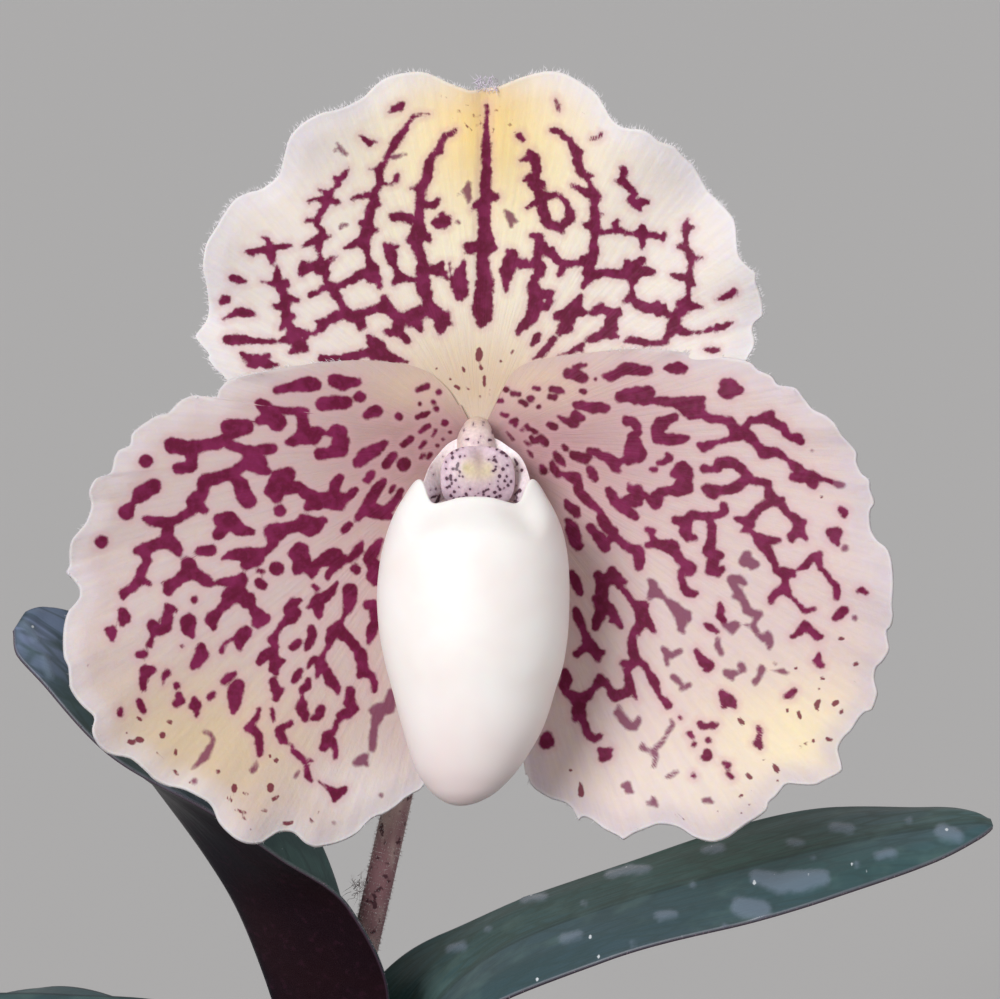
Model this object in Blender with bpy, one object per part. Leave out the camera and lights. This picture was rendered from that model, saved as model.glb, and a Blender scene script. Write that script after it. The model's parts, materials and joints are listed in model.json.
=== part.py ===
# A slipper orchid with one broad, blotched flower, standing in its clay pot.
# Metres, +Z up, origin in the middle of the pot's foot. The flower faces -Y.
import math
import random

import bpy
from mathutils import Vector

MM = 0.001                          # every size below is in millimetres

# Pot and what it holds
POT_HEIGHT = 80
POT_RIM_RADIUS = 42
POT_BAND_HEIGHT = 15                # the thicker band under the rim
POT_BAND_STEP = 1.8
POT_FOOT_RADIUS = 29
POT_WALL = 4.2
POT_FLOOR = 6
DRAIN_RADIUS = 3.5
DRAIN_RING = 15                     # distance of the drain holes from the middle
DRAIN_COUNT = 4
MIX_TOP = 73.5
MIX_CLEARANCE = 0.4
CHIP_COUNT = 34
CHIP_LENGTH = (6.5, 12.0)
CROWN_TOP = 73.0                    # the short stem that carries leaves and scape
CROWN_HEIGHT = 8
CROWN_HALF_LENGTH = 14.5
CROWN_HALF_WIDTH = 4.6
ROOT_COUNT = 6
ROOT_RADIUS = 1.7

# Flower: across, up and towards the viewer, from the point where its parts meet
FLOWER_CENTRE = (14.0, -17.6, 155.0)
FLOWER_LEAN_BACK = math.radians(8)
HUB_RADIUS = 2.7
HUB_FRONT = -0.2
BLADE_ROOT_RADIUS = 3.1             # where sepals and petals begin, round the hub
BLADE_THICKNESS = 0.75
PETAL_HALF_SPAN = 39
PETAL_BASE = -1.9                   # how far forward petals and sepals begin
DORSAL_REACH = 35
SEPAL_BASE = -4.0
SYNSEPAL_REACH = 28
SYNSEPAL_HALF_WIDTH = 9
POUCH_HALF_WIDTH = 8.9
POUCH_HALF_DEPTH = 8.0
POUCH_RISE = 18.1                   # from its widest level to where its sides would close
POUCH_DROP = 17.2                   # from its widest level to its bottom
POUCH_CENTRE = (-0.4, -17.4, 8.3)
POUCH_WALL = 0.9
POUCH_MOUTH = [                     # bearing from the front, height of the rim there
    (0, -5.9), (40, -5.7), (62, -5.0), (76, -4.0), (90, -4.4), (106, -5.1), (130, -3.6), (180, -3.0)]
STAMINODE_CENTRE = (-0.1, -3.1, 5.0)
STAMINODE_HALF_SIZE = (3.4, 2.8)
LEAF_THICKNESS = 1.3
SCAPE_RADIUS = 1.35
OVARY_RADIUS = 2.1

# Outlines as (across, up), from the right round to the left for the top sepal,
# and from the top edge down to the bottom for the petals
DORSAL_OUTLINE = [
    (6, 1), (15, 3), (23.5, 5), (26.2, 8.4), (27.3, 12.5), (26.8, 16), (25, 19), (23.5, 22.5),
    (21.2, 25.5), (18.3, 28.6), (14.6, 29.7), (12, 32.2), (9.3, 34.9), (7, 35.4), (3.8, 34.5),
    (0.7, 33.7), (-2.6, 34.4), (-6.1, 35.4), (-9, 34.4), (-11.5, 32.6), (-16.5, 30.6),
    (-18.4, 27.5), (-20.3, 24.6), (-23.4, 23.4), (-26, 19), (-26.6, 14.8), (-26.2, 12),
    (-26.9, 9.8), (-25.3, 6), (-21, 4.3), (-14, 3), (-6, 1)]
PETAL_LEFT_OUTLINE = [
    (-0.6, 5.2), (-5.6, 7), (-12.3, 7.6), (-18, 7), (-23.4, 5.9), (-25.6, 4.2), (-28.4, 3.8),
    (-32.9, 1), (-34.3, -1.2), (-36.9, -4.4), (-37.2, -7), (-39, -10.2), (-38.2, -14.3),
    (-39.4, -18), (-38.7, -23.4), (-36.7, -25), (-35.8, -28), (-31.4, -31.3), (-26.3, -34.8),
    (-22, -38.3), (-18.2, -37.5), (-14.5, -38.7), (-10.8, -37.7), (-7, -34.8), (-5, -33),
    (-3.9, -29)]
PETAL_RIGHT_OUTLINE = [
    (0.8, 5.5), (5.5, 7.2), (9.5, 8.1), (15.6, 8.7), (23, 8), (28, 6.1), (33.4, 2.6),
    (36.1, -1.6), (37.7, -7), (37.7, -9.4), (39.2, -12), (39.4, -15.5), (38.7, -20),
    (37.9, -25), (35.4, -29.3), (33.4, -32.3), (29.8, -32.9), (26, -36.4), (22.8, -38.1),
    (18.5, -37.4), (13.3, -37.8), (9.5, -35.4), (5.6, -33), (4.6, -30.5), (4, -27)]
SYNSEPAL_OUTLINE = [
    (-3, -1), (-7, -8), (-9.2, -15), (-8.6, -21), (-5.5, -26), (-0.5, -28),
    (4.8, -26), (8, -21), (8.8, -15), (6.8, -8), (3, -1)]

# Leaves, from base to tip: keel (x, y, z), half width, half angle of the fold, roll
LEAVES = {
    "leaf_right_1": [
        (4.6, 0, 73.3, 2.8, 35, 0), (5.6, -1.5, 84, 4.8, 50, 10), (7.8, -3.4, 90, 10.2, 64, 18),
        (10.4, -5.4, 96, 11.6, 82, 8), (17, -6.8, 101.8, 12.4, 89.5, 3),
        (27, -8.3, 106.2, 13.2, 92, 1), (39, -9.7, 110.2, 12.8, 93, 3),
        (50, -11.4, 113.5, 11, 92, 3), (59, -12.5, 115.4, 7.2, 92, 2),
        (63.2, -13, 116, 3.8, 92, 1), (64.8, -13.1, 116.1, 1.2, 92, 1)],
    "leaf_left_1": [
        (-4.6, 0, 73.3, 2.8, 35, 0), (-5.3, -1.4, 84, 5.6, 46, 0), (-5.8, -2.9, 90, 8.2, 40, 4),
        (-6.7, -4.2, 95.8, 12.8, 39, 8), (-9.8, -6.2, 105.3, 14, 44, 3),
        (-13.2, -8.2, 112.1, 13.6, 54, -3), (-17.4, -10, 118.9, 12, 64, -8),
        (-21.9, -11.2, 125.9, 9.4, 77, -19), (-26.6, -11.8, 132.4, 6.6, 84, -24),
        (-30, -12, 135.2, 4.3, 88, -26), (-31.3, -12.1, 136.2, 1.6, 88, -26)],
    "leaf_right_2": [
        (7.6, 0, 73.3, 2.8, 35, 0), (11, -1, 80.6, 7, 46, 0), (20, -3, 85, 11, 62, 0),
        (34, -5, 87, 13, 74, -2), (50, -6.6, 86.4, 13.2, 82, -4), (65, -8.4, 82.6, 11.4, 86, 0),
        (76, -10, 78, 8, 88, 4), (81.5, -10.8, 75.4, 4.4, 88, 4), (83, -11, 74.6, 1.2, 88, 4)],
    "leaf_left_2": [
        (-7.6, 0, 73.3, 2.8, 35, 0), (-11.4, 1, 81, 7, 46, 0), (-19.5, 2, 85.6, 11, 62, 0),
        (-31, 2, 87, 13.2, 76, 0), (-46, 0, 86.6, 13.4, 85, -4), (-60, -3, 84.4, 11.8, 86, -6),
        (-72, -5, 81, 8, 88, -6), (-77.4, -6, 78.8, 4.4, 88, -6), (-79, -6.2, 78.2, 1.2, 88, -6)],
    "leaf_right_3": [
        (11.6, -1.2, 73.3, 2.2, 40, 0), (15.5, -4.2, 77, 4.6, 52, 0), (22.5, -12, 80.6, 8, 66, 0),
        (32, -25.5, 83, 10.4, 82, 0), (41, -36, 81.2, 10, 87, 0), (48, -44.6, 76, 7.2, 88, 0),
        (51, -48.6, 72.4, 4.2, 88, 0), (52, -49.8, 71.4, 1.2, 88, 0)],
    "leaf_left_3": [
        (-11.6, 1.2, 73.3, 2.2, 40, 0), (-15.5, 4.2, 77, 4.6, 52, 0), (-22.5, 12, 80.6, 8, 66, 0),
        (-33, 24.5, 83.6, 11, 80, 0), (-44.5, 35.5, 82.6, 11, 87, 0), (-54, 44.5, 78.4, 8, 88, 0),
        (-58, 48.4, 75.8, 4.4, 88, 0), (-59.2, 49.6, 75, 1.2, 88, 0)]}
LEAF_HEADINGS = {
    "leaf_right_1": 0, "leaf_right_2": 0, "leaf_right_3": -43,
    "leaf_left_1": 180, "leaf_left_2": 180, "leaf_left_3": 137}

# Centre lines: the scape in the plant's frame, the rest in the flower's
SCAPE_LINE = [(0, 0, 73.3), (-0.2, -0.9, 79), (-0.2, -2.3, 86), (0.7, -3.8, 94), (2.7, -4.3, 103),
              (5.4, -3.2, 115), (8.1, -0.9, 127.4)]
OVARY_LINE = [(0, 0, -6), (-0.3, -1.6, -10.2), (-1.6, -7, -15.3), (-3.5, -14.5, -18.8),
              (-5.7, -24.4, -20.9)]
BRACT_LINE = [(8.1, 2.2, 127.2), (9.3, 4.8, 133), (11, 6.2, 139), (12.4, 6.8, 145)]
BRACT_HALF_WIDTH = (2.2, 5.0, 4.4, 0.8)
COLUMN_LINE = [(0, 0.7, 0.1), (0, 0.3, 1.4), (-0.1, -1.2, 2.8), (-0.1, -2.5, 3.8), (-0.1, -2.8, 4.5)]
COLUMN_RADII = (1.7, 1.8, 1.9, 1.7, 1.6)


def clear_scene():
    for item in list(bpy.data.objects):
        bpy.data.objects.remove(item, do_unlink=True)


def material(name, colour, roughness, metallic=0.0):
    made = bpy.data.materials.new(name)
    made.use_nodes = True
    shader = made.node_tree.nodes["Principled BSDF"]
    shader.inputs["Base Color"].default_value = (*colour, 1.0)
    shader.inputs["Roughness"].default_value = roughness
    shader.inputs["Metallic"].default_value = metallic
    return made


def solid(name, points, faces, finish, parent=None):
    """One mesh object from points in millimetres."""
    mesh = bpy.data.meshes.new(name)
    mesh.from_pydata([tuple(value * MM for value in point) for point in points], [], faces)
    mesh.materials.append(finish)
    mesh.shade_smooth()
    mesh.set_sharp_from_angle(angle=math.radians(40))
    made = bpy.data.objects.new(name, mesh)
    bpy.context.scene.collection.objects.link(made)
    made.parent = parent
    return made


def catmull_rom(points, place):
    """The point at place, counted in steps between the given points."""
    last = len(points) - 1
    step = min(int(place), last - 1)
    t = place - step
    before, start, end, after = (points[max(0, min(last, step + shift))] for shift in (-1, 0, 1, 2))
    return tuple(
        0.5 * (2 * b + (c - a) * t + (2 * a - 5 * b + 4 * c - d) * t * t
               + (3 * b - a - 3 * c + d) * t ** 3)
        for a, b, c, d in zip(before, start, end, after))


def resample(points, count):
    last = len(points) - 1
    return [catmull_rom(points, last * index / (count - 1)) for index in range(count)]


def smooth_step(low, high, value):
    t = max(0.0, min(1.0, (value - low) / (high - low)))
    return t * t * (3 - 2 * t)


def flower_frame():
    frame = bpy.data.objects.new("flower_frame", None)
    frame.location = [value * MM for value in FLOWER_CENTRE]
    frame.rotation_euler.x = -FLOWER_LEAN_BACK
    bpy.context.scene.collection.objects.link(frame)
    return frame


def in_flower(across, up, forward):
    """Across, up and forward in the flower, as its frame's own x, y and z."""
    return (across, -forward, up)


# Sheets: sepals, petals and leaves
def sheet(name, rows, thickness, finish, parent=None):
    """A thickened sheet through rows of points, in triangles alike on both faces."""
    width = len(rows[0])
    faces = []
    for row in range(len(rows) - 1):
        for column in range(width - 1):
            corner = row * width + column
            above = corner + width
            if (row + column) % 2:
                faces += [(corner, corner + 1, above), (corner + 1, above + 1, above)]
            else:
                faces += [(corner, corner + 1, above + 1), (corner, above + 1, above)]
    made = solid(name, [point for row in rows for point in row], faces, finish, parent)
    thicken = made.modifiers.new("thickness", "SOLIDIFY")
    thicken.thickness = thickness * MM
    thicken.offset = 0
    return made


def reach_by_bearing(outline, middle):
    """Bearing and reach of close points along the outline, bearings within half a turn of middle."""
    table = []
    for across, up in resample(outline, 12 * len(outline)):
        turn = math.degrees(math.atan2(up, across)) - middle
        table.append((middle + (turn + 180) % 360 - 180, math.hypot(across, up)))
    return sorted(table)


def reach_at(table, bearing):
    for (low, near), (high, far) in zip(table, table[1:]):
        if low <= bearing <= high:
            return near + (far - near) * (bearing - low) / max(high - low, 1e-6)
    return table[0][1] if bearing < table[0][0] else table[-1][1]


def blade(name, outline, bearings, columns, rows, depth, finish, parent):
    """A sepal or petal: bearings round the hub by distances out from it, set by depth()."""
    start, stop = bearings
    table = reach_by_bearing(outline, (start + stop) / 2)
    grid = []
    for row in range(rows + 1):
        out = (row / rows) ** 0.9
        line = []
        for column in range(columns + 1):
            bearing = start + (stop - start) * column / columns
            reach = reach_at(table, bearing)
            distance = BLADE_ROOT_RADIUS + (reach - BLADE_ROOT_RADIUS) * out
            across = distance * math.cos(math.radians(bearing))
            up = distance * math.sin(math.radians(bearing))
            forward = depth(across, up, bearing, distance / reach)
            line.append(in_flower(across, up, forward))
        grid.append(line)
    return sheet(name, grid, BLADE_THICKNESS, finish, parent)


def dorsal_depth(across, up, bearing, share):
    """Cupped forward, its margin waved, its tip turned back a little."""
    cup = 4.6 * (math.hypot(across, up) / DORSAL_REACH) ** 1.7
    tip = 2.2 * smooth_step(27, 36, up) * smooth_step(10, 0, abs(across - 0.7))
    wave = 1.0 * share ** 5 * math.sin(math.radians(13 * bearing))
    low = smooth_step(3, 9, up)
    return SEPAL_BASE + cup * (0.35 + 0.65 * low) - tip + wave * low


def petal_depth(across, up, bearing, share):
    """A shallow dish that comes forward to the sides, with a waved margin."""
    side = 6.4 * (abs(across) / PETAL_HALF_SPAN) ** 1.5
    lobe = 1.6 * smooth_step(-22, -38, up) * smooth_step(6, 22, abs(across))
    top = smooth_step(8, 24, abs(across))
    wave = 0.7 * top * share ** 5 * math.sin(math.radians(14 * bearing))
    return PETAL_BASE + side + lobe + wave


def synsepal_depth(across, up, bearing, share):
    """Behind the petals, leaning back towards its tip, its sides a little forward."""
    back = 1.4 * (math.hypot(across, up) / SYNSEPAL_REACH) ** 1.5
    sides = 0.6 * (across / SYNSEPAL_HALF_WIDTH) ** 2
    return SEPAL_BASE - back + sides


def across_vector(along, facing, fold, roll, hand):
    """Direction of one half of a folded blade, from its keel to its margin."""
    inner = (facing - along * facing.dot(along)).normalized()
    side = along.cross(inner)
    angle = hand * math.radians(fold) + math.radians(roll)
    return inner * math.cos(angle) + side * math.sin(angle)


def ribbon(name, stations, sections, steps, facing, thickness, finish, parent=None):
    """A leaf folded along its keel, from stations of keel, half width, fold and roll."""
    lines = resample(stations, sections)
    grid = []
    for index, line in enumerate(lines):
        keel = Vector(line[:3])
        before = Vector(lines[max(index - 1, 0)][:3])
        after = Vector(lines[min(index + 1, sections - 1)][:3])
        along = (after - before).normalized()
        half_width, fold, roll = line[3:]
        row = []
        for step in range(-steps, steps + 1):
            share = abs(step) / steps
            hand = 1 if step > 0 else -1
            out = across_vector(along, facing, fold, roll, hand)
            row.append(keel + out * half_width * share)
        grid.append([tuple(point) for point in row])
    return sheet(name, grid, thickness, finish, parent)


# Round stems
def tube_mesh(line, radii, sides, ribs=0.0):
    """Points and faces of a closed tube with flat ends along a line of points."""
    points = []
    faces = []
    count = len(line)
    side = Vector((1, 0, 0))
    for index, place in enumerate(line):
        here = Vector(place)
        along = (Vector(line[min(index + 1, count - 1)]) - Vector(line[max(index - 1, 0)])).normalized()
        side = (side - along * side.dot(along)).normalized()
        other = along.cross(side)
        for spoke in range(sides):
            angle = math.tau * spoke / sides
            radius = radii[index] * (1 + ribs * (1 if spoke % 2 else -1))
            points.append(here + (side * math.cos(angle) + other * math.sin(angle)) * radius)
    for index in range(count - 1):
        for spoke in range(sides):
            corner = index * sides + spoke
            beside = index * sides + (spoke + 1) % sides
            faces.append((corner, beside, beside + sides, corner + sides))
    faces.append(tuple(reversed(range(sides))))
    faces.append(tuple(range((count - 1) * sides, count * sides)))
    return [tuple(point) for point in points], faces


def tube(name, points, radii, count, sides, finish, parent=None, ribs=0.0):
    line = resample(points, count)
    sizes = [value[0] for value in resample([(radius,) for radius in radii], count)]
    places, faces = tube_mesh(line, sizes, sides, ribs)
    return solid(name, places, faces, finish, parent)


# Booleans
def apply_modifiers(target):
    graph = bpy.context.evaluated_depsgraph_get()
    mesh = bpy.data.meshes.new_from_object(target.evaluated_get(graph))
    target.modifiers.clear()
    target.data = mesh


def remove_all(helpers):
    for helper in helpers:
        bpy.data.objects.remove(helper, do_unlink=True)


def join_with(target, helpers, operation):
    """Adds or takes away all helpers in one step, then removes them."""
    group = bpy.data.collections.new("helpers")
    for helper in helpers:
        group.objects.link(helper)
    change = target.modifiers.new("join", "BOOLEAN")
    change.operation = operation
    change.operand_type = "COLLECTION"
    change.collection = group
    change.solver = "EXACT"
    apply_modifiers(target)
    remove_all(helpers)
    bpy.data.collections.remove(group)


def turned(name, profile, sides, finish):
    """A closed body from (radius, height) pairs that begin and end on the axis."""
    points = []
    faces = []
    rings = []
    for radius, height in profile:
        if radius == 0:
            rings.append([len(points)])
            points.append((0, 0, height))
            continue
        rings.append(list(range(len(points), len(points) + sides)))
        for spoke in range(sides):
            angle = math.tau * spoke / sides
            points.append((radius * math.cos(angle), radius * math.sin(angle), height))
    for lower, upper in zip(rings, rings[1:]):
        for spoke in range(sides):
            after = (spoke + 1) % sides
            low = [lower[spoke % len(lower)], lower[after % len(lower)]]
            high = [upper[after % len(upper)], upper[spoke % len(upper)]]
            faces.append(tuple(dict.fromkeys(low + high)))
    return solid(name, points, faces, finish)


# Pot, mix, crown and roots
def pot_radius(height):
    """Outer radius of the pot's body, without its band."""
    top = POT_RIM_RADIUS - POT_BAND_STEP
    return POT_FOOT_RADIUS + (top - POT_FOOT_RADIUS) * height / POT_HEIGHT


def make_pot(finish):
    band = POT_HEIGHT - POT_BAND_HEIGHT
    inner_top = pot_radius(POT_HEIGHT) - POT_WALL
    inner_floor = pot_radius(POT_FLOOR) - POT_WALL
    profile = [
        (0, 0), (POT_FOOT_RADIUS - 1, 0), (POT_FOOT_RADIUS, 1), (pot_radius(band), band),
        (pot_radius(band) + POT_BAND_STEP, band + 0.8), (POT_RIM_RADIUS, POT_HEIGHT - 1.2),
        (POT_RIM_RADIUS - 1.2, POT_HEIGHT), (inner_top + 1, POT_HEIGHT),
        (inner_top, POT_HEIGHT - 1), (inner_floor, POT_FLOOR), (0, POT_FLOOR)]
    pot = turned("pot", profile, 40, finish)
    drains = []
    for index in range(DRAIN_COUNT):
        angle = math.tau * (index + 0.5) / DRAIN_COUNT
        x = DRAIN_RING * math.cos(angle)
        y = DRAIN_RING * math.sin(angle)
        line = [(x, y, -2), (x, y, POT_FLOOR + 2)]
        drains.append(tube("drain", line, (DRAIN_RADIUS, DRAIN_RADIUS), 2, 12, finish))
    join_with(pot, drains, "DIFFERENCE")
    return pot


def crown_and_roots(extra, finish):
    """The short stem and its roots, all made thicker by extra."""
    sides = 14
    spare = extra * 2
    points = []
    for height, share in ((CROWN_TOP - CROWN_HEIGHT - extra, 0.7), (CROWN_TOP - 2, 1.0),
                          (CROWN_TOP + spare, 0.97)):
        for spoke in range(sides):
            angle = math.tau * spoke / sides
            points.append(((CROWN_HALF_LENGTH * share + extra) * math.cos(angle),
                           (CROWN_HALF_WIDTH * share + extra) * math.sin(angle), height))
    faces = [tuple(reversed(range(sides))), tuple(range(2 * sides, 3 * sides))]
    for ring in range(2):
        for spoke in range(sides):
            corner = ring * sides + spoke
            beside = ring * sides + (spoke + 1) % sides
            faces.append((corner, beside, beside + sides, corner + sides))
    crown = solid("rootstock", points, faces, finish)
    draw = random.Random(7)
    roots = []
    for index in range(ROOT_COUNT):
        angle = math.tau * (index + 0.35) / ROOT_COUNT
        start = (8.5 * math.cos(angle), 2.2 * math.sin(angle), CROWN_TOP - CROWN_HEIGHT + 3)
        line = [start]
        spread = 15
        for height in (58, 44, 30, 17):
            turn = angle + draw.uniform(-0.22, 0.22)
            line.append((spread * math.cos(turn), spread * math.sin(turn), height))
            spread += draw.uniform(1.5, 4)
        radii = [ROOT_RADIUS + extra] * 4 + [ROOT_RADIUS * 0.6 + extra]
        if extra:
            end = Vector(line[-1]) + (Vector(line[-1]) - Vector(line[-2])).normalized() * extra
            line[-1] = tuple(end)
        roots.append(tube("root", line, radii, 9, 7, finish))
    join_with(crown, roots, "UNION")
    return crown


def make_mix(finish):
    """Bark filling the pot, chips on its top, and room for the crown and roots."""
    floor = POT_FLOOR + MIX_CLEARANCE
    inner = POT_WALL + MIX_CLEARANCE
    mix = turned("potting_mix", [
        (0, floor), (pot_radius(floor) - inner, floor), (pot_radius(MIX_TOP) - inner, MIX_TOP),
        (0, MIX_TOP)], 40, finish)
    draw = random.Random(3)
    chips = []
    for index in range(CHIP_COUNT):
        angle = index * 2.4
        distance = 10.5 + 20.5 * math.sqrt((index + 0.5) / CHIP_COUNT)
        length = draw.uniform(*CHIP_LENGTH) if distance < 27 else CHIP_LENGTH[0]
        half = (length / 2, length * draw.uniform(0.28, 0.4), length * draw.uniform(0.13, 0.2))
        chips.append(bark_chip(distance, angle, half, draw, finish))
    chips = [chip for chip in chips if chip]
    join_with(mix, chips, "UNION")
    join_with(mix, [crown_and_roots(MIX_CLEARANCE, finish)], "DIFFERENCE")
    return mix


def bark_chip(distance, angle, half, draw, finish):
    """A tilted six-sided chip, half sunk, clear of the crown and the pot's wall."""
    x = distance * math.cos(angle)
    y = distance * math.sin(angle)
    turn = draw.uniform(0, math.pi)
    tilt = draw.uniform(-0.25, 0.25)
    corners = [(-1, -0.8), (0.2, -1), (1, -0.5), (0.9, 0.8), (-0.3, 1), (-1, 0.6)]
    points = []
    for level in (-1, 1):
        for across, along in corners:
            shrink = 1.0 if level < 0 else 0.82
            px = across * half[0] * shrink
            py = along * half[1] * shrink
            pz = level * half[2] + px * tilt + 0.6
            points.append((x + px * math.cos(turn) - py * math.sin(turn),
                           y + px * math.sin(turn) + py * math.cos(turn), MIX_TOP + pz))
    limit = pot_radius(MIX_TOP) - POT_WALL - MIX_CLEARANCE - 0.3
    clear = all(math.hypot(p[0], p[1]) < limit for p in points)
    crowded = any(math.hypot(p[0] / (CROWN_HALF_LENGTH + 2), p[1] / (CROWN_HALF_WIDTH + 2)) < 1
                  for p in points)
    if crowded or not clear:
        return None
    faces = [tuple(reversed(range(6))), tuple(range(6, 12))]
    faces += [(i, (i + 1) % 6, (i + 1) % 6 + 6, i + 6) for i in range(6)]
    return solid("chip", points, faces, finish)


# Flower
def pouch_rim_height(bearing):
    """Height of the pouch's mouth, bearing counted from the front."""
    turn = abs((bearing + 180) % 360 - 180)
    for (low, start), (high, end) in zip(POUCH_MOUTH, POUCH_MOUTH[1:]):
        if low <= turn <= high:
            return start + (end - start) * smooth_step(low, high, turn)
    return POUCH_MOUTH[-1][1]


def pouch_point(bearing, share):
    """A point of the pouch's outside, share 0 at its bottom and 1 at its mouth."""
    angle = math.radians(bearing)
    rim = pouch_rim_height(bearing)
    top = math.asin((rim - POUCH_CENTRE[1]) / POUCH_RISE)
    rise = -math.pi / 2 + (top + math.pi / 2) * share
    up = POUCH_CENTRE[1] + (POUCH_DROP if rise < 0 else POUCH_RISE) * math.sin(rise)
    size = math.cos(rise)
    behind = smooth_step(-0.1, -0.75, math.cos(angle))
    back_wall = size if rise < 0 else size + (1 - size) * behind
    depth = POUCH_HALF_DEPTH * back_wall
    ahead = smooth_step(0.2, 0.9, math.cos(angle))
    fold = smooth_step(0.9, 1.0, share) * (0.3 + 1.3 * ahead) * (1 - behind)
    drift = -0.9 * smooth_step(-18, -36, up)
    across = POUCH_CENTRE[0] + drift + (POUCH_HALF_WIDTH * size - fold) * math.sin(angle)
    forward = POUCH_CENTRE[2] + (depth - fold) * math.cos(angle)
    return in_flower(across, up, forward)


def make_pouch(finish, parent):
    sides = 32
    levels = 13
    points = [pouch_point(0, 0)]
    for level in range(1, levels + 1):
        share = (level / levels) ** 0.9
        points += [pouch_point(360 * spoke / sides, share) for spoke in range(sides)]
    faces = []
    for spoke in range(sides):
        beside = (spoke + 1) % sides
        faces.append((0, 1 + beside, 1 + spoke))
        for level in range(levels - 1):
            corner = 1 + level * sides + spoke
            other = 1 + level * sides + beside
            faces.append((corner, other, other + sides))
            faces.append((corner, other + sides, corner + sides))
    pouch = solid("pouch", points, faces, finish, parent)
    thicken = pouch.modifiers.new("wall", "SOLIDIFY")
    thicken.thickness = POUCH_WALL * MM
    thicken.offset = -1
    return pouch


def make_staminode(finish, parent):
    """A small domed shield, wider than high, blunt at its foot."""
    sides = 20
    rings = [(0.0, 1.5), (0.45, 1.35), (0.8, 1.0), (1.0, 0.45), (0.93, 0.0), (0.5, -0.1), (0.0, -0.1)]
    points = []
    index_rings = []
    for share, forward in rings:
        if share == 0:
            index_rings.append([len(points)])
            points.append(in_flower(STAMINODE_CENTRE[0], STAMINODE_CENTRE[1],
                                    STAMINODE_CENTRE[2] + forward))
            continue
        index_rings.append(list(range(len(points), len(points) + sides)))
        for spoke in range(sides):
            angle = math.tau * spoke / sides
            foot = 1.0 - 0.08 * smooth_step(-0.6, -1.0, math.sin(angle))
            points.append(in_flower(
                STAMINODE_CENTRE[0] + STAMINODE_HALF_SIZE[0] * share * math.cos(angle),
                STAMINODE_CENTRE[1] + STAMINODE_HALF_SIZE[1] * share * math.sin(angle) * foot,
                STAMINODE_CENTRE[2] + forward))
    faces = []
    for inner, outer in zip(index_rings, index_rings[1:]):
        for spoke in range(sides):
            after = (spoke + 1) % sides
            loop = [inner[spoke % len(inner)], outer[spoke % len(outer)],
                    outer[after % len(outer)], inner[after % len(inner)]]
            faces.append(tuple(dict.fromkeys(loop)))
    return solid("staminode", points, faces, finish, parent)


def make_column(finish, parent):
    """The column, with an anther on each side and the stigma under its tip."""
    column = tube("column", [in_flower(*place) for place in COLUMN_LINE], COLUMN_RADII, 7, 14,
                  finish, parent)
    helpers = []
    for hand in (-1, 1):
        line = [in_flower(hand * 1.0, -1.6, 2.2), in_flower(hand * 2.5, -2.6, 3.2)]
        helpers.append(tube("anther", line, (0.75, 0.55), 3, 8, finish, parent))
    stigma = [in_flower(-0.1, -2.0, 2.4), in_flower(-0.1, -4.6, 3.2)]
    helpers.append(tube("stigma", stigma, (1.0, 1.3), 3, 10, finish, parent))
    join_with(column, helpers, "UNION")
    return column


def make_ovary(finish, parent):
    """Ribbed ovary with the short hub that sepals and petals stand round."""
    sizes = (OVARY_RADIUS, OVARY_RADIUS * 0.95, OVARY_RADIUS, OVARY_RADIUS, 1.5)
    ovary = tube("ovary", [in_flower(*place) for place in OVARY_LINE], sizes, 11, 12, finish,
                 parent, ribs=0.06)
    hub_line = [in_flower(0, 0, -7.0), in_flower(0, 0, HUB_FRONT)]
    hub = tube("hub", hub_line, (HUB_RADIUS * 0.85, HUB_RADIUS), 2, 14, finish, parent)
    join_with(ovary, [hub], "UNION")
    return ovary


def make_plant():
    clay = material("terracotta", (0.42, 0.17, 0.09), 0.85)
    bark = material("bark", (0.14, 0.075, 0.04), 0.9)
    root = material("root", (0.42, 0.36, 0.22), 0.8)
    leaf = material("leaf", (0.06, 0.13, 0.07), 0.4)
    stem = material("scape", (0.16, 0.05, 0.06), 0.7)
    ovary = material("ovary", (0.25, 0.1, 0.1), 0.7)
    petal = material("petal", (0.8, 0.72, 0.58), 0.55)
    sepal = material("sepal", (0.8, 0.7, 0.48), 0.55)
    pouch = material("pouch", (0.85, 0.82, 0.78), 0.3)
    column = material("column", (0.72, 0.6, 0.64), 0.5)
    shield = material("staminode", (0.75, 0.64, 0.5), 0.45)

    make_pot(clay)
    make_mix(bark)
    crown_and_roots(0, root)
    for name, stations in LEAVES.items():
        heading = math.radians(LEAF_HEADINGS[name])
        facing = Vector((-math.cos(heading), -math.sin(heading), 1))
        ribbon(name, stations, 15, 3, facing, LEAF_THICKNESS, leaf)
    tube("scape", SCAPE_LINE, [SCAPE_RADIUS * 1.1] + [SCAPE_RADIUS] * 6, 16, 10, stem)
    stations = [(*place, half, 60, 0) for place, half in zip(BRACT_LINE, BRACT_HALF_WIDTH)]
    ribbon("bract", stations, 8, 2, Vector((0, -1, 0)), BLADE_THICKNESS, stem)

    flower = flower_frame()
    make_ovary(ovary, flower)
    blade("dorsal_sepal", DORSAL_OUTLINE, (12, 168), 36, 8, dorsal_depth, sepal, flower)
    blade("synsepal", SYNSEPAL_OUTLINE, (228, 310), 14, 6, synsepal_depth, sepal, flower)
    blade("petal_left", PETAL_LEFT_OUTLINE, (96, 262), 44, 8, petal_depth, petal, flower)
    blade("petal_right", PETAL_RIGHT_OUTLINE, (84, -82), 44, 8, petal_depth, petal, flower)
    make_pouch(pouch, flower)
    make_column(column, flower)
    make_staminode(shield, flower)


clear_scene()
make_plant()
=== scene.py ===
# Dresses the potted slipper orchid: its flower, stem, leaves, pot and bark.
import json
import math
import random

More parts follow.
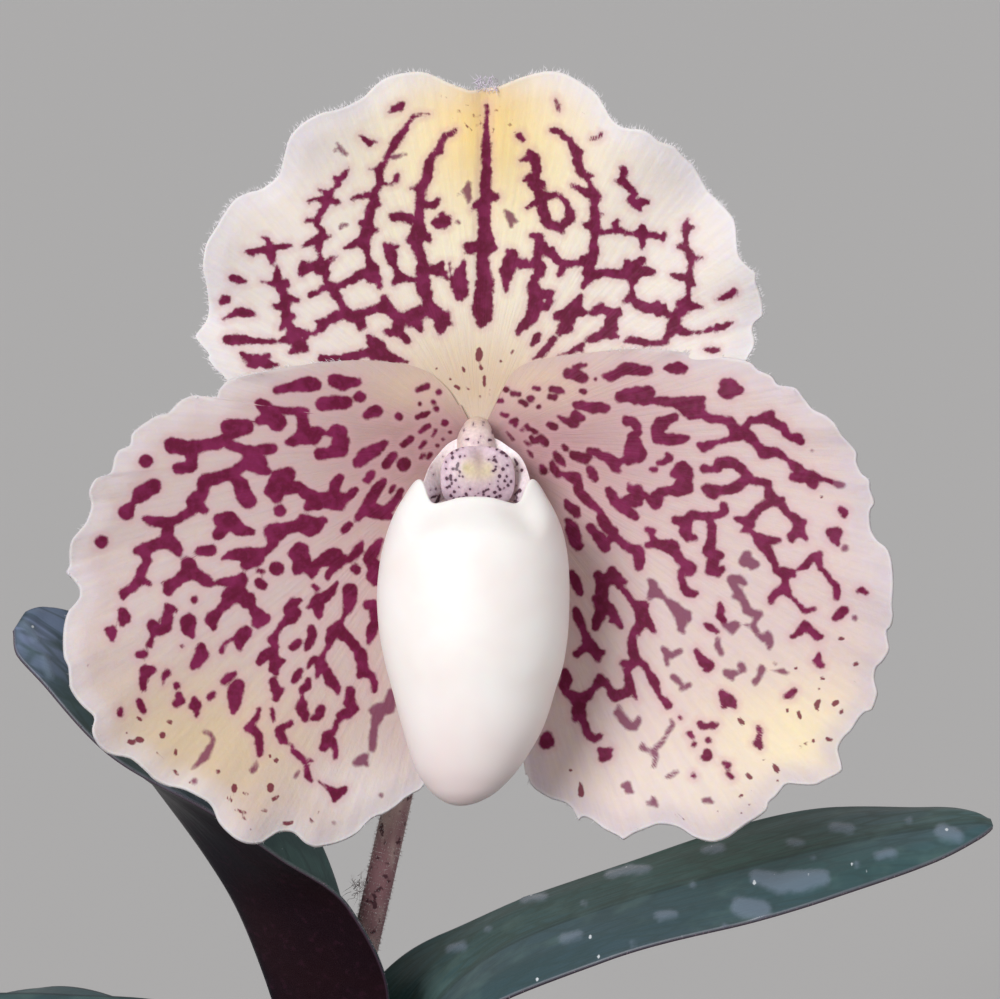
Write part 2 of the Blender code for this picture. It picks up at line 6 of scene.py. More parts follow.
import bpy
import numpy as np
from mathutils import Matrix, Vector

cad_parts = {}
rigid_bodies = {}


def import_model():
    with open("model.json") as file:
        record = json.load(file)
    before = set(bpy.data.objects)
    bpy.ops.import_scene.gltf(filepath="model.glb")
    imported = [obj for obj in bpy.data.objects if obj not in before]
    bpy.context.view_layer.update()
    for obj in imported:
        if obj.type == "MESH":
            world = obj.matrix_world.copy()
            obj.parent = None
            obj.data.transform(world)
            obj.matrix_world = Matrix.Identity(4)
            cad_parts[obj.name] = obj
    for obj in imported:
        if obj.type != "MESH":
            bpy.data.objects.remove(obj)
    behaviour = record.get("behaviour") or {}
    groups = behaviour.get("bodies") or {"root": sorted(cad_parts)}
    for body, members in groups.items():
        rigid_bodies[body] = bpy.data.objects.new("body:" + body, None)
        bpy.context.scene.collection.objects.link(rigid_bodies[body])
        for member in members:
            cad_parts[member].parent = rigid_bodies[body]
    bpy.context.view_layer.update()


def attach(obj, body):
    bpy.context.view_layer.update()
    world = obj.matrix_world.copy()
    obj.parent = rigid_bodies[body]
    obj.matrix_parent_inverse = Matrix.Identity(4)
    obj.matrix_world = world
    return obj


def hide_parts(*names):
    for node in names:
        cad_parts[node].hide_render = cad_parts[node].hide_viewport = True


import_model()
mm = 0.001
print("frame loaded")

# The camera stands straight in front of the flower's face, which leans back a little
view = {
    "flowerCentre": (14, -17.6, 155),   # where sepals and petals meet, in mm
    "leanBack": 8,                      # degrees
    "aimAcross": 2.1,                   # the point looked at, in mm from the flower's middle
    "aimUp": -5.8,
    "distance": 350,
    "frameWidth": 96.3,                 # mm across the picture at the flower's middle
    "sensorWidth": 36,
    "clip": (0.01, 500),                # in metres
}
lean = math.radians(view["leanBack"])
flowerCentre = np.array(view["flowerCentre"], dtype=float)
flowerRight = np.array((1.0, 0.0, 0.0))
flowerUp = np.array((0.0, math.sin(lean), math.cos(lean)))
flowerOut = np.array((0.0, -math.cos(lean), math.sin(lean)))


def flowerPoint(across, up, out):
    # world points in metres, from places across, up and out of the flower in mm
    across, up, out = (np.asarray(value, dtype=float)[..., None] for value in (across, up, out))
    return (flowerCentre + across * flowerRight + up * flowerUp + out * flowerOut) * mm


def seenFromFront(across, up, out):
    # moves places drawn on the picture plane along their sight lines to the depth out
    keep = 1 - np.asarray(out) / view["distance"]
    return (view["aimAcross"] + (across - view["aimAcross"]) * keep,
            view["aimUp"] + (up - view["aimUp"]) * keep, out)


def drawnPlace(across, up, out):
    # the other way round: where a place at the depth out is seen on the picture plane
    keep = 1 - out / view["distance"]
    return (view["aimAcross"] + (across - view["aimAcross"]) / keep,
            view["aimUp"] + (up - view["aimUp"]) / keep)


def addCamera():
    target = flowerPoint(view["aimAcross"], view["aimUp"], 0)
    data = bpy.data.cameras.new("front")
    data.sensor_width = view["sensorWidth"]
    data.lens = view["sensorWidth"] * view["distance"] / view["frameWidth"]
    data.clip_start, data.clip_end = view["clip"]
    camera = bpy.data.objects.new("front", data)
    camera.location = target + flowerOut * view["distance"] * mm
    camera.rotation_euler = (math.pi / 2 - lean, 0, 0)
    bpy.context.scene.collection.objects.link(camera)
    bpy.context.scene.camera = camera


addCamera()
print("camera placed")


# Curves and steps
def smoothStep(low, high, value):
    t = np.clip((np.asarray(value, dtype=float) - low) / (high - low), 0, 1)
    return t * t * (3 - 2 * t)


def smoothPath(points, count):
    # count points along a smooth curve through the given ones
    points = np.array(points, dtype=float)
    last = len(points) - 1
    place = np.linspace(0, last, count)
    step = np.minimum(place.astype(int), last - 1)
    t = (place - step)[:, None]
    a, b, c, d = (points[np.clip(step + shift, 0, last)] for shift in (-1, 0, 1, 2))
    return 0.5 * (2 * b + (c - a) * t + (2 * a - 5 * b + 4 * c - d) * t ** 2
                  + (3 * b - a - 3 * c + d) * t ** 3)


def unit(vectors):
    return vectors / np.maximum(np.linalg.norm(vectors, axis=-1, keepdims=True), 1e-9)


def tint(red, green, blue):
    # a colour given as 0 to 255, as the shaders need it
    shares = np.array((red, green, blue)) / 255
    return np.where(shares <= 0.04045, shares / 12.92, ((shares + 0.055) / 1.055) ** 2.4)


def paint(red, green, blue):
    return (*tint(red, green, blue), 1)


# Meshes
def meshPiece(name, points, faces, finish, replaced=(), values=None, tones=None):
    # one piece of the plant; values are numbers and tones colours kept at its points
    mesh = bpy.data.meshes.new(name)
    mesh.from_pydata(np.asarray(points).tolist(), [], faces)
    for key, numbers in (values or {}).items():
        layer = mesh.attributes.new(key, "FLOAT", "POINT")
        layer.data.foreach_set("value", np.asarray(numbers, dtype=np.float32).ravel())
    if tones is not None:
        layer = mesh.attributes.new("tone", "FLOAT_COLOR", "POINT")
        full = np.concatenate([tones, np.ones((len(tones), 1))], axis=1)
        layer.data.foreach_set("color", full.astype(np.float32).ravel())
    mesh.materials.append(finish)
    mesh.shade_smooth()
    piece = bpy.data.objects.new(name, mesh)
    bpy.context.scene.collection.objects.link(piece)
    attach(piece, "root")
    if replaced:
        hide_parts(*replaced)
    return piece


def gridFaces(rows, columns, first=0, closed=False, flip=False):
    # quads between rows of points; closed joins each row's end to its start
    faces = []
    span = columns if closed else columns - 1
    for row in range(rows - 1):
        for column in range(span):
            a = first + row * columns + column
            b = first + row * columns + (column + 1) % columns
            quad = (a, b, b + columns, a + columns)
            faces.append(tuple(reversed(quad)) if flip else quad)
    return faces


def ballFaces(rings, columns):
    # rings of points that close to one point before them and one after them
    faces = gridFaces(rings, columns, 1, closed=True)
    last = 1 + (rings - 1) * columns
    for column in range(columns):
        after = (column + 1) % columns
        faces.append((0, 1 + after, 1 + column))
        faces.append((last + columns, last + column, last + after))
    return faces


def barFaces(rows, columns):
    # closed rows of points, with a flat face over the first and the last of them
    ends = [tuple(reversed(range(columns))), tuple(range((rows - 1) * columns, rows * columns))]
    return gridFaces(rows, columns, closed=True) + ends


# Shader parts
def addNode(tree, kind, inputs=None, **settings):
    made = tree.nodes.new(kind)
    for key, value in settings.items():
        setattr(made, key, value)
    for key, value in (inputs or {}).items():
        if isinstance(value, bpy.types.NodeSocket):
            tree.links.new(value, made.inputs[key])
        else:
            made.inputs[key].default_value = value
    return made


def newFinish(name, roughness, **settings):
    finish = bpy.data.materials.new(name)
    finish.use_nodes = True
    tree = finish.node_tree
    shader = tree.nodes["Principled BSDF"]
    shader.inputs["Roughness"].default_value = roughness
    for key, value in settings.items():
        shader.inputs[key].default_value = value
    place = addNode(tree, "ShaderNodeTexCoord").outputs["Object"]
    return finish, tree, shader, place


def kept(tree, key):
    # a value kept at the points of the mesh
    return addNode(tree, "ShaderNodeAttribute", attribute_name=key).outputs["Fac"]


def keptTone(tree):
    return addNode(tree, "ShaderNodeAttribute", attribute_name="tone").outputs["Color"]


def sums(tree, operation, first, second=0.0):
    # plain arithmetic with one or two values
    return addNode(tree, "ShaderNodeMath", {0: first, 1: second}, operation=operation).outputs[0]


def spread(tree, value, low, high, start=0.0, end=1.0):
    # eases from start to end as value goes from low to high
    inputs = {"Value": value, "From Min": low, "From Max": high, "To Min": start, "To Max": end}
    made = addNode(tree, "ShaderNodeMapRange", inputs, interpolation_type="SMOOTHSTEP")
    return made.outputs["Result"]


def blend(tree, share, first, second, blending="MIX"):
    # the first colour at share 0 and the second at share 1
    made = addNode(tree, "ShaderNodeMix", data_type="RGBA", blend_type=blending)
    for index, value in ((0, share), (6, first), (7, second)):
        if isinstance(value, bpy.types.NodeSocket):
            tree.links.new(value, made.inputs[index])
        else:
            made.inputs[index].default_value = value
    return made.outputs[2]


def tinge(tree, colour, over, value, low, high, most=1.0):
    # a colour turned towards another as value goes from low to high, by the share most at the end
    return blend(tree, spread(tree, value, low, high, 0, most), colour, over)


def shaded(tree, tone, red, green, blue):
    # a tone with each channel multiplied
    shares = addNode(tree, "ShaderNodeCombineColor", {"Red": red, "Green": green, "Blue": blue})
    return blend(tree, 1.0, tone, shares.outputs[0], "MULTIPLY")


def swing(tree, noise, width):
    # noise moved to lie round zero, width from end to end
    return sums(tree, "MULTIPLY", sums(tree, "SUBTRACT", noise, 0.5), width)


def grain(tree, place, size, detail=3.0, roughness=0.5):
    # noise whose lumps are about size mm wide
    inputs = {"Vector": place, "Scale": 0.5 / (size * mm), "Detail": detail, "Roughness": roughness}
    return addNode(tree, "ShaderNodeTexNoise", inputs).outputs["Fac"]


def stretched(tree, place, scales):
    # the same place with each axis scaled, so that the noise over it is drawn out
    return addNode(tree, "ShaderNodeMapping", {"Vector": place, "Scale": scales}).outputs[0]


def flatPlace(tree, across, along, scales):
    # a place for a texture from two values, each with its own scale
    parts = {key: sums(tree, "MULTIPLY", value, scale)
             for key, value, scale in zip("XY", (across, along), scales)}
    return addNode(tree, "ShaderNodeCombineXYZ", parts).outputs[0]


def streaks(tree, place, detail):
    # noise over a place that is already scaled
    inputs = {"Vector": place, "Scale": 1.0, "Detail": detail}
    return addNode(tree, "ShaderNodeTexNoise", inputs).outputs["Fac"]


def relief(tree, shader, height, depth, under=None):
    # bumps up to depth mm deep, laid over the relief already there
    inputs = {"Height": height, "Distance": depth * mm, "Strength": 1.0}
    if under is not None:
        inputs["Normal"] = under
    bump = addNode(tree, "ShaderNodeBump", inputs)
    tree.links.new(bump.outputs["Normal"], shader.inputs["Normal"])
    return bump.outputs["Normal"]
# Marks as strokes of (across, up, half width) in mm, as seen in the picture from the flower's middle
leftPetalMarks = {
    "blotches": [
        [(-32, -2.1, .65)], [(-31.2, -4.5, .7), (-32.5, -5.3, .8), (-33.3, -6.1, .25), (-33.9, -7, .8)],
        [(-24.1, 1.2, .75), (-22.4, 1.2, .75), (-23.9, .4, .5), (-25, -.4, .6), (-26.5, -.6, .6),
        (-28, -.9, .7), (-29.4, -.6, .8)], [(-27.6, -1.5, .6), (-27.7, -2.6, .6), (-28.9, -2.8, .6)],
        [(-24, -.5, .5), (-22.6, -1, .5), (-21.5, -1.4, .6)], [(-21.2, -2.2, .9), (-22.5, -2.5, .6),
        (-23.6, -3.2, .5), (-25.2, -3.8, .6), (-26.4, -4, .6), (-26.5, -5.2, .6), (-27.3, -6, .8),
        (-26.4, -6.8, .45)], [(-27.6, -6.9, .5), (-29, -7.7, .4), (-30, -8, .5), (-31.5, -7.8, .5),
        (-32.1, -7.6, .3)], [(-23.6, -3.4, .5), (-22.9, -4.3, .7), (-22.6, -5.3, .8), (-22.1, -5.9, .8)],
        [(-25, -7.8, .6), (-24, -7.9, .9), (-23, -8.6, .7), (-21.8, -8.95, .3)], [(-24.2, -8.3, .6),
        (-25, -9.1, .6)], [(-19.3, 4.8, .4), (-18, 5, .45), (-17, 5.2, .75), (-16, 5.3, .7),
        (-15.6, 5.2, .5)], [(-13.9, 5.7, .6), (-13, 5.4, .7), (-11.6, 5.5, .4)], [(-15, 3.4, .7),
        (-14, 3.5, .65), (-12.7, 3.5, .55)], [(-11.4, 4.1, .55)], [(-10.7, 2.4, .45), (-9.8, 2.7, .6)],
        [(-7.7, 2.2, .4)], [(-21, 3.4, .5), (-20.4, 2.9, .7), (-19.9, 2.2, .9), (-19.4, 1.6, .9)],
        [(-20.3, 2, .6), (-21, 1.8, .5)], [(-19.5, 2.8, .4), (-18.7, 2.8, .3), (-17.8, 2.7, .35),
        (-17, 2.7, .5), (-16.6, 2.7, .4)], [(-17, 2.4, .5), (-16.8, 1.2, .6), (-16.9, .4, .7),
        (-17.8, -.2, .5), (-18.4, -.3, .3)], [(-16.9, .2, .7), (-15.9, .3, .8), (-15.4, .8, .5),
        (-14.6, .5, .2), (-13.7, .8, .7), (-13.2, .8, .6)], [(-13.4, .6, .6), (-13.3, -.3, .85),
        (-13.3, -1, .75), (-14.5, -1.3, .55), (-15.2, -1.4, .6)], [(-19.8, -.9, .5), (-21, -1.1, .5),
        (-22, -1.1, .5)], [(-22, -2, .8), (-21, -2.9, .6), (-20.3, -3.1, .4)], [(-18.3, -3.4, .7),
        (-19.3, -3.8, .8), (-19.5, -4.8, 1), (-20.3, -5, .4)], [(-19.5, -5.1, .6), (-19.4, -5.7, .5)],
        [(-19.1, -4.8, .6), (-18.5, -4.7, .7), (-17.3, -4.6, .5), (-16.6, -5.2, .6), (-15.6, -5.7, .7),
        (-14.6, -5.9, .8), (-13.8, -6, .85), (-12.5, -5.6, .4), (-11.9, -4.9, .3)], [(-16.4, -6.4, .5),
        (-15.4, -6.2, .6)], [(-13.7, -6, .7), (-13.3, -6.4, .5)], [(-13.9, -5.6, .5), (-13.9, -5, .5),
        (-13.8, -4.3, .5), (-13.3, -3.7, .4)], [(-19.1, -6.9, .6)], [(-14.9, -7.8, .4), (-15.6, -8.2, .6),
        (-16.8, -8, .8), (-17.2, -8.3, .5), (-18.4, -8.5, .5), (-20, -8.8, .6)], [(-12.9, -8.8, .28),
        (-12.4, -8.2, .3)], [(-9, -.4, .35), (-9.9, -1, .6), (-10.9, -1.6, .7), (-11.5, -2.2, .6)],
        [(-8.9, -2.5, .4), (-8.2, -1.6, .45)], [(-7.2, -2.4, .65)], [(-10.7, -3.9, .4), (-10.3, -3.4, .45)],
        [(-9.1, -4, .35), (-9.8, -4.9, .5), (-10.3, -5.8, .6), (-10.8, -6.7, .6), (-11.6, -7.6, .35)],
        [(-10.2, -6.8, .8), (-9.3, -7.1, .6), (-8.5, -6.6, .5), (-7.8, -5.7, .4), (-7.4, -4.9, .25)],
        [(-9.2, -7.1, .5), (-8.6, -7.4, .4)], [(-8.4, -5, .2), (-8.1, -4.5, .2)], [(-5.8, 4.7, .25),
        (-4.9, 5.1, .3)], [(-3.8, 4.5, .3)], [(-4.3, 3.6, .25)], [(-4, 2.9, .27)], [(-5.6, 3.4, .15)],
        [(-5.9, 2.1, .2), (-5.3, 2.3, .3), (-4.7, 2.6, .1)], [(-3.2, 1.6, .35)], [(-5.6, .7, .25),
        (-4.8, 1.3, .25)], [(-4.4, .3, .12), (-4.1, .8, .18)], [(-7.3, -.6, .25), (-6.5, 0, .35)],
        [(-5.6, -.8, .2), (-5.2, -.3, .25)], [(-3.9, -.6, .15)], [(-5.5, -1.8, .15), (-5.3, -1.5, .18)],
        [(-4.8, -1.8, .15), (-4.6, -1.4, .18)], [(-3.4, 0, .15)], [(-2.7, .7, .12)], [(-36.3, -9.9, .6)],
        [(-29.9, -8.3, .5), (-29.9, -8.95, .6), (-30, -9.6, .7), (-29.3, -10.2, .65), (-28.9, -10.7, .5),
        (-28.8, -11, .3)], [(-30.2, -9.9, .6), (-31.1, -10.2, .5), (-32.2, -10.7, .72), (-32.8, -10.7, .4)],
        [(-32, -11, .5), (-31.8, -11.6, .4), (-32.1, -12.2, .42), (-32.5, -12.9, .52), (-32.6, -13.5, .55),
        (-33.3, -14.3, .45), (-34.1, -14.8, .42), (-34.2, -15.3, .22)], [(-32.3, -13.6, .35),
        (-31.75, -13.9, .3)], [(-26.8, -10.8, .45), (-25.7, -10.7, .55)], [(-28.2, -11.7, .4),
        (-27.9, -12.1, .75), (-27.7, -12.7, .75), (-28.75, -13.5, .55), (-29.6, -14.1, .6),
        (-29.8, -14.6, .5)], [(-29.8, -14.1, .4), (-30.4, -13.85, .1)], [(-27.4, -12.9, .6),
        (-26.8, -13.2, .55), (-26.2, -13.65, .62), (-25.75, -13.95, .3), (-25.25, -13.85, .15),
        (-24.5, -13.7, .42), (-23.6, -13.7, .5), (-22.85, -13.5, .65)], [(-23, -13.8, .6),
        (-23.2, -14.4, .65), (-23.9, -15.1, .85), (-22.97, -14.9, .7), (-22.3, -15.7, .6)],
        [(-24, -15.4, .65), (-24.3, -15.9, .5), (-24.9, -16.5, .4), (-25.5, -17.1, .6), (-25.8, -17.4, .55),
        (-25.5, -18.1, .3)], [(-27.3, -15.45, .33)], [(-28.5, -19.9, .15)], [(-27.9, -17.6, .75),
        (-27.9, -18.2, .72), (-27.5, -18.9, .33)], [(-26.7, -20.15, .5), (-26.6, -20.75, .68),
        (-27.1, -21.5, .6), (-27.4, -21.8, .42)], [(-30, -15.95, .2), (-29.6, -16.3, .4),
        (-29.2, -16.5, .25)], [(-29.9, -16.5, .35), (-29.95, -17.25, .58), (-30.1, -18.1, .5),
        (-30.9, -18.4, .55), (-31.4, -17.9, .55)], [(-31.2, -18.5, .45), (-31.45, -19.2, .13),
        (-31.6, -19.75, .33)], [(-32.7, -20.75, .36), (-32.25, -20.7, .4)], [(-32, -22.3, .62),
        (-31.4, -22.2, .4)], [(-32, -22.6, .5), (-32.3, -22.85, .33), (-32.25, -23.5, .36),
        (-32.2, -24, .24)], [(-29.95, -22.5, .36), (-30.25, -22.9, .25), (-30.35, -23.6, .13)],
        [(-29.05, -23.7, .34)], [(-24.5, -23.3, .33), (-24, -22.9, .42), (-23.5, -22.6, .28)],
        [(-34.3, -16.6, .42), (-34.1, -17.2, .62), (-34.2, -17.6, .4)], [(-35.8, -18.3, .22),
        (-35.3, -18.5, .55), (-35.2, -19.2, .33)], [(-24.6, -11.5, .18), (-23.9, -11.2, .45),
        (-22.9, -11.1, .6), (-22.2, -11.3, .85), (-21.4, -11.4, .85), (-22.3, -12, .6)],
        [(-21.4, -11.1, .75), (-20.8, -10.9, .45), (-20.1, -10.5, .32), (-19.8, -9.9, .55),
        (-20, -9.3, .5)], [(-20.1, -8.9, .55), (-19.5, -9, .9)], [(-19.2, -8.7, .75), (-18.2, -8.5, .5),
        (-17.2, -8.4, .5), (-16.3, -8.8, .6), (-15.5, -8.4, .6)], [(-19.4, -12.45, .7)],
        [(-21.2, -12.65, .19), (-20.75, -12.75, .19)], [(-21.1, -13.8, .42), (-20.8, -14, .46)],
        [(-17.1, -10.75, .85), (-17.7, -11, .65), (-17, -11.6, .9), (-17.2, -12.3, .65),
        (-17.5, -12.7, .38)], [(-16.9, -11.9, .6), (-16.2, -12.6, .5), (-15.9, -12.8, .5),
        (-16, -13.2, .22)], [(-16, -12.5, .5), (-15.3, -11.9, .5), (-14.7, -11.6, .68), (-13.9, -11.2, .78),
        (-13.7, -11.7, .8), (-13, -11.6, .5)], [(-13.7, -12.1, .5), (-14.35, -12.9, .33),
        (-14.5, -13.3, .28)], [(-12.4, -11.7, .15), (-12, -11.2, .36), (-11.5, -10.6, .45),
        (-11.2, -9.9, .22)], [(-11.9, -12.45, .4), (-11.7, -12.6, .38)], [(-9.4, -9.8, .35),
        (-10, -10.6, .58), (-10.5, -11.5, .5), (-10, -12.3, .7), (-10.2, -13.2, .58), (-9.9, -13.8, .33)],
        [(-10.6, -15.9, .48), (-10.1, -15.8, .42), (-10, -16.7, .46), (-9.9, -17.6, .42),
        (-10.25, -18.4, .55), (-10.4, -19.1, .42), (-10.5, -19.5, .28)], [(-15.85, -14.1, .22),
        (-15.5, -14.4, .28)], [(-13.6, -13.8, .18), (-14, -14.5, .33), (-14.6, -15.1, .48),
        (-15.4, -15.5, .58), (-15.4, -16.2, .6), (-15.3, -16.9, .42)], [(-15.8, -15.8, .42),
        (-16.3, -16.2, .2)], [(-12.35, -14.6, .7), (-12.35, -15.5, .7), (-12.5, -16.3, .48),
        (-12.9, -16.9, .17), (-13, -17.3, .15), (-13.4, -17.9, .5), (-14, -18.5, .55)],
        [(-13.4, -18.2, .55), (-13.1, -18.7, .55), (-12.5, -19.2, .48), (-11.95, -19.9, .45)],
        [(-14.1, -18.7, .5), (-14.3, -19.3, .42), (-14.3, -19.7, .32), (-14.7, -20.4, .22), (-15, -21, .28),
        (-15.3, -21.6, .45), (-15.3, -22.2, .42), (-15.5, -22.8, .22)], [(-15.3, -21.2, .35),
        (-15.8, -21.2, .3), (-16.2, -21.6, .18), (-16.4, -22, .1)], [(-15, -21.7, .4), (-14.6, -22.4, .46),
        (-14.2, -23.2, .55), (-13.6, -23.9, .4), (-13.5, -24.4, .25)], [(-17.2, -15.5, .22),
        (-17.8, -15.8, .52), (-18.1, -16.4, .65), (-18, -17.2, .55), (-18.6, -17.5, .42),
        (-19.05, -18, .28), (-19.4, -18.6, .25), (-19.8, -19.3, .5), (-19.5, -19.9, .36),
        (-19.7, -20.4, .36)], [(-17.9, -16.6, .5), (-17.4, -16.7, .38)], [(-19.8, -20.6, .48),
        (-20.3, -20.6, .5), (-20.7, -21, .5), (-21.1, -21.5, .32)], [(-19.7, -20.9, .5), (-19.5, -21.6, .6),
        (-19.7, -22.1, .45), (-19.5, -22.4, .35)], [(-19.3, -21.5, .4), (-18.8, -21.35, .22)],
        [(-22.3, -15.5, .58), (-21.9, -15.1, .3)], [(-22, -15.6, .55), (-21.8, -16.2, .4),
        (-21.1, -17, .68), (-21.2, -17.6, .66), (-20.4, -17.3, .5)], [(-24.75, -20.4, .28),
        (-24.5, -19.8, .27), (-23.9, -19.3, .18), (-23.3, -19.1, .3), (-22.7, -18.9, .66),
        (-22.3, -18.6, .6)], [(-22.8, -19, .6), (-23, -19.6, .48), (-22.97, -20.1, .28)],
        [(-16.1, -18.2, .33), (-16, -18.95, .44), (-16.3, -19.7, .38), (-16.5, -20.1, .24)],
        [(-17.35, -19.55, .38), (-17.85, -20, .38)], [(-17.1, -22.3, .22), (-17.5, -22.9, .38),
        (-17.8, -23.3, .28)], [(-16.3, -23.2, .22), (-16.5, -23.75, .38), (-17, -24.2, .32),
        (-16.95, -24.8, .13), (-16.95, -25.5, .5), (-17.05, -25.9, .5), (-16.8, -26.4, .48),
        (-16.65, -27, .28)], [(-19.75, -23.3, .38), (-19.5, -24, .46), (-19.35, -24.4, .46),
        (-19.5, -24.95, .32)], [(-19.2, -24.2, .36), (-18.9, -24.1, .28)], [(-32.7, -25.25, .33),
        (-32.45, -25.7, .34), (-32.25, -26.15, .26)], [(-34.45, -26.1, .27), (-34.45, -26.4, .29)],
        [(-28.85, -24.6, .32), (-28.7, -25.15, .48), (-29.1, -25.5, .33)], [(-27.3, -25, .28),
        (-27.2, -25.6, .5), (-27.1, -26.2, .24), (-27.1, -26.65, .17)], [(-27.3, -25.6, .4),
        (-27.55, -25.6, .3)], [(-25.5, -24.5, .28), (-25.9, -24.9, .3)], [(-23.1, -23.7, .6),
        (-23.35, -24.2, .78), (-23.4, -24.95, .7), (-23.5, -25.8, .46), (-23.6, -26.25, .28)],
        [(-21.1, -26, .13), (-21.3, -26.75, .22), (-21.8, -27.35, .28), (-22.05, -27.8, .48),
        (-21.55, -28.05, .4), (-21.15, -28.5, .33), (-21.1, -29.3, .38), (-21, -30, .34),
        (-21.05, -30.3, .27)], [(-19.85, -25.9, .12), (-19.75, -26.6, .2), (-19.7, -27.2, .12)],
        [(-15.1, -25.9, .38), (-15.3, -26.4, .42), (-15.5, -26.8, .28), (-16, -26.95, .18)],
        [(-18.05, -27.3, .32), (-18.45, -27.6, .24), (-19.05, -27.8, .28), (-19.3, -28, .28),
        (-19.1, -28.4, .45), (-18.85, -28.9, .48), (-18.5, -29.2, .24)], [(-17.95, -29.5, .18),
        (-17.8, -30, .28), (-17.35, -30.4, .36), (-16.9, -30.85, .3), (-16.6, -31.3, .3),
        (-16.5, -31.95, .3), (-16.45, -32.4, .32), (-16.1, -32.9, .18)], [(-16.8, -30.9, .25),
        (-16.4, -30.9, .15), (-16.05, -30.95, .2)], [(-12.3, -24.2, .42), (-12.4, -24.7, .46),
        (-12.4, -25.3, .56), (-12.1, -25.9, .55), (-12.55, -26.4, .55), (-13.1, -26.6, .46),
        (-13.2, -27, .24), (-13.65, -27.25, .17), (-13.75, -27.7, .27), (-14, -28.2, .33),
        (-14.5, -28.5, .5), (-14.5, -29.15, .55), (-14.95, -29.75, .36)], [(-14.1, -29, .4),
        (-13.7, -29.8, .3), (-13.75, -30.6, .26)], [(-15.3, -32.95, .1), (-14.7, -33.35, .16),
        (-14.1, -33.85, .33), (-13.65, -34.2, .45), (-13.9, -34.7, .18)], [(-13.5, -34.1, .4),
        (-13.1, -33.85, .33), (-12.85, -33.65, .2)],
        [(-11.9, -19.9, .4), (-11.45, -20.6, .62), (-11.2, -21.3, .58), (-11.1, -22.2, .56),
        (-11.4, -22.8, .3)], [(-11, -22.4, .45), (-10.25, -22.8, .42), (-9.95, -23.5, .33),
        (-10, -24.2, .24)],
    ],
    "pale": [
        [(-8.45, -24.3, .35), (-8.45, -25, .5), (-8.7, -25.8, .7), (-9.55, -25.9, .58),
        (-10.15, -26.15, .42)], [(-9.4, -26.2, .6), (-9.7, -26.7, .6), (-10, -27.5, .48),
        (-10.1, -28.3, .42), (-10.15, -29.15, .42), (-10.2, -29.85, .33)], [(-10.85, -30.6, .33),
        (-11.3, -30.95, .46), (-11.8, -31.2, .33)], [(-11, -31, .35), (-10.75, -31.3, .24)],
        [(-26.25, -28.15, .28), (-25.9, -28.3, .28), (-25.5, -28.9, .18), (-25.65, -29.4, .26),
        (-25.95, -29.9, .36), (-26.35, -30.5, .46), (-26.8, -31.1, .28), (-27.2, -31.45, .22),
        (-27.55, -31.8, .1)], [(-27.3, -32.9, .33)], [(-21.4, -31.1, .14), (-21.3, -31.5, .25),
        (-21.7, -31.9, .34)], [(-17.3, -32.05, .2), (-17.6, -32.5, .22)], [(-37.5, -21.8, .16)],
        [(-13.9, -36.9, .16)], [(-9.35, -34.3, .2)],
    ],
    "flecks": [
        [(-32.85, -26.85, .14), (-32.5, -27, .17)], [(-33.85, -28.3, .1)], [(-33.6, -29.1, .21),
        (-33.35, -29.2, .25)], [(-32.75, -28.9, .26), (-32.45, -29, .26)], [(-30.4, -28.5, .3)],
        [(-29.9, -27.15, .1), (-29.6, -27.25, .17)], [(-29.1, -29.9, .11), (-29.15, -30.3, .17)],
        [(-30.95, -30.2, .12)], [(-31.35, -30.75, .09)], [(-30.8, -30.4, .04), (-30.35, -30.8, .04)],
        [(-29.25, -31.95, .13), (-28.95, -32.25, .14)], [(-25.05, -32, .23)], [(-27.75, -33, .12)],
        [(-23.5, -33.5, .3), (-23.5, -33.8, .28)], [(-22.55, -34.05, .13), (-22.25, -34.2, .15)],
        [(-24.15, -34.55, .1), (-23.8, -34.75, .14)], [(-23.45, -35.6, .07), (-22.9, -35.8, .12),
        (-22.4, -36, .12)], [(-20.8, -35.7, .1), (-20.4, -35.75, .14)], [(-22.7, -36.55, .1),
        (-22.4, -36.65, .12)], [(-21.9, -37.55, .13)], [(-19.45, -30.95, .24)], [(-20.05, -30.5, .14)],
        [(-20, -33.45, .3), (-20, -33.7, .3)], [(-19.75, -34.7, .18), (-19.3, -34.4, .14)],
        [(-18.7, -36.95, .16), (-18.3, -37, .19), (-17.9, -36.9, .14)], [(-16.2, -36.6, .16),
        (-15.95, -36.85, .14)], [(-15.4, -35.95, .1)],
    ],
}
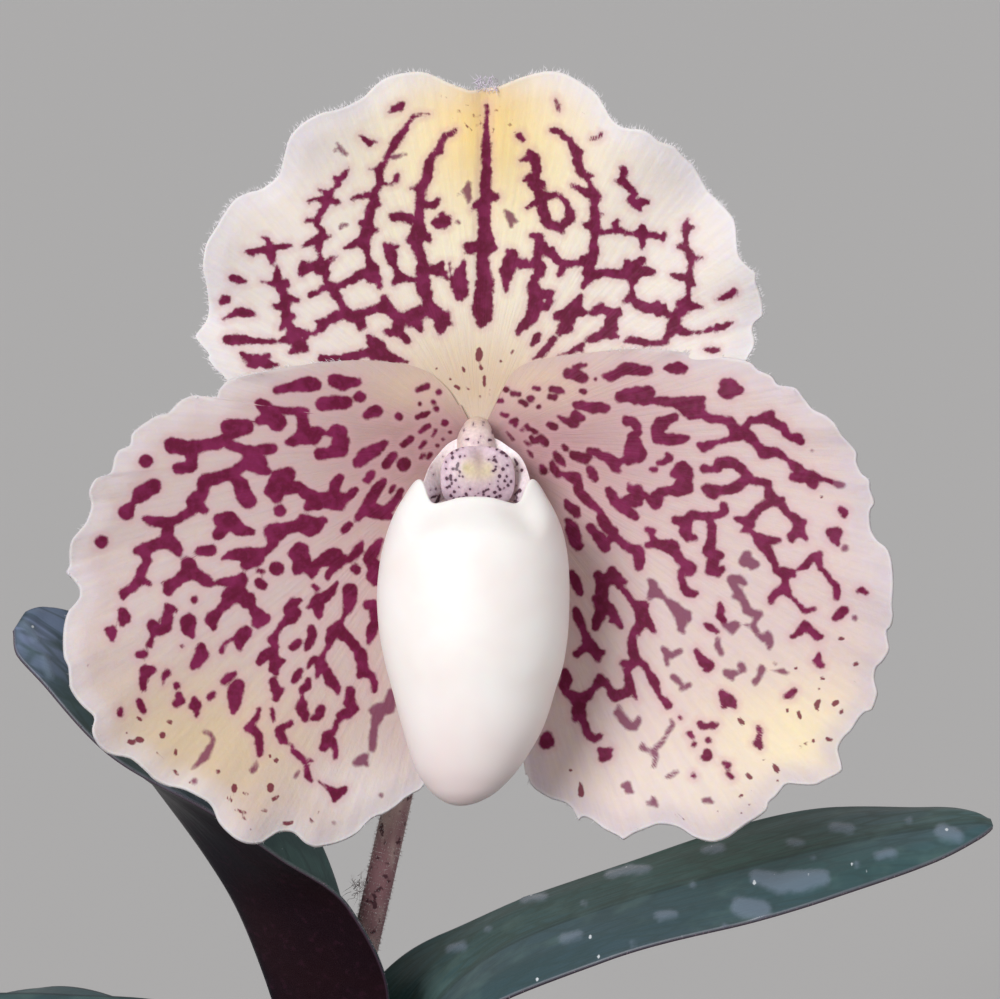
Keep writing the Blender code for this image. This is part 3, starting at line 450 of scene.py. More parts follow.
rightPetalMarks = {
    "blotches": [
        [(2.67, 4.8, .25)], [(3.3, 4.4, .24), (3.9, 4.35, .21)], [(1.9, 3.7, .24), (2.3, 3.7, .26)],
        [(4.1, 3.6, .22), (4.6, 3.4, .24)], [(5.05, 3.9, .36)], [(5.35, 4.95, .21), (5.8, 4.9, .24)],
        [(5.87, 3.1, .19)], [(7.1, 4.85, .3), (7.8, 4.7, .33), (8.2, 4.6, .2)], [(6.95, 4.1, .25),
        (7.35, 4.05, .3)], [(2.3, 2.45, .19), (2.7, 2.25, .26)], [(3.2, 1.7, .27), (3.6, 1.75, .27),
        (3.6, 1.4, .27)], [(4.2, .9, .2)], [(4.65, 1.3, .19), (4.85, 1, .24)], [(5.25, .85, .18),
        (5.55, .65, .2)], [(5.1, .15, .22), (5.4, -.2, .28), (6, .1, .33), (6.3, -.15, .38),
        (6.5, -.4, .28)], [(4.55, -.2, .1), (4.9, -.55, .16)], [(4.85, -1.15, .14), (5.05, -1.45, .18),
        (5.2, -1.65, .12)], [(6.85, 1.4, .3), (7.35, 1.15, .33)], [(2.75, .7, .09), (3.05, .35, .1),
        (3.35, 0, .13)], [(7.8, 2.15, .18), (8.4, 1.8, .28), (9.1, 1.6, .52), (9.3, 1.5, .4)],
        [(9.2, 1.9, .45), (9.3, 2.4, .42), (9.9, 2.1, .42)], [(9.5, 3.3, .42), (10.3, 3.2, .52),
        (11, 3.05, .56), (11.6, 3.1, .52), (12.3, 3, .42)], [(8.7, 6.3, .52), (9.3, 6.25, .56),
        (10.1, 5.9, .48)], [(9.3, 6.9, .26), (9.9, 7.1, .22), (10.3, 7.15, .14)], [(9.9, 4.65, .16),
        (10.2, 4.6, .25)], [(11.3, 5.8, .13)], [(12.2, 6.1, .28), (12.7, 6, .46), (13.5, 6.4, .48),
        (14.3, 6.85, .56), (14.8, 6.8, .6), (15.6, 6.6, .46), (16.4, 6.65, .42)], [(17.9, 6.8, .13),
        (18.6, 6.85, .46), (19.1, 6.85, .6), (19.6, 6.85, .48), (20.1, 6.85, .08)], [(13.7, 4.1, .52),
        (14.4, 4.3, .7), (15.2, 4.3, .85), (16, 4.1, .78), (16.4, 4.5, .62)], [(16, 3.8, .6),
        (17, 3.7, .33), (17.8, 3.7, .42), (18.3, 3.6, .42), (18.8, 3.6, .42), (19.7, 3.4, .72),
        (20.4, 3.1, .95), (21, 3, .9)], [(20.6, 3.5, .72), (21.5, 3.8, .42)], [(20.6, 2.6, .75),
        (21.6, 2.4, .48), (22.5, 1.95, .42), (23.4, 1.9, .42), (24.2, 1.7, .48), (24.6, 1.1, .56),
        (24.9, .5, .6), (25.7, .5, .52), (26.2, .3, .46)], [(25.4, .9, .4), (25.8, 1.3, .33),
        (26.2, 1.8, .33), (27, 1.9, .42), (27.8, 2.1, .6), (28.2, 2.4, .38)], [(28, 1.9, .5),
        (28.4, 1.6, .42), (28.9, 1.3, .42), (29.4, 1.2, .46), (29.6, .6, .38), (30.1, .2, .33),
        (30.8, .1, .48), (31, -.2, .4)], [(24.7, .3, .45), (24.4, .1, .33), (23.8, -.1, .28),
        (23, -.3, .26), (22.3, -.5, .42), (21.8, -.8, .46), (21.3, -.5, .33)], [(26.2, .1, .5),
        (26.6, -.2, .42), (27, -.7, .42), (27.4, -1.3, .56), (28, -1.3, .56), (28.7, -1.2, .46),
        (29.3, -1.6, .33), (29.8, -2, .23), (30.3, -2.5, .46), (30.8, -2.9, .56), (31.2, -3.4, .65),
        (31.9, -3.7, .56), (32.3, -4.3, .5)], [(31, -3.6, .55), (30.3, -3.6, .42)], [(32, -3.5, .5),
        (32.6, -3.7, .36), (33.3, -3.9, .18), (34, -4.1, .16)], [(23.8, 5.3, .56), (24.3, 5.3, .6),
        (24.6, 4.8, .65), (25.2, 4.7, .42)], [(23.9, 4.9, .6), (23.6, 4.5, .5), (24.2, 4.4, .56)],
        [(14.3, 1.8, .46), (14.9, 1.7, .46), (15.3, 1.2, .46), (15.4, .7, .38), (14.9, .2, .5),
        (15, -.4, .78), (15, -1.2, 1.05), (15.3, -1.4, .9)], [(14.9, -1.5, .8), (14.5, -1.9, .56),
        (13.8, -2.1, .28), (13.4, -2.3, .46)], [(9.1, -1.5, .33), (9.7, -1.7, .46), (10.3, -1.9, .42),
        (10.7, -1.6, .3)], [(10.7, -1.15, .26), (11.2, -1.2, .38), (11.9, -1.6, .42), (12.5, -1.8, .52),
        (13, -2.2, .56), (13.2, -2.8, .4), (13.6, -3.1, .18)], [(8.2, -.65, .18), (8.4, -.9, .23)],
        [(7.4, -1.35, .24), (7.7, -1.8, .38), (8, -2.2, .36), (8.3, -2.5, .18)], [(7.1, -2.3, .24),
        (7.3, -2.8, .38), (7.6, -3.3, .36), (7.9, -3.6, .2)], [(6.1, -2.6, .28), (6.3, -3, .35)],
        [(7.9, -3.5, .15), (8.2, -3.4, .28), (8.8, -3.6, .48), (9.4, -3.7, .56), (9.6, -4.3, .48),
        (9.7, -5, .42), (10.1, -5.5, .46), (10.6, -6, .46), (11.2, -6.5, .42), (11.7, -6.9, .33),
        (11.9, -7.6, .46), (12.2, -8.2, .52), (12.6, -8.7, .46), (13.1, -8.8, .36)], [(10.8, -2.9, .38),
        (11, -3.4, .46), (11.3, -3.8, .27)], [(8.5, -6, .28), (8.8, -6.5, .46), (9.3, -6.8, .46),
        (9.5, -7.3, .35)], [(8.7, -7.9, .33), (9, -8.4, .56), (9.2, -9, .65)], [(10.6, -8.4, .28),
        (10.9, -8.8, .38)], [(12.6, -4.9, .33), (12.9, -5.4, .52), (13.2, -6, .52), (13.8, -6.5, .56),
        (14.5, -7, .52), (15.1, -7.4, .38)], [(14.5, -4.3, .18), (14.7, -4.8, .38), (15.3, -4.9, .56),
        (15.6, -5.4, .52), (15, -5.8, .66), (14.3, -6, .56)], [(15.1, -6, .5), (15.4, -6.1, .42)],
        [(15.9, -5.4, .35), (16.2, -5.4, .2), (16.6, -5.9, .38), (17.1, -6.2, .62), (17.2, -5.7, .7),
        (17.5, -5.2, .5), (18.2, -4.9, .38), (19, -4.9, .6), (19.5, -4.5, .75), (19.9, -4, .7),
        (20, -3.3, .7), (19.6, -2.8, .7), (19, -3.3, .56)], [(19.7, -4.8, .6), (20.2, -4.7, .48)],
        [(18.9, 2.1, .38), (18.2, 1.8, .46), (17.6, 1.4, .7), (17.2, .8, .6), (17.3, .2, .65), (18, 0, .6),
        (18.9, 0, .55), (19.6, 0, .46), (20.1, .1, .28)], [(18.2, -1.4, .2), (18.4, -1.8, .38),
        (17.9, -2.2, .28), (17.4, -2.3, .26)], [(16.7, -2.85, .26), (17.1, -2.9, .28)], [(21.8, -2.8, .42),
        (22.4, -2.9, .33), (23, -2.8, .46), (23.2, -2.2, .5), (24, -2.2, .56), (24.8, -2.4, .46),
        (25.4, -2.9, .46), (25.9, -3.4, .46), (25.6, -4, .5), (25, -4.5, .56), (24.3, -4.8, .46),
        (23.6, -4.9, .42), (22.8, -5, .56), (22, -4.8, .46)], [(22.4, -5.2, .45), (22.7, -5.4, .38)],
        [(26, -3.8, .46), (26.7, -4, .38), (27.3, -4.1, .38), (27.9, -4.3, .33), (28, -5.2, .38),
        (28.3, -5.7, .5), (28.8, -6, .46), (29.2, -5.8, .28)], [(28.3, -6, .4), (27.7, -6.3, .38),
        (27, -6.7, .4), (26.5, -7.3, .46), (26, -7.9, .56), (25.3, -7.8, .38), (24.8, -7.6, .2)],
        [(26.2, -8.2, .46), (25.7, -8.7, .28)], [(29, -6.2, .4), (29.4, -6.5, .33), (29.8, -7.1, .38),
        (30.5, -7.6, .46), (30.9, -8.2, .56), (30.9, -8.8, .56)], [(30.9, -8.2, .5), (31.4, -8, .33)],
        [(23.6, -6.4, .36), (23.7, -7, .42), (23.1, -7.3, .38), (22.3, -7.4, .42), (21.4, -7.4, .42),
        (20.6, -7.3, .42), (20.2, -7.8, .5), (19.6, -8, .46), (19, -7.8, .38)], [(22.3, -7.6, .42),
        (22.4, -8.1, .42), (22.5, -8.8, .38)], [(20.1, -8.2, .55), (20, -8.8, .6)], [(16.3, -8.7, .33),
        (16.7, -8.9, .38)], [(34.9, -6.7, .33), (35.3, -7, .38), (35.3, -7.3, .26)], [(33.9, -9, .38),
        (34.6, -9, .42)], [(9, -8.6, .58), (9.2, -9.2, .68), (9.4, -9.9, .6), (9.6, -10.3, .42),
        (9.9, -10.2, .28)], [(10.8, -8.4, .3), (11.2, -9, .42), (11.7, -9.5, .56), (12, -10, .6),
        (12.3, -10.5, .46)], [(12.4, -9.9, .4), (12.9, -9.4, .3)], [(13, -8.9, .4), (13.2, -9.4, .42),
        (14, -10.1, .42), (14.7, -10.6, .46), (15.4, -10.8, .65), (15.5, -11.5, .6), (15.5, -12.2, .46)],
        [(16.8, -8.9, .33), (16.7, -9.3, .28), (16.9, -9.9, .42), (17.6, -10.2, .42), (18.3, -10.3, .65),
        (18.7, -10.2, .56), (19, -10.9, .56), (19.4, -11.6, .46), (20, -12.1, .56), (20.5, -12.4, .52),
        (20.4, -12.9, .42)], [(16.9, -10, .4), (16.3, -10.2, .33)], [(19.9, -12.4, .4), (19.6, -12.8, .36),
        (19.5, -13.3, .36), (19.7, -13.9, .32), (19.9, -14.4, .36), (20.1, -14.7, .42), (20.7, -14.9, .33),
        (21, -14.8, .2)], [(19.9, -8.8, .56), (20.2, -9.4, .46), (20.9, -9.5, .28)], [(22.5, -8.5, .42),
        (22.5, -9.3, .42), (22.4, -10, .46), (22.2, -10.8, .58), (22.8, -11.2, .58), (22.6, -12, .56),
        (22.3, -12.7, .42), (23, -12.8, .45), (23.5, -12.5, .28)], [(22.9, -11.2, .5), (23.3, -11.2, .33)],
        [(9, -12.9, .28), (9.3, -13.6, .46), (9.6, -14.2, .46), (9.8, -14.8, .33)], [(11.5, -13.1, .38),
        (11.9, -13.7, .55), (11.9, -14.8, .62), (11.8, -15.6, .75), (12, -16.4, .65), (11.5, -17.4, .46),
        (11.3, -18.2, .28)], [(11.7, -15.4, .5), (11.2, -15.3, .25)], [(11.9, -13.8, .5),
        (12.6, -13.4, .56), (13.2, -13.2, .5), (14, -13.7, .33)], [(12.9, -13, .5), (12.9, -12.7, .42)],
        [(12.3, -16, .5), (12.7, -16.3, .46), (13, -16.9, .46), (13.4, -17.5, .46), (13.8, -18, .26)],
        [(13.1, -17.3, .4), (12.8, -17.5, .28)], [(13.2, -13.7, .3), (13.5, -14, .28), (13.9, -14.4, .28),
        (14.4, -15, .33), (14.8, -15.7, .28), (15.3, -16, .46)], [(15.4, -16.1, .46), (16, -16, .46),
        (15.7, -16.6, .65), (15.8, -17.3, .65), (16.5, -17.8, .36), (16.9, -18.5, .24)], [(15.6, -17.8, .5),
        (15.4, -18.2, .42), (15.4, -18.7, .24)], [(15.2, -18.2, .36), (14.9, -18.8, .4), (14.8, -19.6, .42),
        (14.9, -20.4, .46), (15.2, -21.2, .42), (14.8, -21.7, .46), (14.3, -22.3, .4), (14.5, -23, .4),
        (14.6, -23.8, .4), (14.3, -24.5, .36), (13.6, -24.6, .4), (12.9, -24.4, .3), (12.6, -24, .28)],
        [(14.6, -21.7, .4), (14, -21.6, .33)], [(15.3, -21.4, .38), (15.9, -21.6, .33), (16.3, -22.2, .28),
        (16.7, -22.9, .42), (17, -23.5, .38), (17.2, -24.1, .28), (17.4, -24.7, .17)], [(9.4, -16.4, .28),
        (9.6, -17, .42), (9.9, -17.8, .36), (10.2, -18.6, .36), (10.5, -19.4, .56), (10.9, -20, .6),
        (11.5, -20.8, .42), (11.5, -21.3, .26)], [(10.5, -19.8, .5), (10.1, -20.1, .38), (9.5, -20.7, .32)],
        [(11.5, -20.6, .3), (12, -20.5, .24)], [(8.4, -22.5, .42), (8.5, -23.1, .56), (8.3, -23.7, .56),
        (8.4, -24.3, .42), (9, -24.6, .38), (9.7, -24.8, .38), (10.6, -24.6, .42), (11.1, -24, .38),
        (11.6, -23.5, .4), (12.3, -23.4, .38), (12.6, -24, .28)], [(11.6, -23.4, .36), (11.7, -22.9, .33)],
        [(21, -20.4, .26), (21.3, -21, .38), (21.7, -21.4, .52), (22.2, -21.8, .52), (22, -22.2, .33)],
        [(21.9, -17.9, .24), (22.5, -18.2, .33), (22.95, -18.5, .22)], [(26.2, -8.8, .3), (26.6, -9.2, .32),
        (27, -9.6, .56), (27.7, -9.7, .46), (28.4, -9.7, .33), (29, -9.7, .24)], [(25.7, -8.7, .28),
        (25.4, -8.85, .18)], [(27.1, -9.9, .55), (27.4, -10.3, .46), (27.9, -10.8, .46), (28.2, -11.4, .38),
        (28.6, -12, .28), (28.7, -12.6, .33), (29.3, -12.8, .46), (30, -12.9, .42), (30.4, -13.1, .28)],
        [(29.5, -13, .45), (29.6, -13.5, .38), (29.6, -14, .38), (29.3, -14.4, .46), (28.7, -14.8, .42),
        (28.3, -15.3, .36), (28.2, -15.7, .23)], [(29.6, -14.3, .42), (29.8, -14.8, .38),
        (30.2, -15.3, .18), (30.8, -15.8, .2), (31.2, -16.2, .26), (31.5, -16.6, .25), (32, -16.4, .18),
        (32.3, -16.35, .24)], [(30.3, -12.8, .2), (30.7, -12.65, .13), (31, -12.4, .26), (31.6, -12.2, .33),
        (31.9, -11.6, .33), (32.4, -11.3, .46), (32.8, -11.1, .38), (32.8, -11.8, .38), (33, -12.4, .28),
        (33.4, -12.8, .18), (33.7, -13.2, .26), (34, -13.7, .26), (34.5, -14.1, .33), (34.5, -14.7, .38),
        (34.5, -15.2, .36)], [(30.8, -8.9, .6), (30.2, -9.3, .46), (30.2, -9.7, .23)], [(31, -8.9, .5),
        (31.3, -9.2, .33), (31.6, -9.6, .24)], [(34, -8.9, .4), (34.6, -9.1, .48), (34.3, -9.6, .48),
        (34.6, -10.1, .25)], [(23.3, -15.9, .24), (23.4, -16.5, .4), (23.2, -17, .36), (23.7, -17.4, .26)],
        [(31.5, -17.9, .38), (31.3, -18.2, .46), (31, -18.5, .38), (30.5, -18.9, .18), (30.2, -19, .17)],
        [(31.6, -18, .42), (31.9, -18.3, .38), (32.3, -18.7, .38), (32.6, -19, .42), (33, -19, .24)],
        [(32.8, -20.6, .18), (32.7, -21.2, .35), (32.8, -21.6, .38), (33.1, -21.8, .27)],
        [(32.6, -21.3, .3), (32.3, -21.3, .2)], [(36.6, -14.6, .18), (37, -14.5, .28), (37.3, -14.8, .23)],
        [(30.4, -24.2, .27), (30, -24.6, .36), (29.6, -24.7, .24)], [(35.2, -16.5, .42), (34.8, -16.9, .42),
        (34.4, -17.2, .32)], [(9.3, -25.2, .46), (9.8, -25.5, .56), (9.6, -26.1, .6), (9.9, -26.5, .52),
        (10.1, -27.1, .38), (10.3, -27.8, .4), (10.6, -28.5, .42), (11.2, -28.9, .36), (11.7, -28.6, .28)],
        [(9.5, -26.4, .4), (9.3, -27, .32)], [(9.9, -25.1, .42), (10.5, -24.8, .4)], [(8.9, -24.7, .4),
        (9.2, -25, .42)], [(12.2, -30.3, .6), (11.7, -29.9, .28)], [(12.4, -30.3, .5), (12.7, -29.9, .3)],
        [(12.4, -30.5, .46), (11.95, -30.7, .33)], [(6.6, -28.7, .56), (6.5, -29.2, .6),
        (6.95, -29.2, .42)], [(12.8, -24.6, .36), (13.1, -24.9, .36), (13.8, -24.6, .42)],
        [(15, -24.3, .18), (15.2, -24.8, .2), (15.3, -25.1, .1)], [(17.4, -24.6, .15), (17.6, -24.9, .2),
        (18, -25.2, .35), (18.3, -25.6, .38)], [(19.4, -26.8, .23)], [(21.4, -27.4, .31),
        (21.6, -27.75, .28), (22.1, -27.6, .26), (22.5, -27.5, .31), (22.7, -27.75, .22), (23, -27.4, .15)],
        [(20.4, -28.4, .33), (20.6, -28.7, .24)], [(20.8, -29.4, .22)], [(22.15, -29, .26)],
        [(22, -30.2, .36), (22.1, -30.5, .38), (21.8, -30.6, .33)], [(23.7, -31.2, .22), (24.1, -31.3, .26),
        (24, -31.6, .24)], [(24, -32.2, .18), (24.4, -32.5, .25)], [(20.7, -32.4, .27)],
        [(23.5, -24.5, .42), (23.9, -24.9, .56), (24.4, -25.3, .46), (24.6, -25.7, .26)], [(23.7, -25, .42),
        (23.6, -25.7, .26)], [(27, -27.8, .27), (27.2, -28.2, .27), (27, -28.9, .3), (27, -29.4, .33),
        (27.2, -29.7, .2)], [(27, -29.2, .28), (26.6, -29.2, .18)],
    ],
    "pale": [
        [(34, -4.1, .16), (34.8, -4.4, .38), (35.2, -4.4, .28)], [(32.15, -1.1, .12)], [(16.5, -13.6, .28),
        (16.9, -14.1, .46), (16.8, -14.8, .5), (17.3, -14.8, .46), (17.9, -15.3, .24), (18.4, -15.7, .42),
        (18.9, -16.2, .6), (19.4, -16.8, .7), (20.1, -16.9, .46), (20.3, -17.3, .33)], [(16.7, -14.9, .4),
        (16.5, -15.3, .28)], [(19.5, -17.2, .6), (19.6, -17.8, .55), (19.5, -18.2, .46),
        (19.7, -18.6, .33)], [(17.8, -20.2, .28), (18.2, -20.7, .38), (18.8, -20.8, .36),
        (19.4, -20.4, .36)], [(18.2, -20.8, .33), (18.1, -21.2, .28), (18.2, -21.7, .22)],
        [(18.8, -22.9, .33), (19.1, -23.1, .36), (19.6, -23.6, .26), (19.7, -24, .32), (20.3, -23.7, .32)],
        [(35.3, -10.5, .36)], [(25.9, -11.2, .56), (25.6, -11.8, .52), (26.2, -11.8, .56),
        (26.8, -12.1, .38), (26.3, -12.3, .33)], [(24.4, -13.4, .42), (25.2, -13.5, .46),
        (25.6, -13.8, .36)], [(24.5, -13.6, .45), (24.6, -14.1, .42), (25, -14.7, .46), (25.3, -15.2, .42),
        (25.7, -15.8, .42), (25.8, -16.4, .46), (26.4, -16.7, .46), (27, -16.9, .42), (26.7, -17.4, .38),
        (26.5, -18, .36), (26.8, -18.5, .33), (27, -18.9, .28), (27.5, -19.2, .38), (27.9, -19.1, .42),
        (28.1, -19.7, .42), (28, -20.1, .26)], [(25.2, -15.1, .35), (24.6, -15.2, .28)],
        [(26.4, -17.9, .25), (25.8, -17.9, .13)], [(27.9, -19, .36), (27.9, -18.7, .28)],
        [(23.6, -17.5, .26), (23.8, -17.9, .3), (24.2, -18.1, .46), (24.7, -17.9, .46), (24.4, -18.5, .32)],
        [(23.1, -19.3, .28), (23.1, -20, .38), (23.4, -20.6, .3)], [(25.3, -21.8, .35), (25.6, -22.2, .28),
        (25, -22.5, .23), (24.4, -22.6, .42), (23.9, -22.5, .38)], [(24.3, -22.7, .4), (24.4, -23, .32)],
        [(27.3, -22.1, .42), (27.2, -22.6, .35), (27, -23, .23), (26.6, -23.4, .33)], [(28.6, -21.65, .24)],
        [(28.4, -22.3, .18), (28.8, -22.3, .22), (29.3, -22.3, .28), (29.7, -22.5, .2)],
        [(36.2, -17.2, .28)], [(13.6, -25.8, .28), (13.3, -26.3, .36), (13.7, -26.6, .46),
        (14.1, -27.1, .46), (14.4, -27.6, .46), (15, -27.7, .46), (15.4, -27.2, .36), (15.5, -26.8, .24)],
        [(18.6, -27.1, .22), (18.7, -27.5, .27), (18.3, -28.1, .22), (18.1, -28.7, .18), (17.8, -29, .26),
        (17.5, -29.4, .26), (17.1, -29.7, .27), (16.9, -30.1, .33), (17.1, -30.5, .27), (17, -31, .2),
        (16.9, -31.5, .26)], [(16.8, -30, .2), (16.3, -29.95, .13), (15.8, -29.7, .36), (15.8, -29.3, .18)],
        [(18.2, -32.5, .26), (18.7, -32.3, .33), (19.2, -32, .26)], [(14, -33.4, .36), (14.4, -33.2, .36),
        (14.5, -33.8, .46), (14.9, -34, .22)], [(16.8, -34.5, .22), (16.9, -34.9, .36)], [(16.4, -35, .18),
        (16.9, -35, .3), (17.2, -35.3, .2)], [(21.8, -34.8, .27), (22.2, -34.7, .3), (22.5, -34.9, .2)],
    ],
    "flecks": [
        [(33.05, -5.55, .14)], [(30.6, -22.05, .14)], [(33.15, -23.05, .23)], [(32.8, -24.05, .14)],
        [(36.15, -21.7, .18), (36.5, -21.6, .2)], [(36.3, -23.3, .1)], [(34.8, -19.2, .18),
        (35.1, -19.2, .2)], [(8.9, -31.9, .13)], [(9.85, -33.1, .12), (9.9, -33.8, .26), (9.9, -34.2, .3)],
        [(19, -36.05, .1)], [(19.8, -36.55, .15)], [(25.15, -26.95, .18), (25.4, -27.3, .26)],
        [(25.9, -32.3, .18), (26.2, -32.6, .18)], [(27.5, -30.8, .15)], [(28.5, -31.4, .2),
        (28.8, -31.9, .25)], [(28.85, -32.9, .1)], [(25.35, -34.3, .15), (25.2, -34.5, .13)],
        [(26.25, -33.85, .08)], [(26.1, -35.15, .13)], [(25.3, -36, .1)], [(23.1, -35.9, .1)],
        [(29.75, -26.1, .15)], [(30.85, -26.3, .16), (31, -26.8, .16)], [(32.8, -25.2, .18),
        (32.6, -25.6, .27), (32.7, -26.1, .14)], [(34.25, -25.5, .2), (34.6, -25.3, .2)], [(35, -26, .1),
        (34.95, -26.3, .23)], [(33.6, -28.85, .2), (33.95, -28.9, .18)], [(32.3, -29.05, .18)],
        [(31.6, -29.3, .16)], [(31, -29.65, .1)],
    ],
}
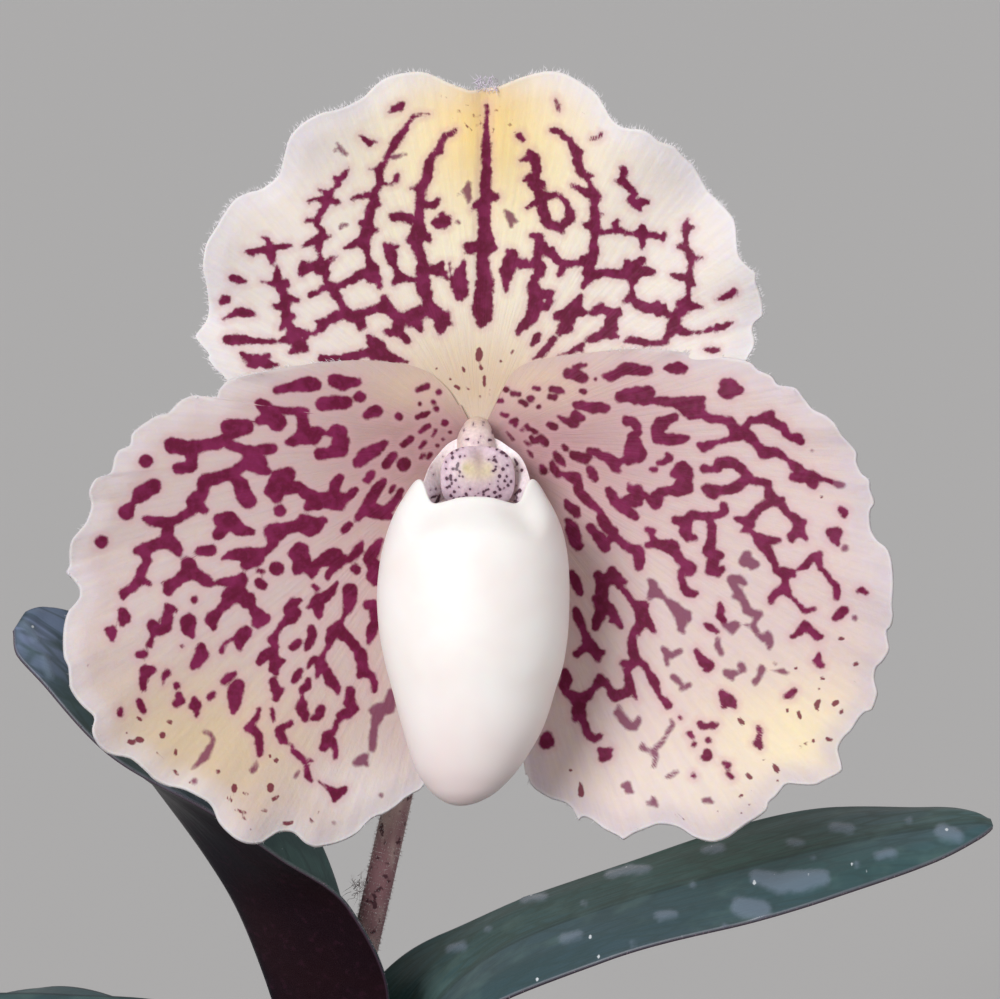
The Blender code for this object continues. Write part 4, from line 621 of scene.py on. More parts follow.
dorsalMarks = {
    "blotches": [
        [(-22.3, 18.1, .2), (-21.7, 18, .32), (-21, 18.2, .28), (-20.2, 18.3, .5), (-19.3, 18.5, .24),
        (-18.5, 18.6, .26), (-18.2, 18.7, .24)], [(-20.8, 19.5, .1), (-20.3, 19.2, .28), (-20.1, 18.6, .42),
        (-19.9, 17.6, .46), (-19.8, 17, .28)], [(-23.7, 15.6, .32), (-23.1, 15.3, .36),
        (-22.5, 15.15, .18)], [(-24.4, 13.4, .46), (-24.7, 13.15, .28)], [(-24.5, 11.6, .15),
        (-24, 11.8, .18), (-23.3, 12.2, .36), (-22.7, 12.2, .46), (-22.1, 12.1, .4), (-21.7, 12, .26)],
        [(-24.1, 9.6, .42), (-23.5, 9.5, .55), (-22.7, 9.6, .42), (-21.8, 9.5, .31), (-20.8, 9.4, .25),
        (-20, 9.4, .2), (-19.5, 9.4, .11)], [(-22.8, 8.3, .13), (-22.2, 7.9, .36), (-21.4, 7.6, .6),
        (-20.6, 7.4, .6), (-20, 7.2, .36), (-19.3, 7.1, .1)], [(-20.9, 7.7, .5), (-20.2, 8, .3)],
        [(-21.5, 7.3, .5), (-22, 7.2, .34)], [(-19.3, 16.5, .2), (-19.4, 15.9, .28), (-19.4, 15.2, .36),
        (-19, 14.8, .55), (-18.9, 14.3, .46), (-18.6, 13.6, .46), (-18.5, 12.9, .46), (-18.4, 12.1, .46),
        (-18.4, 11.3, .5), (-18, 10.6, .52), (-17.8, 9.8, .75), (-17.1, 9.3, .58), (-17.5, 8.8, .5),
        (-18, 8.5, .3)], [(-20.8, 15.2, .1), (-20.2, 15, .18), (-19.5, 15, .3)], [(-18.5, 15, .44)],
        [(-18.3, 13.5, .4), (-17.8, 13.5, .28), (-17.3, 13.3, .15)], [(-18.9, 12.8, .35),
        (-19.4, 12.8, .27), (-19.7, 12.9, .13)], [(-17.9, 11.8, .38)], [(-18.9, 10.8, .34)],
        [(-17.3, 10.4, .42), (-16.6, 10.1, .44)], [(-18.2, 9.6, .4), (-18.7, 9.5, .3), (-19.2, 9.4, .12)],
        [(-16.8, 9, .4), (-16.7, 8.7, .3)], [(-16.3, 10.1, .2), (-15.9, 10.15, .2), (-15.2, 10.6, .42),
        (-15, 11, .44), (-14.4, 11.4, .46), (-13.6, 11.9, .55), (-12.8, 12.2, .52), (-12.2, 11.9, .52),
        (-11.5, 11.6, .55), (-11.2, 11, .42)], [(-15, 11.2, .36), (-15.4, 11.3, .26)], [(-11.6, 12, .5),
        (-11, 12.2, .44), (-10.3, 12.4, .38), (-9.7, 12.6, .42), (-8.9, 12.8, .6), (-8.3, 12.2, .56),
        (-7.6, 11.6, .56), (-7.7, 10.9, .56), (-7.5, 10.2, .46), (-7.1, 9.7, .36), (-6.7, 9.4, .22)],
        [(-13, 12.5, .4), (-13.1, 13, .28), (-13.4, 13.6, .42), (-13.9, 14.1, .46), (-14, 14.6, .48),
        (-13.1, 14.8, .3), (-12.5, 15.2, .31), (-11.8, 15.6, .38), (-11, 15.9, .46), (-10.3, 15.8, .7)],
        [(-14.2, 14.6, .4), (-14.8, 14.6, .36), (-15.5, 14.1, .23), (-16.2, 13.9, .2)], [(-14.6, 14.9, .28),
        (-14.7, 15.3, .2), (-14.7, 16, .3)], [(-16.8, 16.9, .28), (-16.9, 16.4, .46), (-17.1, 15.8, .27)],
        [(-16.5, 16.5, .46), (-16.1, 16.6, .46), (-15.3, 16.7, .6), (-14.7, 16.8, .42), (-14, 17.4, .2),
        (-13.7, 17.6, .17)], [(-15.3, 16.2, .42), (-14.8, 16.3, .4)], [(-15.2, 17, .35), (-15.2, 17.6, .2),
        (-15.3, 18, .22), (-15.4, 18.6, .36), (-15.3, 19.3, .46), (-15, 19.8, .3), (-15.2, 20.3, .22),
        (-15.5, 20.6, .28), (-15.4, 21.2, .28), (-15.3, 21.8, .28)], [(-15.6, 19.1, .38), (-16, 19, .34),
        (-16.5, 18.8, .22), (-16.9, 18.6, .08)], [(-15, 19.4, .36), (-14.6, 19.5, .24), (-14.3, 19.6, .1)],
        [(-15.7, 21.1, .2), (-16.4, 21.1, .2)], [(-10.5, 21.8, .44), (-10.6, 21, .52), (-10.7, 20.2, .55),
        (-10.9, 19.3, .6), (-10.8, 18.5, .44), (-10.6, 17.8, .17), (-10.45, 17, .33), (-10.2, 16.4, .6)],
        [(-11.1, 20.9, .4), (-11.3, 20.9, .3)], [(-11.3, 19, .46), (-11.8, 18.9, .36), (-12.5, 18.6, .22),
        (-12.9, 18.4, .1)], [(-10.2, 20.2, .3), (-9.7, 20.1, .15)], [(-10.1, 15.7, .7), (-9.6, 15.3, .46),
        (-9.5, 14.8, .34)], [(-15.1, 7.8, .31), (-14.4, 7.7, .35), (-13.5, 7.65, .4), (-12.9, 7.8, .42),
        (-12, 8, .4), (-11.2, 8.2, .4), (-10.5, 8.3, .55), (-9.9, 8.3, .7), (-9, 8.1, .52),
        (-8.3, 7.8, .44), (-7.6, 7.65, .3), (-7.1, 7.5, .17), (-6.8, 7.4, .06)], [(-10.5, 10, .26),
        (-10.2, 9.4, .5), (-9.5, 8.9, .6)], [(.55, 22, .58), (.55, 20.5, .6), (.65, 19.6, .75),
        (.75, 19, .85), (.7, 18.5, .82), (.5, 17.8, .58), (.5, 17, .62), (.55, 16, .7), (.6, 15.2, .8),
        (.6, 14.3, .8), (.5, 13.5, .86), (.4, 12.7, 1), (.5, 12, .9), (.4, 11.3, .56), (.3, 11, .28)],
        [(1.1, 18.6, .6), (1.4, 18.5, .5)], [(0, 18.6, .4), (-.6, 18.6, .38), (-1.1, 18.6, .23)],
        [(-.4, 18.3, .35), (-.9, 18.1, .26)], [(1, 15, .38), (1.25, 15, .3)], [(-1.4, 16.9, .3),
        (-1.8, 16.1, .56), (-1.8, 15.2, .8), (-1.7, 14.4, .8), (-1.8, 13.8, .5)], [(-2.8, 17, .07),
        (-2.7, 16.2, .09), (-2.5, 15.3, .14)], [(2.9, 18.1, .33), (3.3, 17.7, .55), (3, 17, .65),
        (2.8, 16.2, .7), (2.7, 15.4, .46), (2.7, 14.6, .28), (2.7, 14.3, .14)], [(3.4, 16.9, .5),
        (3.8, 17, .5), (4.5, 16.9, .56), (4.9, 16.7, .36), (5.4, 16.9, .5)], [(-3.9, 20.8, .56),
        (-3.3, 20.9, .6)], [(-3.5, 21.3, .45), (-3.5, 21.6, .3)], [(-3, 21.1, .4), (-2.7, 21.3, .22)],
        [(-5.6, 22, .46), (-5.7, 21, .52), (-5.7, 20, .65), (-6, 19.2, .8), (-5.9, 18.5, .56),
        (-5.5, 17.6, .46), (-5.4, 16.8, .56), (-5.4, 16, .65), (-5.3, 15.2, .7), (-5.2, 14.4, .65),
        (-4.9, 13.6, .48), (-4.8, 12.9, .58), (-4.2, 12.2, .72), (-3.6, 11.8, .7), (-3.6, 11.2, .65),
        (-3.55, 10.6, .46), (-3.7, 10.3, .28)], [(-6, 21.1, .42), (-6.5, 21.3, .46), (-7.3, 21.5, .46),
        (-8.2, 21.4, .32)], [(-5.4, 19.7, .5), (-5, 19.6, .42), (-4.7, 19.2, .2)], [(-6.3, 19.2, .6),
        (-6.6, 19.2, .36)], [(-5, 16.2, .5), (-4.6, 16.3, .42), (-3.9, 16.2, .5), (-3.5, 16.8, .26)],
        [(-3.6, 16.1, .36), (-3.2, 15.9, .32), (-3, 15.5, .17)], [(-3.2, 11.4, .42), (-2.8, 11.2, .28)],
        [(-2.9, 12.3, .17), (-3, 11.8, .26)], [(-4.8, 12.4, .6), (-5.4, 12.2, .65), (-6.2, 11.9, .7),
        (-7, 11.7, .5)], [(-6.1, 11.4, .56), (-5.8, 11.1, .52), (-5.6, 10.6, .3)], [(-6.5, 11.3, .5),
        (-6.6, 11, .33)], [(-9, 13.2, .4), (-9, 13.6, .32)], [(-7.9, 10.4, .42), (-8.4, 10.2, .36),
        (-9.1, 10.4, .15)], [(-7.9, 16.3, .26), (-7.7, 15.8, .36), (-7.8, 15.4, .4), (-8.1, 15, .28)],
        [(-7.6, 15.6, .38), (-7.2, 15.6, .36), (-6.6, 15.4, .23), (-6, 15.3, .2)], [(-8.9, 18.6, .33),
        (-8.6, 18.3, .5), (-8.4, 17.8, .58), (-8.3, 17.2, .42), (-8.1, 16.8, .22), (-7.9, 16.4, .2)],
        [(-8.3, 18.5, .35), (-7.8, 18.6, .2)], [(6.3, 22, .46), (6.5, 21.2, .52), (6.9, 20.6, .46),
        (7.4, 20.5, .46), (8, 20.5, .4), (8.5, 20.9, .36), (8.9, 21.4, .28), (8.6, 22, .28)],
        [(7.9, 20.3, .35), (8, 20, .24)], [(5.2, 19.6, .28), (5.9, 19.4, .46), (6, 18.7, .52),
        (6.6, 18.2, .46), (7.3, 17.6, .46), (7.8, 17.1, .42), (8.5, 16.9, .38), (9.2, 17, .33),
        (9.9, 16.95, .33), (10.5, 17.1, .5)], [(8.1, 16.8, .4), (8.1, 16.2, .36), (7.8, 15.8, .22)],
        [(7.3, 17.8, .4), (7.1, 18.2, .3)], [(5.9, 18.3, .5), (5.7, 17.6, .42), (5.6, 17, .52),
        (6, 16.6, .54), (5.8, 15.9, .46), (5.4, 15.3, .42), (5.3, 14.6, .56), (5.6, 13.9, .7),
        (5.5, 13, .75), (5.3, 12.2, .65), (5.2, 11.7, .58), (4.7, 11.3, .46), (4.2, 10.8, .4),
        (3.9, 10.35, .32)], [(6, 14, .5), (6.4, 14, .46), (7, 14.1, .33)], [(6.9, 14, .36),
        (6.9, 13.4, .38), (6.6, 12.8, .4), (6, 12.8, .5)], [(5.8, 10, .27), (5.6, 9.6, .38),
        (5.3, 9.2, .22)], [(7.3, 9.7, .26), (7, 9.2, .34), (6.5, 8.7, .38), (6.1, 8.2, .3), (5.6, 7.9, .15),
        (5.3, 7.7, .08)], [(11.2, 22, .46), (11.3, 21.3, .46), (11.3, 20.6, .52), (11.3, 20, .46),
        (11.2, 19.3, .3), (11.1, 18.6, .46), (11.2, 18, .48), (10.9, 17.4, .55), (10.7, 16.7, .56),
        (10.6, 16, .6), (10.6, 15.4, .46), (10.2, 14.9, .27), (10.1, 14.6, .13)], [(11, 20.6, .4),
        (10.6, 20.6, .3), (10.1, 20.7, .1)], [(10.6, 17.3, .5), (10.1, 17.3, .4)], [(11.5, 20, .4),
        (12, 19.95, .28), (12.6, 20, .2), (13.1, 20.1, .3), (13.7, 20.1, .3), (14.3, 19.85, .22),
        (15, 19.8, .28), (15.6, 19.8, .46), (16.3, 19.7, .4), (17, 19.6, .26), (17.7, 19.5, .3)],
        [(13.2, 20.2, .3), (13.2, 20.7, .32), (13.4, 20.95, .18)], [(15.8, 20, .4), (15.8, 20.4, .32)],
        [(15.8, 19.5, .4), (15.8, 19, .34), (15.8, 18.4, .15)], [(17.75, 19.6, .25), (17.9, 19.85, .13)],
        [(17.8, 19.3, .2), (17.8, 19, .1)], [(10.9, 15.9, .55), (11.6, 16, .46), (12.4, 16.1, .42),
        (13, 15.9, .4), (13.8, 15.9, .46), (14.5, 15.9, .65), (15.2, 16, .6), (15.8, 16.2, .52),
        (16.4, 16.2, .36), (16.9, 16.1, .2)], [(14.5, 16.3, .5), (14.4, 16.9, .42)], [(14.9, 16.5, .56),
        (15.3, 16.9, .46), (15.8, 17.2, .36)], [(14.8, 15.7, .52), (14.9, 15.2, .42), (14.8, 14.6, .24),
        (14.85, 14.1, .26), (14.8, 13.7, .36), (15.2, 13.2, .46), (15.9, 12.8, .52), (16.7, 12.6, .55),
        (17.2, 12.7, .5), (17.8, 12.7, .36)], [(14.8, 13.5, .35), (14.3, 13.4, .36)], [(17.3, 12.9, .4),
        (17.3, 13.1, .33)], [(17.2, 12.3, .4), (17.9, 12.2, .3), (18.4, 12, .26), (18.9, 11.9, .4)],
        [(20.2, 21.1, .18), (19.9, 20.6, .36), (20, 20, .36), (20, 19.3, .22), (19.9, 18.6, .25),
        (20.2, 18.1, .28), (20.5, 17.6, .36), (20.5, 17, .26), (20.4, 16.3, .24), (20.3, 15.6, .36),
        (20.4, 15.1, .36), (20.3, 14.5, .22), (20.2, 13.9, .24), (20, 13.3, .46), (20, 12.7, .55),
        (19.3, 12.1, .55), (19, 11.4, .5), (18.8, 10.7, .56), (19.4, 10.5, .46), (20.1, 10.3, .27),
        (20.8, 10.25, .1), (21.6, 10.35, .14), (22.3, 10.6, .27), (23, 10.7, .34), (23.8, 10.9, .25),
        (24.4, 11.2, .15)], [(20.2, 20.4, .3), (20.7, 20.4, .13)], [(19.7, 18.5, .25), (19.2, 18.55, .13)],
        [(20.7, 17.5, .32), (21, 17.4, .3), (21.5, 17.4, .11)], [(20, 15.6, .36), (19.5, 15.6, .31),
        (18.9, 15.7, .17), (18.6, 15.8, .06)], [(20.6, 15, .24), (20.9, 14.8, .15)], [(19.8, 13.1, .46),
        (19.4, 13, .4)], [(20.3, 12.8, .46), (20.9, 12.8, .3), (21.5, 12.7, .13)], [(18.7, 10.3, .44),
        (18.1, 9.9, .25), (18, 9.4, .3), (17.2, 9.25, .26), (16.3, 9.2, .26), (15.5, 9.4, .32),
        (14.8, 9.6, .36), (14.2, 9.45, .22)], [(10.8, 12.1, .12), (11.4, 12.3, .4), (12, 12.5, .42),
        (12.7, 12.2, .46), (13.3, 12.2, .5)], [(11.5, 12.6, .38), (11.9, 12.8, .34)], [(13.1, 12, .5),
        (12.8, 11.5, .65), (12.8, 10.7, .65), (12.2, 10.3, .56), (11.5, 9.9, .46), (10.8, 9.6, .32),
        (10.5, 9.5, .13)], [(12.7, 10.3, .5), (13, 10, .42), (13.5, 9.8, .17)], [(9.8, 13.7, .27),
        (9.5, 13, .55), (9, 12.3, .7), (8.6, 11.4, .65), (8.3, 10.8, .56), (7.9, 10.3, .33)],
        [(8.7, 12, .6), (8.2, 12, .52), (7.4, 11.8, .28)], [(9.5, 12.4, .55), (9.9, 12.3, .44),
        (10.4, 12.15, .22)], [(8.5, 10.8, .5), (8.9, 10.7, .36)], [(9.9, 9, .26), (9.6, 8.8, .33),
        (10, 8.55, .16)], [(9.4, 8.7, .28), (8.8, 8.4, .17), (8, 8.15, .05), (7.5, 8.05, .03)],
        [(21.6, 8.65, .05), (22.3, 8.65, .2), (22.8, 8.6, .26), (23.1, 8.65, .15)], [(23, 13.4, .1),
        (23.5, 13.6, .26), (24.1, 13.9, .36), (24.6, 14.2, .3)], [(24.5, 14.3, .2), (24.7, 14.6, .1)],
        [(24.6, 14, .2), (25, 13.9, .1)], [(-8.6, 31.5, .1), (-8.1, 31.8, .33), (-7.6, 32, .4),
        (-7.4, 32.2, .28)], [(-4.7, 31.35, .07), (-5.6, 31.2, .11), (-6.2, 31.05, .18), (-6.6, 30.6, .19),
        (-7.1, 29.8, .3), (-7.7, 29, .38), (-8.2, 28.3, .31), (-8.6, 27.5, .28), (-8.8, 27, .28),
        (-9.2, 26.4, .28), (-9.6, 25.9, .36), (-9.5, 25.2, .34), (-9.5, 24.6, .31), (-9.8, 24, .33),
        (-10.1, 23.5, .46), (-10, 22.8, .46), (-10.4, 22.2, .42), (-10.5, 21.6, .4)], [(-9.8, 25.95, .2),
        (-10.2, 26, .11), (-10.5, 25.95, .05)], [(-10.5, 23.5, .33), (-10.9, 23.5, .27), (-11.6, 23.35, .2),
        (-12.2, 23.1, .12)], [(-9.8, 22.7, .36), (-9.5, 22.6, .26)], [(-9.3, 24.7, .2), (-8.9, 24.65, .13),
        (-8.3, 24.6, .15), (-7.9, 24.9, .28), (-7.8, 25.45, .2)], [(-2.2, 29.75, .15), (-2.6, 29.45, .26),
        (-3.2, 29.25, .28), (-3.55, 28.6, .28), (-3.8, 28, .3), (-4.3, 27.4, .34), (-4.75, 26.6, .46),
        (-4.8, 25.9, .48), (-5, 25, .48), (-5.4, 24.3, .48), (-5.5, 23.5, .44), (-5.7, 22.7, .42),
        (-5.7, 22, .46)], [(-3.9, 27.8, .3), (-3.6, 27.7, .25)], [(-5.8, 24.2, .3), (-6.4, 24.1, .12)],
        [(-5.3, 22.6, .38), (-4.3, 22.6, .33), (-3.9, 23, .23)], [(-12.55, 26.05, .15), (-12.8, 25.5, .26),
        (-13.3, 25, .34), (-13.6, 24.5, .26), (-13.9, 24.1, .18), (-14.3, 23.7, .36), (-14.5, 23.1, .46),
        (-14.7, 22.4, .38), (-15.1, 21.9, .3), (-15.4, 21.3, .28)], [(-13.4, 25.05, .3),
        (-13.75, 25.15, .28)], [(-14.5, 23.7, .3), (-15.1, 23.95, .18), (-15.4, 24.05, .07)],
        [(-14.8, 23.1, .3), (-15.6, 23.1, .11), (-16.2, 23, .13), (-16.4, 22.85, .07)], [(-14.1, 22.9, .36),
        (-13.7, 22.85, .28), (-13.3, 22.75, .1)], [(-11.3, 29.2, .11), (-10.9, 28.85, .23),
        (-10.4, 28.55, .27), (-9.9, 28.65, .15), (-9.6, 28.65, .07)], [(.8, 32.1, .13), (.85, 31.4, .22),
        (.84, 30.7, .23), (.8, 29.85, .26), (.78, 28.9, .37), (.78, 27.9, .4), (.84, 27.1, .45),
        (.84, 26.4, .47), (.78, 25.6, .47), (.72, 24.8, .48), (.66, 24.1, .52), (.9, 23.3, .58),
        (.66, 22.8, .65), (.7, 22, .6)], [(1.2, 23.3, .5), (1.6, 23.3, .35), (1.87, 23.35, .2)],
        [(.3, 22.7, .5), (-.2, 22.6, .28), (-.66, 22.1, .1)], [(5, 27.5, .38), (5.35, 27.1, .46),
        (5.5, 26.5, .46), (5.7, 26, .38), (5.5, 25.4, .46), (5.35, 24.7, .5), (5.8, 24, .42),
        (6.1, 23.4, .46), (6.2, 22.6, .42), (6.2, 22, .46)], [(4.9, 27.1, .33), (4.5, 27, .23),
        (4.15, 26.8, .1)], [(5.2, 25.2, .38), (4.75, 25.15, .32), (4.4, 25, .14)], [(5.8, 24.6, .42),
        (6.2, 24.55, .32)], [(5.9, 23, .36), (5.7, 22.85, .33), (5.1, 22.5, .22), (4.6, 22.25, .1)],
        [(6.4, 23.4, .38), (6.9, 23.45, .33), (7.75, 23.5, .26), (8.25, 23, .26), (8.7, 22.4, .26),
        (9.1, 21.8, .26), (9, 21.2, .3), (8.3, 20.8, .33)], [(7, 29.75, .18), (7.6, 29.7, .26),
        (8.1, 29.25, .24), (8.8, 28.8, .34), (9.1, 28.2, .34), (9.4, 27.6, .45), (9.6, 26.8, .46),
        (9.75, 26.1, .42), (10.1, 25.6, .4), (10.5, 25.3, .33), (10.7, 24.8, .22), (10.9, 24.3, .28),
        (11.2, 23.6, .46), (11.2, 22.8, .42), (11.2, 22.1, .4)], [(9.7, 27.5, .36), (9.8, 27.6, .33)],
        [(10.6, 25.35, .22), (11.1, 25.3, .1)], [(9.1, 24.45, .28), (9.7, 24.15, .26), (10.3, 23.85, .31),
        (10.9, 23.5, .42)], [(11.3, 23.4, .42), (11.6, 23.3, .36)], [(11.5, 21.8, .25), (11.95, 21.7, .18)],
        [(3.9, 29.2, .26), (4.3, 28.9, .25)], [(4.1, 29.4, .18)], [(7.45, 32.7, .15), (7.65, 32.3, .12),
        (7.85, 31.7, .18)], [(10.75, 28.95, .11), (11.3, 28.97, .15), (11.8, 29.3, .19)],
        [(13.9, 26.1, .28), (14.2, 25.8, .28), (13.9, 25.3, .28), (13.9, 24.9, .42), (14.25, 24.5, .3),
        (14.8, 24, .36), (15, 23.5, .36), (14.8, 23, .44), (15.2, 22.7, .46), (15.8, 22.85, .36),
        (16.3, 22.85, .18)], [(13.6, 24.9, .25), (13.3, 24.9, .13)], [(15.3, 22.6, .42), (15.6, 22.1, .26)],
    ],
    "pale": [
        [(2.7, 21.9, .28), (3.2, 21.4, .36), (3.7, 21, .22)], [(3.1, 21, .27), (3.3, 20.4, .13)],
        [(-1.9, 20.9, .26)], [(-13.3, 20.3, .17), (-13, 20.6, .18), (-12.6, 20.7, .11)], [(-8.4, 27.2, .28),
        (-7.8, 27.2, .26), (-7.4, 27.4, .18), (-7, 27.4, .1)], [(-13.6, 28.5, .18), (-13.3, 28.1, .28),
        (-13, 27.6, .28), (-12.7, 27.4, .18)], [(-13.8, 27.8, .13)], [(-.96, 24.5, .33), (-1.1, 23.9, .4),
        (-.9, 23.3, .33), (-.9, 22.9, .23)], [(-1.4, 23.8, .2), (-1.87, 23.6, .09)],
    ],
    "flecks": [
        [(.1, 8.6, .23), (.1, 8.1, .36), (0, 7.7, .23)], [(.2, 7.1, .14), (.3, 6.8, .2)], [(.6, 6, .12),
        (.6, 5.5, .19), (.6, 5.1, .09)], [(3.35, 8.5, .14), (3.2, 8.3, .16)], [(2.15, 7.5, .13)],
        [(-1.5, 7, .09), (-1.35, 6.6, .12)], [(-2.7, 5.85, .11)], [(-2.2, 5.1, .11), (-1.9, 4.95, .14)],
        [(-1.1, 5, .07), (-.9, 4.8, .11)], [(1.1, 4.7, .12)], [(1.1, 4.15, .09)], [(-4, 6.8, .1)],
        [(.2, 4.1, .09)], [(2.9, 30.4, .11), (3.1, 30.25, .11)], [(3.5, 29.6, .1)], [(10.15, 31.4, .09)],
    ],
}

# Margins of the sepals and petals, as seen in the picture: the top sepal from right to left,
# each petal from its top edge round to its foot
dorsalMargin = [
    (6, 1), (15, 3), (23.5, 5.2), (25.8, 7.6), (26, 8), (26.5, 8.8), (26.6, 9.6), (26.4, 10.4),
    (26.5, 11.1), (26.8, 11.5), (27.3, 11.6), (27.4, 12.3), (27.3, 13.3), (27, 14.4), (26.7, 15.2),
    (26.7, 16), (26.2, 16.4), (25.3, 17.3), (25, 18), (24.9, 19), (24.8, 20.3), (24.6, 21.2),
    (24, 22), (23, 23.1), (22.4, 23.6), (22, 24.1), (21.5, 25), (21, 25.9), (20.6, 26.5), (20, 27),
    (19.4, 27.6), (19, 28.1), (18, 28.5), (17.4, 28.7), (16.7, 29.3), (16, 29.7), (15.5, 29.85),
    (14.6, 29.9), (13.9, 30.05), (13.3, 30.4), (12.8, 30.9), (12.4, 31.6), (12, 32.3), (11.6, 33),
    (11, 33.6), (10, 34.3), (9, 34.9), (8, 35.3), (7, 35.45), (6, 35.35), (5, 35.1), (4, 34.8),
    (3, 34.4), (2, 34), (.7, 33.8), (-.5, 33.6), (-1, 33.65), (-2, 34), (-3, 34.4), (-4, 34.9),
    (-5, 35.3), (-6, 35.4), (-7, 35.3), (-8, 35.1), (-9, 34.75), (-9.9, 34.1), (-10.4, 33.6),
    (-11, 33), (-12, 32.4), (-13, 31.95), (-14, 31.65), (-15, 31.45), (-16, 31), (-16.8, 30.5),
    (-17.4, 30), (-18, 29.3), (-18.3, 28.7), (-18.5, 28), (-18.8, 26.8), (-19, 25.9), (-19.3, 25.3),
    (-20, 24.7), (-21, 24.05), (-22, 23.8), (-23.3, 23.2), (-24.2, 22.1), (-25.3, 20.3), (-26.1, 19),
    (-26.4, 17.8), (-26.5, 16.5), (-26.2, 15), (-25.95, 13), (-26, 12), (-26.3, 11.2), (-27.2, 10),
    (-26.8, 9.3), (-25.9, 8.2), (-26, 7.8), (-25.3, 6.8), (-24.6, 6.2), (-23.9, 5.5), (-21, 4.3),
    (-14, 3), (-6, 1)]
leftPetalMargin = [
    (-1.9, 3.3), (-3, 4.9), (-4.9, 6.5), (-7.6, 7.3), (-12.3, 7.6), (-18, 7), (-23.4, 5.9),
    (-24.8, 5), (-25.2, 4.1), (-26, 4),
    (-27.3, 4.25), (-28.7, 3.7), (-30, 2.5), (-31, 2.3), (-32, 1.7), (-33.3, .6), (-33.6, -.6),
    (-34.6, -1), (-35, -1.6), (-35.2, -2.5), (-35.5, -3.3), (-36.7, -3.7), (-37.2, -4.3),
    (-37.5, -5.2), (-37.3, -6.5), (-37.8, -8), (-38.6, -9), (-39.2, -9.8), (-39.4, -11),
    (-39.4, -12.2), (-39.7, -12.8), (-39, -13.6), (-38.5, -14.3), (-38.4, -15.1), (-38.8, -15.8),
    (-39.5, -16.6), (-39.9, -18), (-40, -19.5), (-39.9, -21), (-39.5, -21.9), (-39.4, -23),
    (-39.3, -24), (-38.7, -25), (-38, -25.8), (-37, -26.8), (-37.2, -28), (-36.9, -29),
    (-36.2, -29.9), (-35.3, -30.4), (-33.7, -30.7), (-32.9, -31.2), (-32, -32), (-31.2, -32.8),
    (-30, -33.4), (-28.5, -33.7), (-27, -34.4), (-26, -35), (-25.5, -35.7), (-25, -36.9), (-24, -38),
    (-23, -38.7), (-22, -39), (-20.9, -38.9), (-20.3, -38.5), (-19.3, -37.9), (-18.2, -37.8),
    (-17.5, -38.1), (-16.8, -38.8), (-15.8, -39.3), (-14.9, -39.2), (-13.6, -38.9), (-12.4, -38.4),
    (-11.5, -37.8), (-10.8, -37), (-10, -36.4), (-9.1, -36.1), (-8, -35.4), (-7.2, -34.7),
    (-6.4, -34.2), (-5.3, -33.4), (-4.6, -31), (-3.9, -29)]
rightPetalMargin = [
    (1.7, 3.5), (2.4, 5.1), (4, 7), (6.6, 7.8), (9.5, 8.2), (15.6, 8.7), (23, 8), (26, 7.5),
    (27, 6.7), (28.3, 6.1),
    (29, 5.2), (30.5, 5), (31.3, 4.1), (32.3, 2.9), (33.5, 2.3), (34.4, 1.5), (35, .5), (35.9, -.5),
    (36.5, -1.3), (36.5, -2.2), (37, -3.3), (37.7, -3.9), (37.8, -4.8), (38.2, -6.1), (37.8, -6.9),
    (37.8, -8.2), (38, -9), (38.6, -9.9), (39.4, -10.5), (39.8, -11.5), (40, -13), (40, -14.5),
    (39.9, -16), (40, -17), (39.8, -18), (39.4, -18.5), (39.5, -19.4), (39.6, -20.3), (39, -21.4),
    (38.4, -22), (38.2, -23), (38.4, -24), (38.5, -24.5), (38, -26), (37.3, -26.3), (36.7, -26.9),
    (36, -28), (35.3, -28.7), (34.9, -29.3), (34.7, -30), (35, -31.2), (35, -32), (33.5, -32.8),
    (32.5, -33.3), (31, -33.3), (30, -33.2), (29.5, -33.4), (28.7, -34.4), (28, -35), (27.8, -35.7),
    (27, -36.4), (26, -37), (25, -37.7), (24, -38.4), (22.7, -38.8), (21.5, -38.6), (20.5, -38.2),
    (20, -37.8), (19, -37.3), (17.5, -37.1), (16.5, -37.4), (15, -38), (14, -38.6), (13.6, -38.3),
    (12.2, -37.6), (11, -36.7), (10.3, -36.4), (9.9, -36.5), (9.6, -36.8), (9.4, -36), (8.5, -35.1),
    (7, -34.6), (5.5, -33.7), (4.9, -32.8), (4.6, -31), (4, -27)]
synsepalMargin = [
    (-3, -1), (-7, -8), (-9.2, -15), (-8.6, -21), (-5.5, -26), (-.5, -28), (4.8, -26), (8, -21),
    (8.8, -15), (6.8, -8), (3, -1)]


def markDistance(strokes, across, up):
    # mm from each place to the nearest stroke, below zero inside it
    far = 3.0
    soft = 0.2                              # mm over which strokes that meet run together
    room = 2                                # mm round a stroke where it counts
    nearest = np.full(across.shape, far)
    for stroke in strokes:
        ends = np.array(stroke if len(stroke) > 1 else stroke * 2)
        low = ends[:, :2].min(axis=0) - room
        high = ends[:, :2].max(axis=0) + room
        close = (across > low[0]) & (across < high[0]) & (up > low[1]) & (up < high[1])
        if not close.any():
            continue
        x = across[close]
        y = up[close]
        best = np.full(x.shape, far)
        for (startX, startY, startWidth), (endX, endY, endWidth) in zip(ends[:-1], ends[1:]):
            stepX = endX - startX
            stepY = endY - startY
            along = ((x - startX) * stepX + (y - startY) * stepY) / max(stepX ** 2 + stepY ** 2, 1e-6)
            along = np.clip(along, 0, 1)
            width = startWidth + (endWidth - startWidth) * along
            gap = np.hypot(x - startX - along * stepX, y - startY - along * stepY) - width
            best = np.minimum(best, gap)
        before = nearest[close]
        share = np.clip(0.5 + 0.5 * (before - best) / soft, 0, 1)
        nearest[close] = before + (best - before) * share - soft * share * (1 - share)
    return nearest


